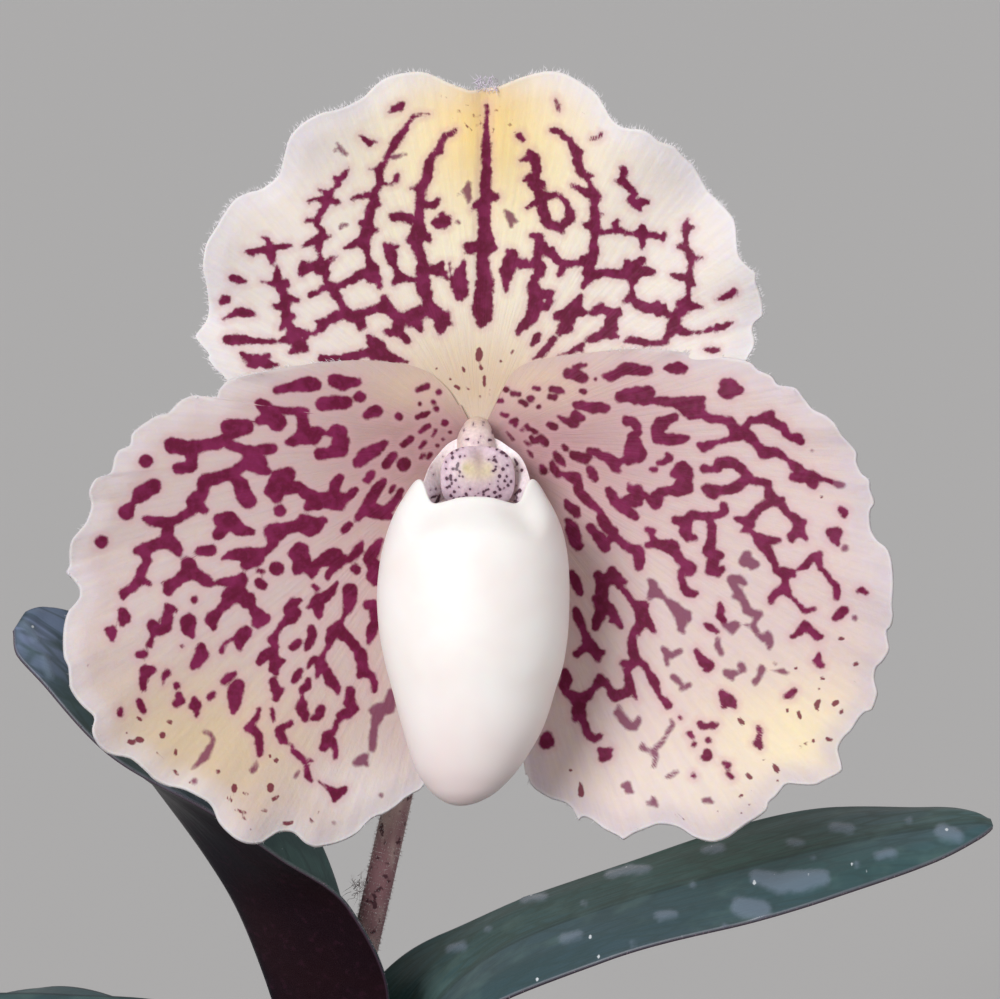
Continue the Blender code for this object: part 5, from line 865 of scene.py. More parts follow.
def patchTones(ground, patches, across, up):
    # a ground colour with soft patches laid over it
    colours = np.repeat(tint(*ground)[None], len(across), axis=0)
    for x, y, wide, high, strength, colour in patches:
        share = strength * np.exp(-((across - x) / wide) ** 2 - ((up - y) / high) ** 2)
        colours += share[:, None] * (tint(*colour) - colours)
    return colours


marginTones = {
    "clear": (14, 27),                      # mm from the middle where the paler margin begins and is full
    "edge": 0.3,
    "apex": (0.5, 7, 25),                   # across, width, up: there the margin is hardly paler
    "apexShare": 0.75,
}


def bladeTones(look, across, up, margin):
    # the tones of a blade, paler along its margin
    colours = patchTones(look["ground"], look["patches"], across, up)
    band = look["marginShare"] * smoothStep(look["marginWidth"], marginTones["edge"], margin)
    band = band * smoothStep(*marginTones["clear"], np.hypot(across, up))
    middle, wide, low = marginTones["apex"]
    band = band * (1 - marginTones["apexShare"] * np.exp(-((across - middle) / wide) ** 2) * (up > low))
    colours += band[:, None] * (tint(*look["marginColour"]) - colours)
    return colours


# How far each blade stands out of the flower, in mm
petalShape = {
    "foot": -1.9,
    "sweep": 6.4,                           # forward at the side ends
    "halfSpan": 39,
    "lobe": 1.6,                            # forward at the lower lobes
    "wave": 0.7,
    "ripple": 0.22,
}
dorsalShape = {
    "foot": -3.1,
    "cup": 4.6,
    "height": 35,
    "middle": 0.7,                          # across
    "tip": 2.2,                             # back at the apex
    "keel": 0.35,
    "keelWidth": 1.1,
    "seat": -2.5,                           # lies close behind the petals
}
synsepalShape = {"foot": -4.0, "droop": 1.4, "length": 28, "cup": 0.6, "halfWidth": 9}


def petalSweep(across):
    return petalShape["sweep"] * (abs(across) / petalShape["halfSpan"]) ** 1.5


def dorsalDepth(across, up, bearing, share):
    look = dorsalShape
    beside = across - look["middle"]
    cup = look["cup"] * (np.hypot(across, up) / look["height"]) ** 1.7
    tip = look["tip"] * smoothStep(27, 36, up) * smoothStep(10, 0, abs(beside))
    wave = share ** 5 * np.sin(np.radians(13 * bearing))
    low = smoothStep(3, 9, up)
    keel = -look["keel"] * np.exp(-(beside / look["keelWidth"]) ** 2) * smoothStep(8, 18, up)
    dish = look["foot"] + cup * (0.35 + 0.65 * low) - tip + wave * low + keel
    seated = np.maximum(dish, look["seat"] + petalSweep(across))
    return seated + (dish - seated) * smoothStep(6, 14, up)


def petalDepth(across, up, bearing, share):
    look = petalShape
    lobe = look["lobe"] * smoothStep(-22, -38, up) * smoothStep(6, 22, abs(across))
    top = smoothStep(8, 24, abs(across))
    wave = look["wave"] * top * share ** 5 * np.sin(np.radians(14 * bearing))
    ripple = look["ripple"] * top * share ** 9 * np.sin(np.radians(47 * bearing))
    return look["foot"] + petalSweep(across) + lobe + wave + ripple


def synsepalDepth(across, up, bearing, share):
    # called as the other two are, though it has no wave along its margin
    look = synsepalShape
    droop = look["droop"] * (np.hypot(across, up) / look["length"]) ** 1.5
    return look["foot"] - droop + look["cup"] * (abs(across) / look["halfWidth"]) ** 2


bladeShape = {
    "root": 1.1,                            # how far from the flower's middle a blade starts
    "thickness": 0.75,
    "edgeShare": 0.35,                      # of the thickness left at the margin
    "edgeWidth": 2.2,                       # over which the blade thins to it
    "marginNear": 2.8,                      # distances from the margin are exact up to here
    "marginFar": 9,
}


def bladeFaces(rows, columns, backRows, coarse, leans):
    # the fine front, the back with every coarse row of it, and the strips that join them
    first = (rows + 1) * columns
    faces = gridFaces(rows + 1, columns, flip=leans) + gridFaces(backRows, columns, first, flip=not leans)
    last = rows * columns
    lastBack = first + (backRows - 1) * columns
    for column in range(columns - 1):
        rim = (last + column, last + column + 1, lastBack + column + 1, lastBack + column)
        foot = (column, first + column, first + column + 1, column + 1)
        faces += [tuple(reversed(rim)), tuple(reversed(foot))] if leans else [rim, foot]
    for column in (0, columns - 1):
        for row in range(backRows - 1):
            line = [(row * coarse + step) * columns + column for step in range(coarse + 1)]
            ends = [first + (row + 1) * columns + column, first + row * columns + column]
            outward = (column == 0) != leans
            faces.append(tuple(line + ends) if outward else tuple(reversed(line + ends)))
    return faces


def bearingReach(look, bearing):
    # how far the margin is from the flower's middle at each bearing, and the margin as a line
    middle = (bearing[0] + bearing[-1]) / 2
    path = smoothPath(look["margin"], 8 * len(look["margin"]))
    turn = np.degrees(np.arctan2(path[:, 1], path[:, 0])) - middle
    turn = middle + (turn + 180) % 360 - 180
    order = np.argsort(turn)
    return np.interp(bearing, turn[order], np.hypot(path[:, 0], path[:, 1])[order]), path


def bladeMargin(path, inward, across, up):
    # mm from each place to the margin, roughly so where it is far
    exact = markDistance([[(*place, 0) for place in path]], across.ravel(), up.ravel()).reshape(across.shape)
    return np.where(exact < bladeShape["marginNear"], exact, np.minimum(inward, bladeShape["marginFar"]))


def buildBlade(name, look, finish):
    # one sepal or petal, whose edge thins to its margin
    start, stop = look["bearings"]
    columns = look["columns"] + 1
    rows = look["rows"]
    coarse = look["backStep"]
    bearing = np.linspace(start, stop, columns)
    reach, path = bearingReach(look, bearing)
    share = np.linspace(0, 1, rows + 1)[:, None]
    root = bladeShape["root"]
    distance = root + (reach - root) * share
    across = distance * np.cos(np.radians(bearing))
    up = distance * np.sin(np.radians(bearing))
    depth = look["depth"](across, up, bearing[None], distance / reach)
    margin = bladeMargin(path, reach - distance, across, up)
    left = bladeShape["edgeShare"]
    thinning = left + (1 - left) * smoothStep(0, bladeShape["edgeWidth"], margin)
    half = bladeShape["thickness"] / 2 * thinning
    front = flowerPoint(*seenFromFront(across, up, depth + half))
    back = flowerPoint(*seenFromFront(across, up, depth - half))[::coarse]
    values = {"margin": margin, "hub": distance, "turn": np.broadcast_to(bearing, across.shape)}
    for key, strokes in look["marks"].items():
        values[key] = markDistance(strokes, across.ravel(), up.ravel()).reshape(across.shape)
    for key, grid in values.items():
        values[key] = np.concatenate([grid.ravel(), grid[::coarse].ravel()])
    values["front"] = np.concatenate([np.ones(front[..., 0].size), np.zeros(back[..., 0].size)])
    tones = bladeTones(look, across.ravel(), up.ravel(), margin.ravel())
    tones = np.concatenate([tones, tones.reshape(rows + 1, columns, 3)[::coarse].reshape(-1, 3)])
    points = np.concatenate([front.reshape(-1, 3), back.reshape(-1, 3)])
    faces = bladeFaces(rows, columns, len(back), coarse, leans=start > stop)
    piece = meshPiece(name, points, faces, finish, (), values, tones)
    return piece, (front[-1] + back[-1]) / 2, unit(front[-1] - front[-5])


def addHairs(name, roots, headings, look, finish):
    # short tapered hairs, each a slim three-sided cone with one bend in it
    sides = 3
    bendPlace = 0.55
    bendWidth = 0.7
    draw = np.random.default_rng(look["seed"])
    count = len(roots)
    lengths = draw.uniform(*look["length"], count)[:, None] * mm
    headings = unit(headings + draw.normal(0, look["spread"], (count, 3)))
    side = unit(np.cross(headings, draw.normal(0, 1, (count, 3))))
    other = np.cross(headings, side)
    sink = roots - headings * look["sink"] * mm
    bend = other * lengths * draw.normal(0, look["bend"], (count, 1))
    points = []
    for centre, share in ((sink, 1.0), (sink + headings * lengths * bendPlace, bendWidth)):
        for turn in range(sides):
            angle = math.tau * turn / sides
            outward = side * math.cos(angle) + other * math.sin(angle)
            points.append(centre + outward * look["radius"] * share * mm)
    points.append(sink + headings * lengths + bend)
    faces = []
    for hair in range(count):
        foot = hair * (2 * sides + 1)
        knee = foot + sides
        faces.append((foot + 2, foot + 1, foot))
        for turn in range(sides):
            after = (turn + 1) % sides
            faces.append((foot + turn, foot + after, knee + after, knee + turn))
            faces.append((knee + turn, knee + after, knee + sides))
    return meshPiece(name, np.stack(points, axis=1).reshape(-1, 3), faces, finish)


petalLook = {
    "spotColour": paint(108, 0, 56),        # the wine red of the blotches
    "spotCore": paint(90, 0, 40),
    "spotNearMiddle": paint(92, 6, 38),     # browner towards the middle
    "spotSoft": paint(138, 34, 90),
    "paleColour": paint(116, 24, 76),
    # a painted highlight, the light shining through the thin margin
    "rimHighlight": paint(242, 236, 238),
    "fleckColour": paint(112, 22, 50),
    "haloColour": paint(208, 158, 168),
    "backColour": paint(206, 190, 176),
    "roughness": 0.5,
    "wobble": (0.9, 0.36),                  # coarse raggedness of the spots: lumps and width in mm
    "fineSize": 0.28,                       # and fine
    "fineWidth": {"petal": 0.34, "sepal": 0.6},
    "veins": (0.9, 0.16),                   # streaks to a degree round the flower, and to a mm outward
}


def petalFinish(name, look, fineWidth):
    finish, tree, shader, place = newFinish(
        name, look["roughness"], **{"Specular IOR Level": 0.12, "Subsurface Weight": 0.12,
                                    "Subsurface Scale": 0.0012})
    hub = kept(tree, "hub")
    tone = keptTone(tree)
    wobbleSize, wobbleWidth = look["wobble"]
    wobble = grain(tree, place, wobbleSize, 2.0)
    fine = grain(tree, place, look["fineSize"])
    ragged = sums(tree, "ADD", swing(tree, wobble, wobbleWidth), swing(tree, fine, fineWidth))
    veins = streaks(tree, flatPlace(tree, kept(tree, "turn"), hub, look["veins"]), 3.0)
    ground = shaded(tree, tone, spread(tree, veins, 0.3, 0.7, 0.97, 1.02),
                    spread(tree, veins, 0.3, 0.7, 0.96, 1.02), spread(tree, fine, 0.3, 0.7, 0.94, 1.03))
    blotches = sums(tree, "ADD", sums(tree, "SUBTRACT", kept(tree, "blotches"), 0.07), ragged)
    pale = sums(tree, "ADD", kept(tree, "pale"), ragged)
    flecks = sums(tree, "ADD", kept(tree, "flecks"), sums(tree, "MULTIPLY", ragged, 0.5))
    colour = tinge(tree, ground, look["haloColour"], blotches, 0.8, 0.0, 0.36)
    colour = tinge(tree, colour, look["paleColour"], pale, 0.18, -0.2, 0.86)
    colour = tinge(tree, colour, look["fleckColour"], flecks, 0.1, -0.06, 0.92)
    spot = tinge(tree, look["spotColour"], look["spotNearMiddle"], hub, 15, 7)
    spot = tinge(tree, spot, look["spotCore"], blotches, -0.1, -0.5, 0.6)
    spot = tinge(tree, spot, look["spotSoft"], wobble, 0.42, 0.66, 0.5)
    spot = tinge(tree, spot, look["spotSoft"], fine, 0.45, 0.7, 0.35)
    # painted highlight along the margin, as light shines through it
    rimLight = spread(tree, kept(tree, "margin"), 0.45, 0.1, 0, 0.35)
    colour = blend(tree, sums(tree, "MULTIPLY", rimLight, spread(tree, hub, 14, 24)), colour, look["rimHighlight"])
    colour = tinge(tree, colour, spot, blotches, 0.12, -0.17, 0.98)
    behind = tinge(tree, look["backColour"], look["spotColour"], blotches, 0.3, -0.3, 0.35)
    colour = blend(tree, kept(tree, "front"), behind, colour)
    tree.links.new(colour, shader.inputs["Base Color"])
    under = relief(tree, shader, veins, 0.07)
    relief(tree, shader, fine, 0.05, under)
    return finish


hairLook = {
    "length": (0.3, 0.85),
    "radius": 0.046,
    "spread": 0.34,
    "bend": 0.3,
    "sink": 0.12,
    "seed": 5,
    "perMm": 9,
    "bareMiddle": 15,                       # no hairs this near the middle
    "placeSeed": 11,
    "colour": (250, 247, 250),
}


def hairFinish(name, colour):
    finish, tree, shader, place = newFinish(name, 0.45, **{"Sheen Weight": 0.2})
    darker = [value * 0.82 for value in colour]
    shade = tinge(tree, paint(*colour), paint(*darker), grain(tree, place, 2.0), 0.35, 0.65, 0.35)
    tree.links.new(shade, shader.inputs["Base Color"])
    return finish


def alongEdge(edge, out, perMm, draw):
    # roots at random places along a line of points, with the way out there
    steps = np.linalg.norm(np.diff(edge, axis=0), axis=1)
    run = np.concatenate([[0], np.cumsum(steps)])
    count = int(run[-1] / mm * perMm)
    places = np.sort(draw.uniform(0, run[-1], count))
    roots = np.stack([np.interp(places, run, edge[:, axis]) for axis in range(3)], axis=1)
    ways = np.stack([np.interp(places, run, out[:, axis]) for axis in range(3)], axis=1)
    return roots, ways


# Each blade: its margin and marks, its depth, the bearings it lies between, its mesh and its tones
blades = {
    "dorsal_sepal": {
        "margin": dorsalMargin, "marks": dorsalMarks, "depth": dorsalDepth, "bearings": (12, 168),
        "columns": 380, "rows": 128, "backStep": 8,
        "ground": (232, 222, 216), "marginColour": (228, 222, 226), "marginWidth": 3.0,
        "marginShare": 0.7,
        "patches": [                        # across, up, their widths, strength, colour
            (0, 6, 10, 6, .95, (204, 176, 152)), (0, 22, 12, 13, .8, (246, 236, 206)),
            (0.5, 30, 6.5, 7, .9, (238, 202, 126)), (0.5, 33, 3, 1.8, .7, (226, 186, 116)),
            (6, 27, 5, 6, .4, (250, 230, 170)), (-6, 28, 5, 5, .3, (250, 234, 184)),
            # the last four patches are painted shade in the hollows of the waved margin
            (20.3, 25.5, 3, 2.5, .5, (206, 198, 206)), (-17, 28, 3, 2.5, .5, (206, 198, 206)),
            (-25, 17, 2, 4, .4, (208, 200, 208)), (26.5, 9, 2, 4, .4, (206, 198, 204)),
        ]},
    "petal_left": {
        "margin": leftPetalMargin, "marks": leftPetalMarks, "depth": petalDepth,
        "bearings": (117, 262), "columns": 430, "rows": 148, "backStep": 8,
        "ground": (208, 189, 186), "marginColour": (216, 207, 210), "marginWidth": 3.2,
        "marginShare": 0.7,
        "patches": [
            (-4, -1, 13, 9, .9, (164, 120, 121)), (-5, 5, 6, 2.6, .7, (218, 194, 168)),
            (-8, -14, 6, 12, .5, (206, 180, 172)),
            (-24, -30, 11, 7, .7, (206, 184, 148)), (-30, -27, 6, 5, .4, (214, 192, 148)),
            (-11, -34, 6, 4, .7, (234, 224, 222)), (-33, -14, 5, 10, .3, (216, 202, 198)),
        ]},
    "petal_right": {
        "margin": rightPetalMargin, "marks": rightPetalMarks, "depth": petalDepth,
        "bearings": (64, -82), "columns": 430, "rows": 148, "backStep": 8,
        "ground": (216, 196, 193), "marginColour": (212, 200, 205), "marginWidth": 3.2,
        "marginShare": 0.7,
        "patches": [
            (5, -1, 13, 9, .9, (171, 125, 130)), (6, 5, 6, 2.6, .7, (220, 196, 170)),
            (9, -14, 6, 12, .5, (206, 180, 172)),
            (30, -29, 9, 6, .85, (240, 224, 186)), (20, -34, 10, 5, .6, (234, 222, 212)),
            # these two are painted shade in the hollows of the waved margin
            (38, -4, 2.5, 5, .5, (204, 196, 204)), (38.5, -13, 2.5, 5, .4, (206, 198, 204)),
        ]},
    "synsepal": {
        "margin": synsepalMargin, "marks": {"blotches": [], "pale": [], "flecks": []},
        "depth": synsepalDepth, "bearings": (228, 310), "columns": 120, "rows": 60, "backStep": 6,
        "ground": (228, 220, 206), "marginColour": (222, 216, 220), "marginWidth": 2.5,
        "marginShare": 0.6, "patches": [(0, -4, 6, 6, .8, (206, 184, 168))]},
}


apexLook = {
    "down": {"length": (0.5, 1.5), "radius": 0.04, "spread": 0.45, "bend": 0.5, "sink": 0.2, "seed": 8},
    "downColour": (244, 232, 250),
    "downCount": 60,
    "downAcross": (-.2, 1.9),
    "downUp": (33.5, 34.9),
    "downSeed": 18,
    "grains": 46,                           # dark grains strewn below the apex
    "grainMiddle": (0.3, 31),
    "grainSpread": (1.7, 1.0),
    "grainSizes": (.03, .08),
    "grainSeed": 17,
}


def strewGrains(marks, look):
    draw = np.random.default_rng(look["grainSeed"])
    places = draw.normal(look["grainMiddle"], look["grainSpread"], (look["grains"], 2))
    sizes = draw.uniform(*look["grainSizes"], look["grains"])
    marks["flecks"] += [[(across, up, size)] for (across, up), size in zip(places, sizes)]


def buildApexDown(look):
    draw = np.random.default_rng(look["downSeed"])
    across = draw.uniform(*look["downAcross"], look["downCount"])
    up = draw.uniform(*look["downUp"], look["downCount"])
    out = dorsalDepth(across, up, 90, 1.0) + 0.2
    roots = flowerPoint(*seenFromFront(across, up, out))
    ways = flowerPoint(*seenFromFront(across, up + 1, out + .4)) - roots
    addHairs("apex_down", roots, ways, look["down"], hairFinish("apex_tuft", look["downColour"]))


def buildBlades():
    skins = {slot: petalFinish(slot + "_skin", petalLook, width)
             for slot, width in petalLook["fineWidth"].items()}
    down = hairFinish("margin_down", hairLook["colour"])
    draw = np.random.default_rng(hairLook["placeSeed"])
    for name, look in blades.items():
        slot = "petal" if name.startswith("petal") else "sepal"
        piece, edge, out = buildBlade(name + "_blade", look, skins[slot])
        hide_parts(name)
        roots, ways = alongEdge(edge, out, hairLook["perMm"], draw)
        far = np.linalg.norm(roots - flowerPoint(0, 0, 0), axis=1) > hairLook["bareMiddle"] * mm
        addHairs(name + "_hairs", roots[far], ways[far], hairLook, down)
        print("built", name)
    buildApexDown(apexLook)


strewGrains(dorsalMarks, apexLook)
buildBlades()


# The pouch, the lobes turned in behind its mouth, the shield and the column
pouchLook = {
    "levels": [                             # height, half width, middle, as seen in the picture
        (-35.3, 0, -1.7), (-35.27, .5, -1.68), (-35, 1.5, -1.6), (-34.3, 2.75, -1.45),
        (-33.4, 3.7, -1.3), (-32, 4.8, -1.1), (-30, 5.85, -.8), (-28, 6.7, -.55),
        (-26, 7.35, -.45), (-24, 7.9, -.42), (-22, 8.5, -.37), (-20, 8.9, -.4), (-18, 9.15, -.45),
        (-15, 9.28, -.48), (-12, 9.1, -.4), (-10, 8.75, -.33), (-8, 8.2, -.3), (-6.5, 7.65, -.3),
        (-5.5, 7.15, -.28), (-4.5, 6.6, -.25), (-3.5, 6, -.2), (-2.5, 5, -.2)],
    "mouth": [                              # bearing from the front, height of the rim there
        (0, -5.6), (16, -5.7), (26, -5.95), (33, -6.14), (39.6, -6.28), (45.5, -6.1), (51, -5.58),
        (57.5, -4.85), (65, -4.2), (73, -3.95), (81, -4.4), (94, -6), (110, -6.9), (130, -6.6),
        (155, -4.8), (180, -4.2)],
    "depth": 8.3,                           # how far out of the flower its middle stands
    "halfDepth": 8.0,
    "widest": 9.28,
    "straightBack": -17.4,                  # height from which its back is straight
    "wall": 0.9,
    "rimWall": 0.42,
    "fold": (0.3, 1.3),                     # how far the rim turns in at the sides, and more in front
    "colour": (255, 248, 245),
    "shadeColour": (242, 219, 214),
    "insideColour": (214, 188, 196),
    "spotColour": (104, 40, 78),
    "flushAndShade": (226, 202, 204),               # pinker and darker towards its foot: partly its own pink, partly painted shade underneath
    "flushAndShadeHeights": (0.138, 0.12),          # heights in metres where the pink and painted shade start and are full
}
shieldLook = {
    "middle": (-.05, -3.75, 5.0),
    "halfSize": (3.75, 3.25),
    "dome": 1.45,
    "square": 0.045,                        # how far its corners stand out
    "hollow": (0.05, -1.1, 0.75, 0.9, 0.75),  # across, up, their widths, depth
    "edgeBack": 0.15,
    "dotGrowth": 0.04,
    "ground": (226, 202, 214),
    "patches": [
        (0, -3.1, 1.7, 1.0, .75, (224, 206, 164)), (-.9, -2.8, .8, .9, .55, (222, 206, 148)),
        (.95, -2.85, .75, .85, .45, (228, 212, 158)), (-1.2, -2.75, .28, .4, .6, (168, 154, 84)),
        # the patch at (.05, -2) is painted shade in the shield's hollow
        (.05, -2, .5, 1.3, .85, (186, 160, 152)), (0, -5, 1.6, .8, .5, (216, 186, 196))],
    "dots": [
        (-1.54, -.73, .09), (-2.04, -1.01, .13), (-2.54, -1.34, .13), (-2.48, -1.78, .14),
        (-1.76, -1.67, .12), (-1.32, -1.61, .07), (-3.09, -2.17, .1), (-1.93, -2.33, .1),
        (-1.98, -2.55, .12), (-3.09, -2.83, .1), (-2.43, -2.83, .13), (-2.09, -2.89, .1),
        (-1.76, -3.11, .1), (-2.65, -3.49, .12), (-3.03, -3.77, .14), (-2.65, -3.83, .1),
        (-2.2, -3.94, .12), (-2.54, -4.27, .11), (-2.76, -4.54, .1), (-2.98, -4.65, .12),
        (-1.87, -4.6, .09), (-2.31, -5.04, .14), (-2.65, -5.43, .14), (-2.37, -5.7, .09),
        (-1.82, -5.59, .1), (-1.43, -5.59, .09), (-1.1, -5.37, .1), (-.77, -4.82, .08),
        (-1.21, -5.21, .07), (-1.49, -3.6, .07), (-1.82, -3.55, .09), (1.17, -.73, .09),
        (1.78, -.95, .12), (2.27, -1.28, .13), (2.71, -1.61, .12), (2.5, -1.3, .1),
        (1.55, -1.67, .1), (1.66, -1.95, .1), (1.44, -2.06, .08), (1.78, -2.22, .08),
        (1, -1.95, .07), (2.83, -2.5, .11), (2.38, -2.89, .15), (1.72, -2.61, .1),
        (1.66, -2.89, .09), (1.44, -3.05, .08), (2.05, -3.55, .15), (2.77, -3.55, .11),
        (2.55, -3.99, .13), (3.16, -4.05, .12), (2.88, -4.43, .13), (1.89, -4.05, .09),
        (1.89, -4.54, .08), (2.11, -4.82, .12), (2.49, -4.71, .09), (1.61, -5.1, .14),
        (2.11, -5.48, .14), (1.72, -5.59, .11), (1, -5.54, .13), (.5, -5.04, .1), (.5, -5.37, .08),
        (1, -4.82, .09), (.72, -4.93, .08), (1.11, -4.32, .06), (.01, -5.2, .07), (-.3, -5.5, .08)],
}
lobeLook = {
    "outer": [                              # round the shield, as seen in the picture
        (-5.5, -6.9), (-5.5, -4.9), (-5.15, -3.75), (-4.75, -2.7), (-4.3, -2), (-3.85, -1.45),
        (-3.3, -.8), (-2.7, -.3), (-1.9, .1), (-.9, .45), (.6, .45), (1.6, .1), (2.2, -.2),
        (2.9, -.7), (3.55, -1.15), (4.05, -1.65), (4.5, -2.4), (4.85, -3.4), (5.1, -4.6),
        (5.1, -6.9)],
    "middle": (-.1, -4.2),
    "front": [(-7, 7.2), (-5.5, 6.6), (-3.75, 4.6), (-2, 3.4), (-.3, 2.4), (.6, 1.8)],   # up, out
    "back": 2.4,
    "drawnIn": 0.52,                        # how far they close towards their middle
    "wave": (0.25, 15),                     # height, and turns in radians along the edge
    "thickness": 0.5,
    "ground": (255, 242, 247),
    "patches": [
        # the first three patches are painted shade along the lobes' outer and upper edges
        (-4.9, -2.6, .8, 2, .6, (236, 214, 214)), (4.9, -2.4, .8, 2, .6, (236, 214, 214)),
        (0, .4, 3, .7, .7, (236, 214, 214)), (-4.4, -5, .8, 1.2, .5, (222, 206, 222))],
    "marks": [
        [(-4.08, -4.77, .12)], [(-4.64, -4.88, .1)], [(-3.53, -4.8, .1)],
        [(-4.5, -5.6, .12), (-4.1, -5.45, .14)], [(-3.7, -5.4, .1), (-3.97, -6.04, .2)],
        [(-5.35, -5.3, .06), (-5.1, -5.8, .09), (-4.75, -6.15, .1), (-4.3, -6.25, .07)],
        [(-4.3, -3.37, .11)], [(-4.58, -2.7, .07)], [(-3.42, -1.67, .07)],
        [(-4.4, -1.8, .06), (-3.9, -1.1, .06)], [(3.5, -1.9, .08), (3.75, -2.4, .16)],
        [(3.27, -2.5, .08)], [(3.54, -2.7, .07)], [(3.76, -3.05, .07)], [(4.2, -2.99, .17)],
        [(4, -1.2, .05), (4.4, -1.7, .09), (4.75, -2.35, .12), (4.9, -2.75, .1)],
        [(3.99, -4.93, .2)], [(3.76, -5.2, .16)], [(3.46, -5.36, .1)], [(3.7, -5.7, .14)],
        [(3.54, -6.04, .2)], [(3.87, -6.15, .14)], [(4.2, -5.37, .08)], [(4.3, -6.04, .08)],
        [(4.65, -5.8, .06)], [(3.65, -4.5, .06)]],
}
columnLook = {
    "line": [(-.1, 1, -2.8), (-.1, .9, -.4), (-.15, .6, 1), (-.2, -.5, 2.4), (-.1, -2.3, 3.6)],
    "radii": [1.2, 1.3, 1.5, 1.85, 1.5],
    "ground": (240, 218, 216),
    # the patches at -1.9 and 1.9 across are painted shade on the neck's sides
    "patches": [(0, 2.6, 1.8, 1.3, .9, (224, 200, 176)), (-1.9, .2, .5, 1.6, .5, (190, 166, 156)),
                (1.9, .2, .5, 1.6, .6, (184, 160, 146))],
    "dots": [
        [(-.99, .04, .13)], [(-1.21, -.01, .11)], [(-.82, -.07, .11)], [(.28, .27, .13)],
        [(.01, -.34, .1)], [(-.1, -.18, .09)], [(1.06, -.07, .14)], [(1.22, -.07, .11)],
        [(-.55, -.34, .09)], [(.34, -.62, .07)], [(1.39, .8, .1), (1.39, .6, .12)],
        [(-1.54, 1.6, .13), (-1.54, 1.35, .14)], [(-1.38, 1, .07), (-1.38, .75, .07)],
        [(-.44, 1.55, .08), (-.44, 1.3, .09)], [(.5, 1.7, .1), (.5, 1.35, .1)]],
    "antherLine": [(1.2, -1.9, 2.6), (2.3, -2.5, 3.5)],     # the right one, mirrored for the left
    "antherRadii": [.9, .7],
    "pollenColour": (226, 196, 110),
    "stigmaLine": [(-.1, -2.2, 2.4), (-.1, -4.4, 3.1)],
    "stigmaRadii": [1.1, 1.4],
    "stigmaColour": (206, 190, 160),
}
dotLook = {"colour": (70, 22, 52), "halo": (176, 130, 160), "roughness": 0.42}


def rimHeight(bearing):
    turn = abs((bearing + 180) % 360 - 180)
    path = smoothPath(pouchLook["mouth"], 300)
    return np.interp(turn, path[:, 0], path[:, 1])


def pouchSkin(look):
    finish, tree, shader, place = newFinish("pouch_skin", 0.45, **{
        "Coat Weight": 0.2, "Coat Roughness": 0.4, "Subsurface Weight": 0.15,
        "Subsurface Scale": 0.002})
    inside = kept(tree, "inside")
    mottle = grain(tree, place, 3.5, 2.0)
    colour = tinge(tree, paint(*look["colour"]), paint(*look["shadeColour"]), mottle, 0.35, 0.7, 0.3)
    up = addNode(tree, "ShaderNodeSeparateXYZ", {0: place}).outputs["Z"]
    # pinker and darker low down: partly its own colour, partly painted shade
    colour = tinge(tree, colour, paint(*look["flushAndShade"]), up, *look["flushAndShadeHeights"], 0.6)
    speck = grain(tree, place, 0.9, 2.0)
    dotted = sums(tree, "MULTIPLY", spread(tree, speck, 0.62, 0.66), inside)
    colour = blend(tree, sums(tree, "MULTIPLY", inside, 0.5), colour, paint(*look["insideColour"]))
    colour = blend(tree, sums(tree, "MULTIPLY", dotted, 0.8), colour, paint(*look["spotColour"]))
    tree.links.new(colour, shader.inputs["Base Color"])
    relief(tree, shader, grain(tree, place, 0.5), 0.012)
    return finish


def buildPouch(look):
    columns = 160
    rows = 84
    path = smoothPath(look["levels"], 600)
    steps = np.concatenate([[0], np.cumsum(np.hypot(np.diff(path[:, 0]), np.diff(path[:, 1])))])
    bearing = np.arange(columns) * 360 / columns
    top = np.interp(rimHeight(bearing), path[:, 0], steps)
    share = np.linspace(0, 1, rows)[:, None] ** 0.95
    run = top * share
    up, half, middle = (np.interp(run, steps, path[:, axis]) for axis in range(3))
    angle = np.radians(bearing)[None]
    facing = np.cos(angle)
    back = smoothStep(-0.1, -0.75, facing)
    size = half / look["widest"]
    depth = look["halfDepth"] * (size + (1 - size) * back * (up > look["straightBack"]))
    beside, ahead = look["fold"]
    fold = smoothStep(0.88, 1.0, share) * (beside + ahead * smoothStep(0.2, 0.9, facing)) * (1 - back)
    across = middle + (half - fold) * np.sin(angle)
    out = look["depth"] + (depth - fold) * facing
    outer = flowerPoint(*seenFromFront(across, up, out))
    downGrid = np.gradient(outer, axis=0)
    roundGrid = np.roll(outer, -1, axis=1) - np.roll(outer, 1, axis=1)
    normal = unit(np.cross(roundGrid, downGrid))
    normal[0] = -flowerUp
    wall = (look["rimWall"] + (look["wall"] - look["rimWall"]) * smoothStep(1.0, 0.82, share)) * mm
    wall = np.broadcast_to(wall[..., None], outer.shape[:2] + (1,))
    inner = outer - normal * wall
    rise = unit(outer[-1] - outer[-3])
    rim = [outer[-1] - normal[-1] * wall[-1] * (0.5 - 0.5 * math.cos(turn))
           + rise * wall[-1] * 0.5 * math.sin(turn) for turn in (math.pi / 4, math.pi / 2, 3 * math.pi / 4)]
    grid = np.concatenate([outer[1:], np.stack(rim), inner[:0:-1]])
    points = np.concatenate([outer[:1, 0], grid.reshape(-1, 3), inner[:1, 0]])
    levelsUp = np.concatenate([up[1:], np.repeat(up[-1:], 3, axis=0), up[:0:-1]])
    rowIndex = np.arange(len(grid))[:, None] * np.ones((1, columns))
    inside = smoothStep(rows + 1, rows + 6, rowIndex) * (0.35 + 0.65 * smoothStep(-14, -5, levelsUp))
    inside = np.concatenate([[0], inside.ravel(), [1]])
    meshPiece("pouch_shell", points, ballFaces(len(grid), columns), pouchSkin(look), ("pouch",),
              {"inside": inside})


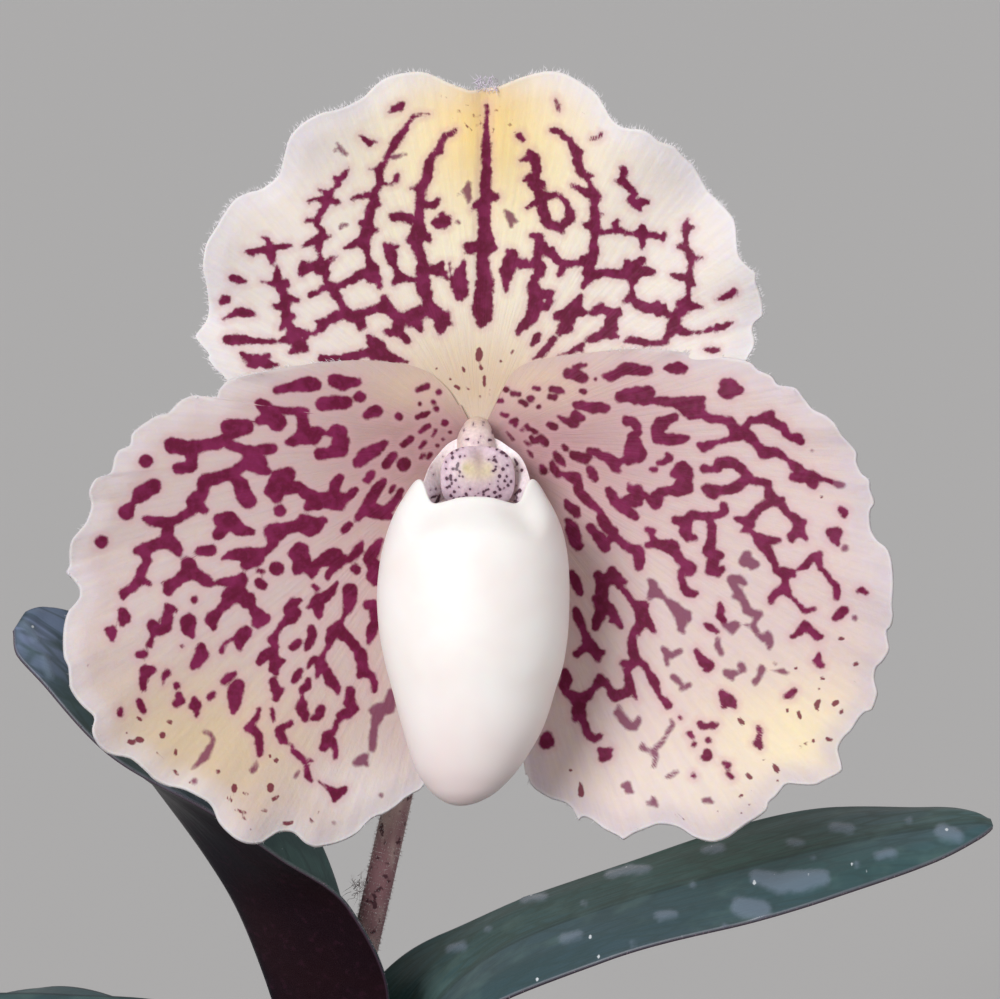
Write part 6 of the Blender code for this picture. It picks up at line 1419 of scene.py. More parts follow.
def dottedSkin(name, look):
    # ground from the tones kept at the points, with the small dots over it
    finish, tree, shader, place = newFinish(name, look["roughness"], **{
        "Subsurface Weight": 0.1, "Subsurface Scale": 0.001})
    tone = keptTone(tree)
    fine = grain(tree, place, 0.16)
    dots = sums(tree, "ADD", kept(tree, "dots"), swing(tree, fine, 0.16))
    shade = spread(tree, fine, 0.3, 0.7, 0.9, 1.04)
    colour = tinge(tree, shaded(tree, tone, shade, shade, shade), paint(*look["halo"]), dots, 0.25, 0.02, 0.3)
    colour = tinge(tree, colour, paint(*look["colour"]), dots, 0.04, -0.05, 0.95)
    tree.links.new(colour, shader.inputs["Base Color"])
    relief(tree, shader, fine, 0.05)
    return finish


def buildShield(look, finish):
    rows = 34
    columns = 96
    share = np.linspace(0, 1, rows)[:, None]
    angle = np.linspace(0, math.tau, columns, endpoint=False)[None]
    square = 1 + look["square"] * np.cos(4 * angle + math.pi) * share
    middleAcross, middleUp, middleOut = look["middle"]
    across = middleAcross + look["halfSize"][0] * share * np.cos(angle) * square
    up = middleUp + look["halfSize"][1] * share * np.sin(angle) * square
    dome = look["dome"] * np.sqrt(np.maximum(1 - (share * 0.97) ** 2, 0))
    hollowAcross, hollowUp, wide, high, deep = look["hollow"]
    hollow = deep * np.exp(-((across - hollowAcross) / wide) ** 2 - ((up - hollowUp) / high) ** 2)
    front = flowerPoint(*seenFromFront(across, up, middleOut + dome - hollow))
    backs = []
    for size in (1, 0.5):
        ring = (middleAcross + (across[-1:] - middleAcross) * size, middleUp + (up[-1:] - middleUp) * size)
        backs.append(flowerPoint(*seenFromFront(*ring, middleOut - look["edgeBack"] + 0 * ring[0])))
    grid = np.concatenate([front[1:], *backs])
    points = np.concatenate([front[:1, 0], grid.reshape(-1, 3)])
    faces = gridFaces(len(grid), columns, 1, closed=True, flip=True)
    for column in range(columns):
        faces.append((0, 1 + column, 1 + (column + 1) % columns))
    faces.append(tuple(1 + (len(grid) - 1) * columns + column for column in reversed(range(columns))))
    flatAcross, flatUp = (np.concatenate([places[:1, 0], places[1:].ravel(), places[-1], places[-1]])
                          for places in (across, up))
    tones = patchTones(look["ground"], look["patches"], flatAcross, flatUp)
    dots = markDistance([[dot] for dot in look["dots"]], flatAcross, flatUp) - look["dotGrowth"]
    meshPiece("staminode_shield", points, faces, finish, ("staminode",), {"dots": dots}, tones)


def sheetFaces(rows, count):
    # two sheets of points, one behind the other, joined all round
    first = rows * count
    faces = gridFaces(rows, count) + gridFaces(rows, count, first, flip=True)
    last = first - count
    for column in range(count - 1):
        low = last + column
        faces.append((column + 1, column, first + column, first + column + 1))
        faces.append((low, low + 1, first + low + 1, first + low))
    for left in range(0, last, count):
        right = left + count - 1
        faces.append((left, left + count, first + left + count, first + left))
        faces.append((right + count, right, first + right, first + right + count))
    return faces


def buildLobes(look, finish):
    # the lip's side lobes, turned in round the shield
    outer = smoothPath(look["outer"], 150)
    rows = 30
    share = np.linspace(0, 1, rows)[:, None]
    across, up = (middle + (line[None] - middle) * (1 - look["drawnIn"] * share)
                  for middle, line in zip(look["middle"], outer.T))
    heights, fronts = np.array(look["front"]).T
    ahead = np.interp(outer[:, 1], heights, fronts)[None]
    wave, turns = look["wave"]
    out = look["back"] + (ahead - look["back"]) * (1 - share) ** 1.05
    out = out + wave * np.sin(np.linspace(0, turns, len(outer)))[None] * (1 - share)
    half = look["thickness"] / 2
    sheets = [flowerPoint(*seenFromFront(across, up, out + side)).reshape(-1, 3) for side in (half, -half)]
    flatAcross = np.tile(across.ravel(), 2)
    flatUp = np.tile(up.ravel(), 2)
    tones = patchTones(look["ground"], look["patches"], flatAcross, flatUp)
    dots = {"dots": markDistance(look["marks"], flatAcross, flatUp)}
    faces = sheetFaces(rows, len(outer))
    meshPiece("lip_lobes", np.concatenate(sheets), faces, finish, (), dots, tones)


def tubeGrid(line, radii, count, sides, ribs=0, ribDepth=0.0):
    # rings of points in mm round a smooth line
    path = smoothPath(line, count)
    sizes = smoothPath([(radius,) for radius in radii], count)[:, 0]
    along = unit(np.gradient(path, axis=0))
    side = np.array((1.0, 0.0, 0.0))
    rings = []
    spokes = np.linspace(0, math.tau, sides, endpoint=False)[:, None]
    for place, way, size in zip(path, along, sizes):
        side = unit(side - way * side.dot(way))
        other = np.cross(way, side)
        swell = size * (1 + ribDepth * np.cos(ribs * spokes))
        rings.append(place + (side * np.cos(spokes) + other * np.sin(spokes)) * swell)
    return np.stack(rings), along


def roundTube(line, radii, count, sides, endRound=0.5, ribs=0, ribDepth=0.0):
    # a closed tube with its ends drawn in over endRound radii
    grid, along = tubeGrid(line, radii, count, sides, ribs, ribDepth)
    caps = []
    tips = []
    for row, hand in ((0, -1), (-1, 1)):
        middle = grid[row].mean(axis=0)
        out = hand * along[row] * radii[row] * endRound
        caps.append([middle + (grid[row] - middle) * math.cos(turn) + out * math.sin(turn)
                     for turn in np.radians((20, 40, 60, 80))])
        tips.append(middle + out)
    grid = np.concatenate([caps[0][::-1], grid, caps[1]])
    points = np.concatenate([tips[:1], grid.reshape(-1, 3), tips[1:]])
    return points, ballFaces(len(grid), sides)


def buildColumn(look, finish):
    points, faces = roundTube(look["line"], look["radii"], count=60, sides=48, endRound=0.8)
    seen = drawnPlace(*points.T)
    tones = patchTones(look["ground"], look["patches"], *seen)
    behind = points[:, 2] < 0
    dots = {"dots": markDistance(look["dots"], *seen) + behind}
    meshPiece("column_neck", flowerPoint(*points.T), faces, finish, ("column",), dots, tones)
    pollen = hairFinish("pollen", look["pollenColour"])
    for hand, name in ((-1, "anther_left"), (1, "anther_right")):
        line = [(hand * across, up, out) for across, up, out in look["antherLine"]]
        points, faces = roundTube(line, look["antherRadii"], count=8, sides=20, endRound=0.9)
        meshPiece(name, flowerPoint(*points.T), faces, pollen)
    points, faces = roundTube(look["stigmaLine"], look["stigmaRadii"], count=8, sides=28)
    dots = {"dots": np.ones(len(points))}
    tones = patchTones(look["stigmaColour"], [], points[:, 0], points[:, 1])
    meshPiece("stigma", flowerPoint(*points.T), faces, finish, (), dots, tones)


buildPouch(pouchLook)
dotted = dottedSkin("dotted_skin", dotLook)
buildShield(shieldLook, dotted)
buildLobes(lobeLook, dotted)
buildColumn(columnLook, dotted)
print("lip, shield and column built")


# Stem, ovary and bract
stemLook = {
    "scape": [(0, 0, 73.3), (-.2, -.9, 79), (-.2, -2.3, 86), (.7, -3.8, 94), (2.7, -4.3, 103),
              (5.4, -3.2, 115), (8.1, -.9, 127.4)],
    "scapeRadii": [1.55, 1.42, 1.4, 1.4, 1.4, 1.4, 1.4],
    "ovary": [(0, 0, -6), (-.3, -1.6, -10.2), (-1.6, -7, -15.3), (-3.5, -14.5, -18.8),
              (-5.7, -24.4, -20.9)],        # in the flower: across, up, out
    "ovaryRadii": [2.1, 2.0, 2.1, 2.1, 1.55],
    "hub": [(0, 0, -7), (0, 0, -5.5), (0, 0, -3.9)],
    "hubRadii": [2.3, 2.5, 2.7],
    "bract": [(8.1, 2.2, 127.2, 2.2, 60, 0), (9.3, 4.8, 133, 5, 60, 0), (11, 6.2, 139, 4.4, 60, 0),
              (12.4, 6.8, 145, .8, 60, 0)],
    "ground": (212, 184, 178),
    "dark": (164, 120, 126),
    "speck": (70, 26, 42),
    "ovaryGround": (140, 112, 96),
    "bractMesh": (70, 16),                  # rows, and columns beside the keel
    "bractGround": (112, 118, 78),
    "bractDown": (214, 200, 196),
    "downColour": (250, 240, 240),
    "fuzz": {"length": (.2, .5), "radius": .032, "spread": .4, "bend": .3, "sink": .1, "seed": 21},
    "scapeFuzz": 6000,                      # hairs
    "ovaryFuzz": 2400,
}
scrapLook = {                               # a torn bit of down caught beside the stem
    "place": (1.7, -4.6, 107.6),
    "hairs": 46,
    "size": 0.45,
    "stretch": (1, 0.6, 1),
    "placeSeed": 4,
    "down": {"length": (0.5, 1.7), "radius": 0.035, "spread": 1.2, "bend": 0.8, "sink": 0.1, "seed": 9},
}


def stemSkin(name, ground, look):
    finish, tree, shader, place = newFinish(name, 0.62, **{"Specular IOR Level": 0.3})
    mottle = grain(tree, stretched(tree, place, (1, 1, 0.35)), 1.6)
    speck = grain(tree, place, 0.5, 2.0)
    colour = tinge(tree, paint(*ground), paint(*look["dark"]), mottle, 0.38, 0.62)
    colour = tinge(tree, colour, paint(*look["speck"]), speck, 0.6, 0.68, 0.85)
    tree.links.new(colour, shader.inputs["Base Color"])
    relief(tree, shader, grain(tree, place, 0.35), 0.08)
    return finish


def fuzzOver(name, points, centres, ends, count, look, finish):
    # hairs standing out all round a tube given by its points
    draw = np.random.default_rng(look["seed"])
    picks = draw.choice(np.arange(ends, len(points) - ends), count)
    roots = points[picks]
    line = centres[np.argmin(np.linalg.norm(roots[:, None] - centres[None], axis=2), axis=1)]
    addHairs(name, roots, unit(roots - line), look, finish)


def buildStem(look):
    skin = stemSkin("scape_skin", look["ground"], look)
    points, faces = roundTube(look["scape"], look["scapeRadii"], count=200, sides=36, endRound=0.4,
                              ribs=5, ribDepth=0.015)
    points = points * mm
    meshPiece("scape_stalk", points, faces, skin, ("scape",))
    pale = hairFinish("stem_down", look["downColour"])
    centres = smoothPath(look["scape"], 60) * mm
    fuzzOver("scape_hairs", points, centres, 200, look["scapeFuzz"], look["fuzz"], pale)
    skin = stemSkin("ovary_skin", look["ovaryGround"], look)
    points, faces = roundTube(look["ovary"], look["ovaryRadii"], count=120, sides=48, ribs=6, ribDepth=0.07)
    points = flowerPoint(*points.T)
    meshPiece("ovary_body", points, faces, skin, ("ovary",))
    centres = flowerPoint(*smoothPath(look["ovary"], 50).T)
    fuzzOver("ovary_hairs", points, centres, 260, look["ovaryFuzz"], look["fuzz"], pale)
    points, faces = roundTube(look["hub"], look["hubRadii"], count=16, sides=40, endRound=0.15)
    meshPiece("flower_hub", flowerPoint(*points.T), faces, skin)
    addScrap(scrapLook, pale)


def addScrap(look, finish):
    draw = np.random.default_rng(look["placeSeed"])
    heart = np.array(look["place"]) * mm
    roots = heart + draw.normal(0, look["size"], (look["hairs"], 3)) * mm * look["stretch"]
    addHairs("down_scrap", roots, roots - heart, look["down"], finish)


# Leaves: keel place, half width, fold and roll along each, in mm and degrees
leaves = {
    "leaf_right_1": {
        "heading": 0,
        "stations": [
            (4.6, 0, 73.3, 2.8, 35, 0), (5.6, -1.5, 84, 4.8, 50, 10), (7.8, -3.4, 90, 10.2, 64, 18),
            (10.4, -5.4, 96, 11.6, 82, 8), (17, -6.8, 101.8, 12.4, 89.5, 3),
            (27, -8.3, 106.2, 13.2, 92, 1), (39, -9.7, 110.2, 12.8, 93, 3),
            (50, -11.4, 113.5, 11, 92, 3), (59, -12.5, 115.4, 7.2, 92, 2),
            (63.2, -13, 116, 3.8, 92, 1), (64.8, -13.1, 116.1, 1.2, 92, 1)],
        "drops": [
            [(27, -42.6, .8), (29, -43.2, 1.0), (31, -43, 1.1), (33.4, -42.6, .7)],
            [(25.3, -45.4, .9), (27.5, -45.6, .9)], [(44.8, -38.3, .8), (46.2, -38.6, .6)],
            [(34.3, -37.8, .5), (35.9, -38, .5)], [(4.6, -44.4, .6), (6.4, -44.4, .5)],
            [(12.8, -42.2, .6), (14.8, -41.8, .7), (16.4, -41.9, .5)],
            [(22.1, -40, .5), (23.4, -39.9, .6)], [(38.6, -40.6, .4), (40, -40.3, .5)],
            [(30.2, -39.3, .4), (31.4, -39.4, .35)], [(17.6, -46.4, .5), (19, -46.2, .4)],
            [(8.4, -48.6, .5), (9.8, -48.2, .5)], [(-2.4, -49.4, .45), (-1.2, -49.2, .5)],
            [(20.8, -43.4, .35)], [(41.6, -37.2, .35)], [(10.4, -45.2, .3)], [(36.6, -41.4, .3)],
            [(1.2, -47.6, .35)], [(23.8, -47, .3)], [(15, -48.8, .3)], [(32.4, -40.8, .25)]],
        "sparkles": [
            (26.8, -43.2, .22), (11.6, -50, .2), (10.4, -42.2, .16), (36.2, -41.4, .18),
            (37.6, -41.9, .16), (5.8, -52.2, .18), (19.5, -48, .16), (11, -48.4, .2),
            (28.8, -42.4, .14), (32.1, -42.5, .16), (45.2, -38.2, .16), (25.1, -45.1, .14),
            (14.4, -41.5, .14), (22.6, -39.7, .12), (5.2, -44.1, .13), (18.4, -46, .12)],
        "patches": [
            (24, -39.5, 22, 4.2, .5, (44, 106, 80)), (0, -44, 9, 6, .4, (50, 98, 84)),
            # these two are a painted bluish sheen over the leaf's lower half
            (22, -50, 24, 5, .7, (60, 86, 98)), (40, -37.6, 9, 2.6, .45, (98, 122, 136))],
    },
    "leaf_left_1": {
        "heading": 180,
        "stations": [
            (-4.6, 0, 73.3, 2.8, 35, 0), (-5.3, -1.4, 84, 5.6, 46, 0), (-5.8, -2.9, 90, 8.2, 40, 4),
            (-6.7, -4.2, 95.8, 12.8, 39, 8), (-9.8, -6.2, 105.3, 14, 44, 3),
            (-13.2, -8.2, 112.1, 13.6, 54, -3), (-17.4, -10, 118.9, 12, 64, -8),
            (-21.9, -11.2, 125.9, 9.4, 77, -19), (-26.6, -11.8, 132.4, 6.6, 84, -24),
            (-30, -12, 135.2, 4.3, 88, -26), (-31.3, -12.1, 136.2, 1.6, 88, -26)],
        "drops": [[(-44, -18, .4), (-42.8, -19.6, .5)], [(-42, -21.4, .4), (-41.4, -23, .4)]],
        "sparkles": [(-43.2, -18.4, .14), (-16.6, -41.6, .15), (-19.2, -39.4, .12)],
        "patches": [
            # all three are painted light: a bluish highlight at the tip, the far half lit up where it lies in
            # shade, and a bluish sheen on a strip
            (-43, -19, 6, 6, .9, (150, 164, 206)), (-17, -41, 6, 6, .9, (104, 152, 138)),
            (-28, -35, 6, 3, .9, (128, 142, 166))],
    },
    "leaf_right_2": {
        "heading": 0,
        "stations": [
            (7.6, 0, 73.3, 2.8, 35, 0), (11, -1, 80.6, 7, 46, 0), (20, -3, 85, 11, 62, 0),
            (34, -5, 87, 13, 74, -2), (50, -6.6, 86.4, 13.2, 82, -4), (65, -8.4, 82.6, 11.4, 86, 0),
            (76, -10, 78, 8, 88, 4), (81.5, -10.8, 75.4, 4.4, 88, 4), (83, -11, 74.6, 1.2, 88, 4)],
    },
    "leaf_left_2": {
        "heading": 180,
        "stations": [
            (-7.6, 0, 73.3, 2.8, 35, 0), (-11.4, 1, 81, 7, 46, 0), (-19.5, 2, 85.6, 11, 62, 0),
            (-31, 2, 87, 13.2, 76, 0), (-46, 0, 86.6, 13.4, 85, -4), (-60, -3, 84.4, 11.8, 86, -6),
            (-72, -5, 81, 8, 88, -6), (-77.4, -6, 78.8, 4.4, 88, -6), (-79, -6.2, 78.2, 1.2, 88, -6)],
    },
    "leaf_right_3": {
        "heading": -43,
        "stations": [
            (11.6, -1.2, 73.3, 2.2, 40, 0), (15.5, -4.2, 77, 4.6, 52, 0), (22.5, -12, 80.6, 8, 66, 0),
            (32, -25.5, 83, 10.4, 82, 0), (41, -36, 81.2, 10, 87, 0), (48, -44.6, 76, 7.2, 88, 0),
            (51, -48.6, 72.4, 4.2, 88, 0), (52, -49.8, 71.4, 1.2, 88, 0)],
    },
    "leaf_left_3": {
        "heading": 137,
        "stations": [
            (-11.6, 1.2, 73.3, 2.2, 40, 0), (-15.5, 4.2, 77, 4.6, 52, 0), (-22.5, 12, 80.6, 8, 66, 0),
            (-33, 24.5, 83.6, 11, 80, 0), (-44.5, 35.5, 82.6, 11, 87, 0), (-54, 44.5, 78.4, 8, 88, 0),
            (-58, 48.4, 75.8, 4.4, 88, 0), (-59.2, 49.6, 75, 1.2, 88, 0)],
    },
}
leafLook = {
    "mesh": {"near": (230, 26), "far": (110, 12)},  # rows, and columns beside the keel
    "thickness": (1.15, 0.4),               # at the keel and at the margin
    "ripple": (0.35, 7.0),                  # height of the margin's waves, and mm along for a radian
    "dropHeight": 0.12,
    "net": (0.22, 0.55),                    # cells to a mm along the leaf and across it
    "veins": (0.05, 1.8),
    "ground": (41, 80, 80),
    "netColour": (34, 62, 48),
    "keelColour": (40, 62, 54),
    "edgeColour": (104, 106, 116),
    # painted reflection in the water drops
    "dropReflection": (122, 140, 160),
    "sheenedHalf": (62, 86, 100),             # the half with a painted bluish-grey sheen; the next is a painted shade line along its fold
    "creaseShade": (26, 50, 50),
    "veinColour": (96, 122, 110),
    "hazeColour": (88, 118, 114),
    "glint": (236, 244, 250),
    "under": (30, 9, 19),
    "underDark": (26, 8, 20),
    "underPale": (58, 22, 42),
    "underEdge": (84, 62, 80),
    "teethColour": (126, 108, 122),
    "teeth": {"length": (.12, .34), "radius": .07, "spread": .25, "bend": .1, "sink": .1, "seed": 31,
              "perMm": 2.6, "bareRows": 12},
}


def leafSkin(look):
    finish, tree, shader, place = newFinish("leaf_skin", 0.4, **{
        "Specular IOR Level": 0.45, "Coat Weight": 0.12, "Coat Roughness": 0.3})
    tone = keptTone(tree)
    run, side, edge, drops = (kept(tree, key) for key in ("run", "side", "edge", "drops"))
    flat = flatPlace(tree, run, side, look["net"])
    cells = addNode(tree, "ShaderNodeTexVoronoi", {"Vector": flat, "Scale": 1.0},
                    feature="DISTANCE_TO_EDGE").outputs["Distance"]
    clouds = grain(tree, place, 5.0)
    fine = grain(tree, place, 0.5)
    veins = streaks(tree, flatPlace(tree, run, side, look["veins"]), 2.0)
    colour = tinge(tree, tone, paint(*look["netColour"]), cells, 0.16, 0.02, 0.5)
    colour = tinge(tree, colour, paint(*look["netColour"]), clouds, 0.42, 0.66, 0.35)
    colour = tinge(tree, colour, paint(*look["veinColour"]), veins, 0.4, 0.7, 0.08)
    # painted bluish sheen over one half of the leaf, and painted shade along the fold line beside the keel
    colour = tinge(tree, colour, paint(*look["sheenedHalf"]), side, 0.9, 1.6, 0.42)
    besideCrease = sums(tree, "ABSOLUTE", sums(tree, "SUBTRACT", side, 1.0))
    colour = tinge(tree, colour, paint(*look["creaseShade"]), besideCrease, 0.5, 0.1, 0.6)
    colour = tinge(tree, colour, paint(*look["hazeColour"]), grain(tree, place, 2.6), 0.5, 0.72, 0.5)
    keel = sums(tree, "ABSOLUTE", side)
    colour = tinge(tree, colour, paint(*look["keelColour"]), keel, 0.9, 0.1, 0.55)
    # the drops' bluish colour is a painted reflection; their lower roughness is real gloss
    wetAndReflection = spread(tree, sums(tree, "ADD", drops, swing(tree, fine, 0.5)), 0.25, -0.45, 0, 0.66)
    colour = blend(tree, wetAndReflection, colour, paint(*look["dropReflection"]))
    colour = tinge(tree, colour, paint(*look["glint"]), kept(tree, "sparkles"), 0.05, -0.05)
    colour = tinge(tree, colour, paint(*look["edgeColour"]), edge, 0.22, 0.05, 0.5)
    below = tinge(tree, paint(*look["under"]), paint(*look["underDark"]), clouds, 0.4, 0.62)
    below = tinge(tree, below, paint(*look["underPale"]), fine, 0.56, 0.7, 0.35)
    below = tinge(tree, below, paint(*look["underEdge"]), edge, 0.22, 0.05, 0.6)
    beads = sums(tree, "MULTIPLY", spread(tree, keel, 0.4, 0.1, 0, 0.8), spread(tree, fine, 0.48, 0.56))
    below = blend(tree, beads, below, paint(*look["underEdge"]))
    colour = blend(tree, kept(tree, "top"), below, colour)
    tree.links.new(colour, shader.inputs["Base Color"])
    rough = sums(tree, "SUBTRACT", 0.42, sums(tree, "MULTIPLY", wetAndReflection, 0.4))
    tree.links.new(sums(tree, "ADD", rough, sums(tree, "MULTIPLY", fine, 0.1)), shader.inputs["Roughness"])
    under = relief(tree, shader, veins, 0.045)
    relief(tree, shader, fine, 0.04, under)
    return finish


def leafGrid(look, rows, steps):
    # keel places and the spread of both halves at each step along a leaf
    line = smoothPath(look["stations"], rows)
    keel = line[:, :3]
    half, fold, roll = line[:, 3], np.radians(line[:, 4]), np.radians(line[:, 5])
    heading = math.radians(look["heading"])
    facing = np.array((-math.cos(heading), -math.sin(heading), 1.0))
    along = unit(np.gradient(keel, axis=0))
    inner = unit(facing - along * (along @ facing)[:, None])
    across = np.cross(along, inner)
    halves = []
    for hand in (-1, 1):
        angle = (hand * fold + roll)[:, None]
        halves.append(inner * np.cos(angle) + across * np.sin(angle))
    side = np.linspace(-1, 1, 2 * steps + 1)
    side = np.sign(side) * (1 - (1 - abs(side)) ** 1.25)
    soft = 0.1
    risen = (np.sqrt(side ** 2 + soft ** 2) - soft) / (math.sqrt(1 + soft ** 2) - soft)
    mean = (halves[0] + halves[1])[:, None] / 2 * risen[:, None]
    turn = (halves[1] - halves[0])[:, None] / 2 * side[:, None]
    grid = keel[:, None] + half[:, None, None] * (mean + turn)
    run = np.concatenate([[0], np.cumsum(np.linalg.norm(np.diff(keel, axis=0), axis=1))])
    return grid, side, half, run


def seenPlace(points):
    # across and up in the picture plane of points in metres
    local = points / mm - flowerCentre
    return drawnPlace(*(local @ axis for axis in (flowerRight, flowerUp, flowerOut)))


def overUnder(top, below):
    # rows that run over the upper side of a blade and back under it
    return np.concatenate([top, below[:, ::-1]], axis=1)


def buildLeaf(name, look, finish):
    rows, steps = leafLook["mesh"]["near" if "patches" in look else "far"]
    grid, side, half, run = leafGrid(look, rows, steps)
    normal = unit(np.cross(np.gradient(grid, axis=1), np.gradient(grid, axis=0)))
    height, length = leafLook["ripple"]
    ripple = height * np.sin(run / length)[:, None] * abs(side) ** 4 * smoothStep(2, 9, half)[:, None]
    grid = grid + normal * ripple[..., None]
    keelThick, edgeThick = leafLook["thickness"]
    thick = edgeThick + (keelThick - edgeThick) \
        * smoothStep(1.0, 0.55, abs(side))[None] * smoothStep(0.8, 4, half)[:, None]
    edge = (1 - abs(side))[None] * half[:, None]
    seen = seenPlace((grid * mm).reshape(-1, 3))
    drops = markDistance(look.get("drops", []), *seen).reshape(edge.shape)
    sparkles = markDistance([[spot] for spot in look.get("sparkles", [])], *seen).reshape(edge.shape)
    bulge = leafLook["dropHeight"] * np.sqrt(smoothStep(0.05, -0.7, drops))
    ring = overUnder(grid + normal * (thick / 2 + bulge)[..., None], grid - normal * (thick / 2)[..., None])
    values = {"top": overUnder(np.ones(edge.shape), np.zeros(edge.shape))}
    grids = {"run": run[:, None], "side": side[None] * half[:, None], "edge": edge, "drops": drops,
             "sparkles": sparkles}
    for key, numbers in grids.items():
        numbers = np.broadcast_to(numbers, edge.shape)
        values[key] = overUnder(numbers, numbers)
    tones = patchTones(leafLook["ground"], look.get("patches", []), *seen).reshape(*edge.shape, 3)
    meshPiece(name + "_blade", ring.reshape(-1, 3) * mm, barFaces(*ring.shape[:2]), finish, (name,),
              values, overUnder(tones, tones).reshape(-1, 3))
    return grid


def addTeeth(name, grid, look, finish):
    # teeth along both margins, but none near the foot
    picked = []
    for column, beside in ((0, 1), (-1, -2)):
        line = grid[look["bareRows"]:-2, column]
        outward = unit(line - grid[look["bareRows"]:-2, beside])
        picked.append(alongEdge(line * mm, outward, look["perMm"], np.random.default_rng(look["seed"])))
    roots, ways = (np.concatenate(parts) for parts in zip(*picked))
    addHairs(name + "_teeth", roots, ways, look, finish)


def buildLeaves():
    skin = leafSkin(leafLook)
    rim = hairFinish("leaf_rim", leafLook["teethColour"])
    for name, look in leaves.items():
        addTeeth(name, buildLeaf(name, look, skin), leafLook["teeth"], rim)
    buildBract(stemLook)


def buildBract(look):
    grid, side = leafGrid({"heading": -90, "stations": look["bract"]}, *look["bractMesh"])[:2]
    normal = unit(np.cross(np.gradient(grid, axis=1), np.gradient(grid, axis=0)))
    thick = (0.2 + 0.4 * smoothStep(1.0, 0.3, abs(side)))[None, :, None]
    ring = overUnder(grid + normal * thick / 2, grid - normal * thick / 2)
    skin = stemSkin("bract_skin", look["bractGround"], look)
    meshPiece("bract_blade", ring.reshape(-1, 3) * mm, barFaces(*ring.shape[:2]), skin, ("bract",))
    addTeeth("bract", grid, leafLook["teeth"], hairFinish("bract_down", look["bractDown"]))


# Pot, bark and crown
potLook = {
    "outer": [(27.6, 0), (28.4, .15), (29, 1), (29.5, 4), (38.1, 64.6), (38.3, 65.1), (39.6, 65.5),
              (40.2, 66.2), (40.35, 67), (41.9, 78.4), (41.75, 79.3), (41.2, 79.85), (40.6, 80)],
    "inner": [(37.6, 80), (36.7, 79.7), (36.05, 78.9), (35.6, 77), (25.75, 7.2), (25, 6.2), (23.5, 6)],
    "unevenRound": 0.0016,                  # shares of the radius
    "unevenUp": 0.0009,
    "drainRadius": 3.5,
    "drainRing": 15,
    "drains": 4,
    "clay": (178, 104, 72),
    "clayDark": (140, 76, 54),
    "clayPale": (206, 142, 108),
    "bloom": (206, 186, 168),
    "damp": (118, 66, 48),
}
barkLook = {
    "top": 73.2,
    "radius": 34.5,
    "footRadius": 25.0,
    "foot": 6.4,
    "slope": 2.2,                           # how far the bed falls at its edge
    "bumps": 0.4,
    "chips": 250,
    "chipLength": (4.5, 11.5),
    "chipThickness": 0.26,                  # share of the length
    "grit": 60,
    "gritLength": (1.4, 2.6),
    "seed": 17,
    "colours": ((62, 40, 28), (112, 70, 44)),
    "crack": (42, 27, 20),
    "worn": (150, 112, 82),
    "gritColour": (206, 200, 190),
    "crown": (15.5, 5.6),                   # left clear round the crown
}


def claySkin(look):
    finish, tree, shader, place = newFinish("clay_skin", 0.85, **{"Specular IOR Level": 0.25})
    up = addNode(tree, "ShaderNodeSeparateXYZ", {0: place}).outputs["Z"]
    rings = streaks(tree, stretched(tree, place, (6, 6, 900)), 3.0)
    clouds = grain(tree, place, 14.0, 4.0)
    fine = grain(tree, place, 0.7, 4.0, 0.6)
    colour = tinge(tree, paint(*look["clay"]), paint(*look["clayDark"]), clouds, 0.35, 0.65, 0.7)
    colour = tinge(tree, colour, paint(*look["clayPale"]), fine, 0.55, 0.72, 0.35)
    salt = sums(tree, "MULTIPLY", spread(tree, clouds, 0.46, 0.66), spread(tree, up, 0.078, 0.045))
    colour = blend(tree, sums(tree, "MULTIPLY", salt, 0.55), colour, paint(*look["bloom"]))
    wetLine = sums(tree, "ADD", up, sums(tree, "MULTIPLY", clouds, 0.02))
    colour = tinge(tree, colour, paint(*look["damp"]), wetLine, 0.03, 0.012, 0.4)
    tree.links.new(colour, shader.inputs["Base Color"])
    under = relief(tree, shader, rings, 0.35)
    relief(tree, shader, fine, 0.2, under)
    return finish


def lathe(profile, sides):
    # a solid turned round the upright axis from (radius, height) pairs
    angle = np.linspace(0, math.tau, sides, endpoint=False)
    radius, height = np.array(profile, dtype=float).T
    points = np.stack([radius[:, None] * np.cos(angle), radius[:, None] * np.sin(angle),
                       np.broadcast_to(height[:, None], (len(profile), sides))], axis=-1)
    return points.reshape(-1, 3), barFaces(len(profile), sides)


def finerProfile(points, step):
    made = []
    for start, end in zip(points, points[1:]):
        count = max(1, int(math.dist(start, end) / step))
        for index in range(count):
            share = index / count
            made.append(tuple(a + (b - a) * share for a, b in zip(start, end)))
    return made + [points[-1]]


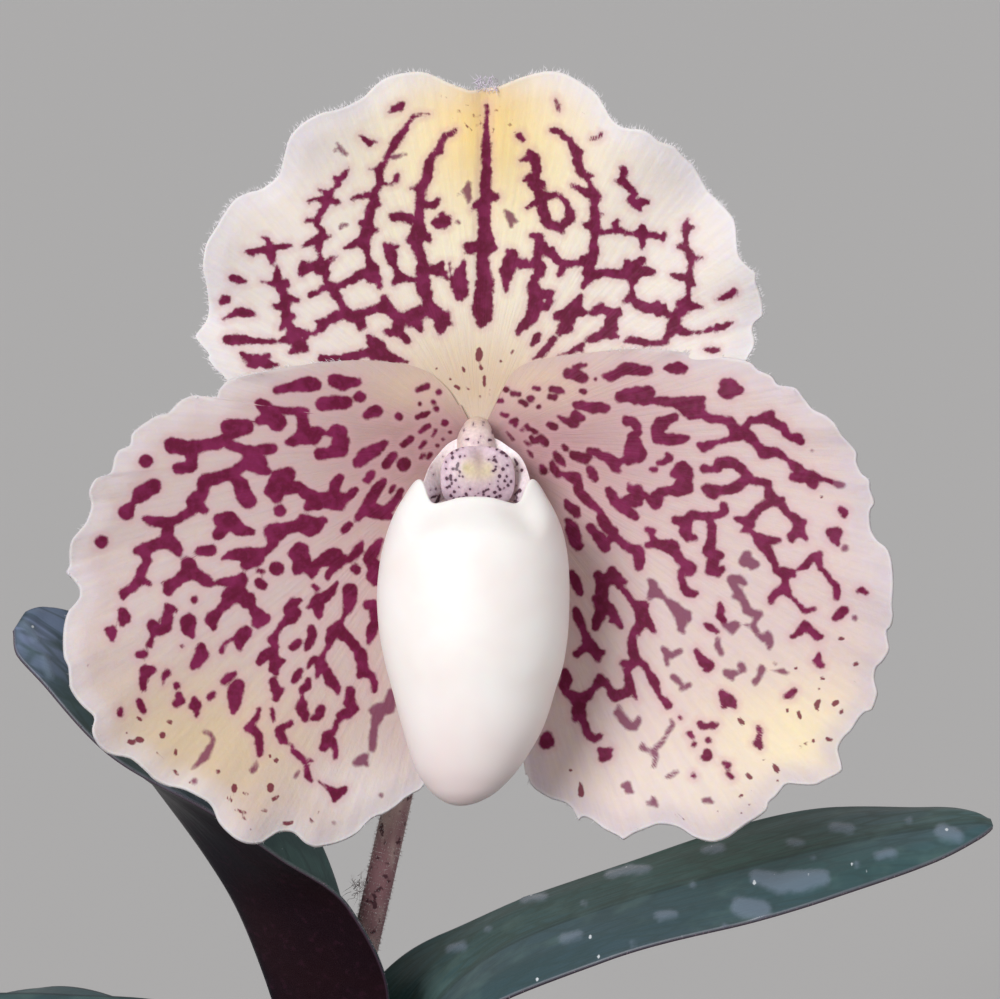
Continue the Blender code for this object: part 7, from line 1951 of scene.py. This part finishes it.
def buildPot(look):
    profile = finerProfile(look["outer"], 3) + finerProfile(look["inner"], 3)
    points, faces = lathe(profile, 144)
    wobble = 1 + look["unevenRound"] * np.sin(3 * np.arctan2(points[:, 1], points[:, 0]) + 0.4) \
        + look["unevenUp"] * np.sin(points[:, 2] / 2.3)
    points[:, :2] *= wobble[:, None]
    pot = meshPiece("clay_pot", points * mm, faces, claySkin(look), ("pot",))
    cutters = bpy.data.collections.new("cutters")
    for index in range(look["drains"]):
        angle = math.tau * (index + 0.5) / look["drains"]
        ring, faces = lathe([(look["drainRadius"] * 1.12, -1), (look["drainRadius"], 0.6),
                             (look["drainRadius"], 8)], 32)
        ring += (look["drainRing"] * math.cos(angle), look["drainRing"] * math.sin(angle), 0)
        mesh = bpy.data.meshes.new("cutter")
        mesh.from_pydata((ring * mm).tolist(), [], faces)
        cutters.objects.link(bpy.data.objects.new("cutter", mesh))
    change = pot.modifiers.new("drains", "BOOLEAN")
    change.operand_type = "COLLECTION"
    change.collection = cutters
    change.solver = "EXACT"
    graph = bpy.context.evaluated_depsgraph_get()
    mesh = bpy.data.meshes.new_from_object(pot.evaluated_get(graph))
    pot.modifiers.clear()
    pot.data = mesh
    for cutter in list(cutters.objects):
        bpy.data.objects.remove(cutter, do_unlink=True)
    bpy.data.collections.remove(cutters)
    pot.data.shade_smooth()
    pot.data.set_sharp_from_angle(angle=math.radians(35))


def barkSkin(look):
    finish, tree, shader, place = newFinish("bark_skin", 0.9, **{"Specular IOR Level": 0.2})
    shade = kept(tree, "shade")
    grit = kept(tree, "grit")
    fibre = grain(tree, stretched(tree, place, (1, 1, 3)), 1.2, 5.0, 0.65)
    low, high = look["colours"]
    colour = blend(tree, shade, paint(*low), paint(*high))
    colour = tinge(tree, colour, paint(*look["crack"]), fibre, 0.4, 0.65, 0.7)
    colour = tinge(tree, colour, paint(*look["worn"]), fibre, 0.64, 0.76, 0.5)
    colour = blend(tree, grit, colour, paint(*look["gritColour"]))
    tree.links.new(colour, shader.inputs["Base Color"])
    relief(tree, shader, fibre, 0.5)
    return finish


def lumpShape(rings, around):
    # points of a unit ball as rings, with its faces
    points = [(0, 0, -1)]
    for ring in range(1, rings):
        tilt = -math.pi / 2 + math.pi * ring / rings
        for step in range(around):
            turn = math.tau * (step + 0.5 * (ring % 2)) / around
            points.append((math.cos(tilt) * math.cos(turn), math.cos(tilt) * math.sin(turn), math.sin(tilt)))
    points.append((0, 0, 1))
    return np.array(points), ballFaces(rings - 1, around)


def joined(parts):
    # points and faces of several parts as those of one
    faces = []
    total = 0
    for points, own in parts:
        faces += [tuple(corner + total for corner in face) for face in own]
        total += len(points)
    return np.concatenate([points for points, _ in parts]), faces


def buildBed(look, skin):
    profile = [(look["footRadius"], look["foot"]), (look["radius"], look["top"] - look["slope"])]
    profile += [(look["radius"] * share, look["top"] - look["slope"] * share ** 8)
                for share in np.linspace(0.98, 0.06, 26)]
    points, faces = lathe(profile, 90)
    x, y, z = points.T
    bumps = np.sin(x * 1.3) * np.sin(y * 1.1) + np.sin(x * 0.7 + y)
    points[:, 2] = z + look["bumps"] * bumps * (z > look["top"] - 3)
    values = {"shade": np.full(len(points), 0.1), "grit": np.zeros(len(points))}
    meshPiece("bark_bed", points * mm, faces, skin, ("potting_mix",), values)


def buildChips(look, skin):
    # chips and grit strewn over the bed; one that would reach past it or into the crown is left out
    draw = np.random.default_rng(look["seed"])
    shape, shapeFaces = lumpShape(6, 9)
    lumps, shades, grits = [], [], []
    for index in range(look["chips"] + look["grit"]):
        isGrit = index >= look["chips"]
        distance = (look["radius"] - 1.5) * math.sqrt(draw.uniform(0, 1))
        bearing = draw.uniform(0, math.tau)
        length = draw.uniform(*look["gritLength" if isGrit else "chipLength"])
        width = draw.uniform(0.4, 0.75)
        thickness = draw.uniform(0.7, 0.9) if isGrit else look["chipThickness"]
        x, y = distance * math.cos(bearing), distance * math.sin(bearing)
        reach = length / 2
        near = math.hypot(x / (look["crown"][0] + reach * 0.8), y / (look["crown"][1] + reach * 0.8))
        if near < 1 or distance + reach > look["radius"] + 0.4:
            continue
        jitter = 1 + draw.uniform(-0.24, 0.24, (len(shape), 1))
        squared = np.sign(shape) * abs(shape) ** 0.72
        body = squared * jitter * np.array((1, width, thickness)) * reach
        turn, tilt = draw.uniform(0, math.tau), draw.normal(0, 0.22)
        body[:, 2] += body[:, 0] * math.tan(tilt)
        turned = np.stack([body[:, 0] * math.cos(turn) - body[:, 1] * math.sin(turn),
                           body[:, 0] * math.sin(turn) + body[:, 1] * math.cos(turn), body[:, 2]], axis=1)
        turned += (x, y, look["top"] + draw.uniform(-0.2, 1.3) + (0.6 if isGrit else 0))
        lumps.append((turned, shapeFaces))
        shades.append(np.full(len(shape), draw.uniform(0, 1)))
        grits.append(np.full(len(shape), 0.85 if isGrit else 0.0))
    points, faces = joined(lumps)
    values = {"shade": np.concatenate(shades), "grit": np.concatenate(grits)}
    meshPiece("bark_chips", points * mm, faces, skin, (), values)


crownLook = {
    "profile": [(0.72, 65), (0.85, 68), (1, 71), (0.99, 72.6), (0.9, 73.3), (0.6, 73.8)],
    "halfSize": (14.5, 4.6),
    "colour": (168, 150, 112),
    "dark": (112, 84, 58),
    "pale": (196, 184, 156),
    "roots": 8,
    "rootRadii": [1.7, 1.7, 1.6, 1.5, 1.0],
    "rootFoot": (8.5, 2.2, 70),             # half widths of the ring they start on, and its height
    "rootReach": (15, 18),
    "rootWay": [                            # wider than the reach sideways and front to back, turn, height
        (0, -5, 0, 70.5), (7, 4, .2, 62), (6, 5, .3, 40), (3, 3, .1, 20)],
    "seed": 7,
}


def rootSkin(look):
    finish, tree, shader, place = newFinish("root_skin", 0.8, **{"Specular IOR Level": 0.25})
    mottle = grain(tree, place, 1.4, 4.0, 0.6)
    fine = grain(tree, place, 0.3)
    colour = tinge(tree, paint(*look["colour"]), paint(*look["dark"]), mottle, 0.35, 0.65)
    colour = tinge(tree, colour, paint(*look["pale"]), fine, 0.55, 0.7, 0.5)
    tree.links.new(colour, shader.inputs["Base Color"])
    relief(tree, shader, fine, 0.15)
    return finish


def buildCrown(look):
    # the short stem with old leaf bases, and roots running out into the bark
    finish = rootSkin(look)
    points, faces = lathe(finerProfile(look["profile"], 0.5), 72)
    turn = np.arctan2(points[:, 1], points[:, 0])
    lumps = 1 + 0.05 * np.sin(5 * turn + points[:, 2]) + 0.03 * np.sin(11 * turn)
    for axis, half in enumerate(look["halfSize"]):
        points[:, axis] *= half * lumps
    meshPiece("crown_stub", points * mm, faces, finish, ("rootstock",))
    draw = random.Random(look["seed"])
    tubes = []
    for index in range(look["roots"]):
        angle = math.tau * (index + 0.35) / look["roots"]
        reach = draw.uniform(*look["rootReach"])
        wide, deep, height = look["rootFoot"]
        line = [(wide * math.cos(angle), deep * math.sin(angle), height)]
        for wider, deeper, onward, height in look["rootWay"]:
            line.append(((reach + wider) * math.cos(angle + onward),
                         (reach + deeper) * math.sin(angle + onward), height))
        tubes.append(roundTube(line, look["rootRadii"], count=50, sides=12, endRound=0.8))
    points, faces = joined(tubes)
    meshPiece("roots", points * mm, faces, finish)


buildStem(stemLook)
print("stem, ovary and hub built")
buildLeaves()
print("leaves and bract built")
buildPot(potLook)
bark = barkSkin(barkLook)
buildBed(barkLook, bark)
buildChips(barkLook, bark)
buildCrown(crownLook)
print("pot, bark and crown built")


# Floor, light and air
studio = {
    "floorRadius": 160.0,                   # in metres
    "floorSides": 96,
    "floorHeight": -0.0005,
    "floorColour": (204, 203, 202),
    "skyColour": (176, 175, 176),
    "skyStrength": 0.75,
    "keyStrength": 2.35,                    # large soft light from the upper left
    "keyWay": (-0.5, -0.85, 0.45),
    "keySoftness": 26,                      # degrees
    "fillStrength": 0.45,
    "fillWay": (0.75, -0.6, 0.25),
    "fillSoftness": 60,
}


def addLight(name, way, strength, softness):
    data = bpy.data.lights.new(name, "SUN")
    data.energy = strength
    data.angle = math.radians(softness)
    light = bpy.data.objects.new(name, data)
    light.rotation_euler = Vector(way).to_track_quat("Z", "Y").to_euler()
    bpy.context.scene.collection.objects.link(light)


def addStudio():
    sides = studio["floorSides"]
    middle = (0, 0, studio["floorHeight"])
    ring = [(studio["floorRadius"] * math.cos(math.tau * side / sides),
             studio["floorRadius"] * math.sin(math.tau * side / sides), studio["floorHeight"])
            for side in range(sides)]
    faces = [(0, 1 + side, 1 + (side + 1) % sides) for side in range(sides)]
    mesh = bpy.data.meshes.new("floor")
    mesh.from_pydata([middle, *ring], [], faces)
    finish, _, shader, _ = newFinish("floor_paint", 0.9)
    shader.inputs["Base Color"].default_value = paint(*studio["floorColour"])
    mesh.materials.append(finish)
    floor = bpy.data.objects.new("floor", mesh)
    bpy.context.scene.collection.objects.link(floor)
    for name in ("key", "fill"):
        addLight(name, studio[name + "Way"], studio[name + "Strength"], studio[name + "Softness"])
    world = bpy.data.worlds.new("air")
    world.use_nodes = True
    air = world.node_tree.nodes["Background"]
    air.inputs["Color"].default_value = paint(*studio["skyColour"])
    air.inputs["Strength"].default_value = studio["skyStrength"]
    bpy.context.scene.world = world
    bpy.context.scene.view_settings.view_transform = "Standard"


addStudio()
print("floor and light set")
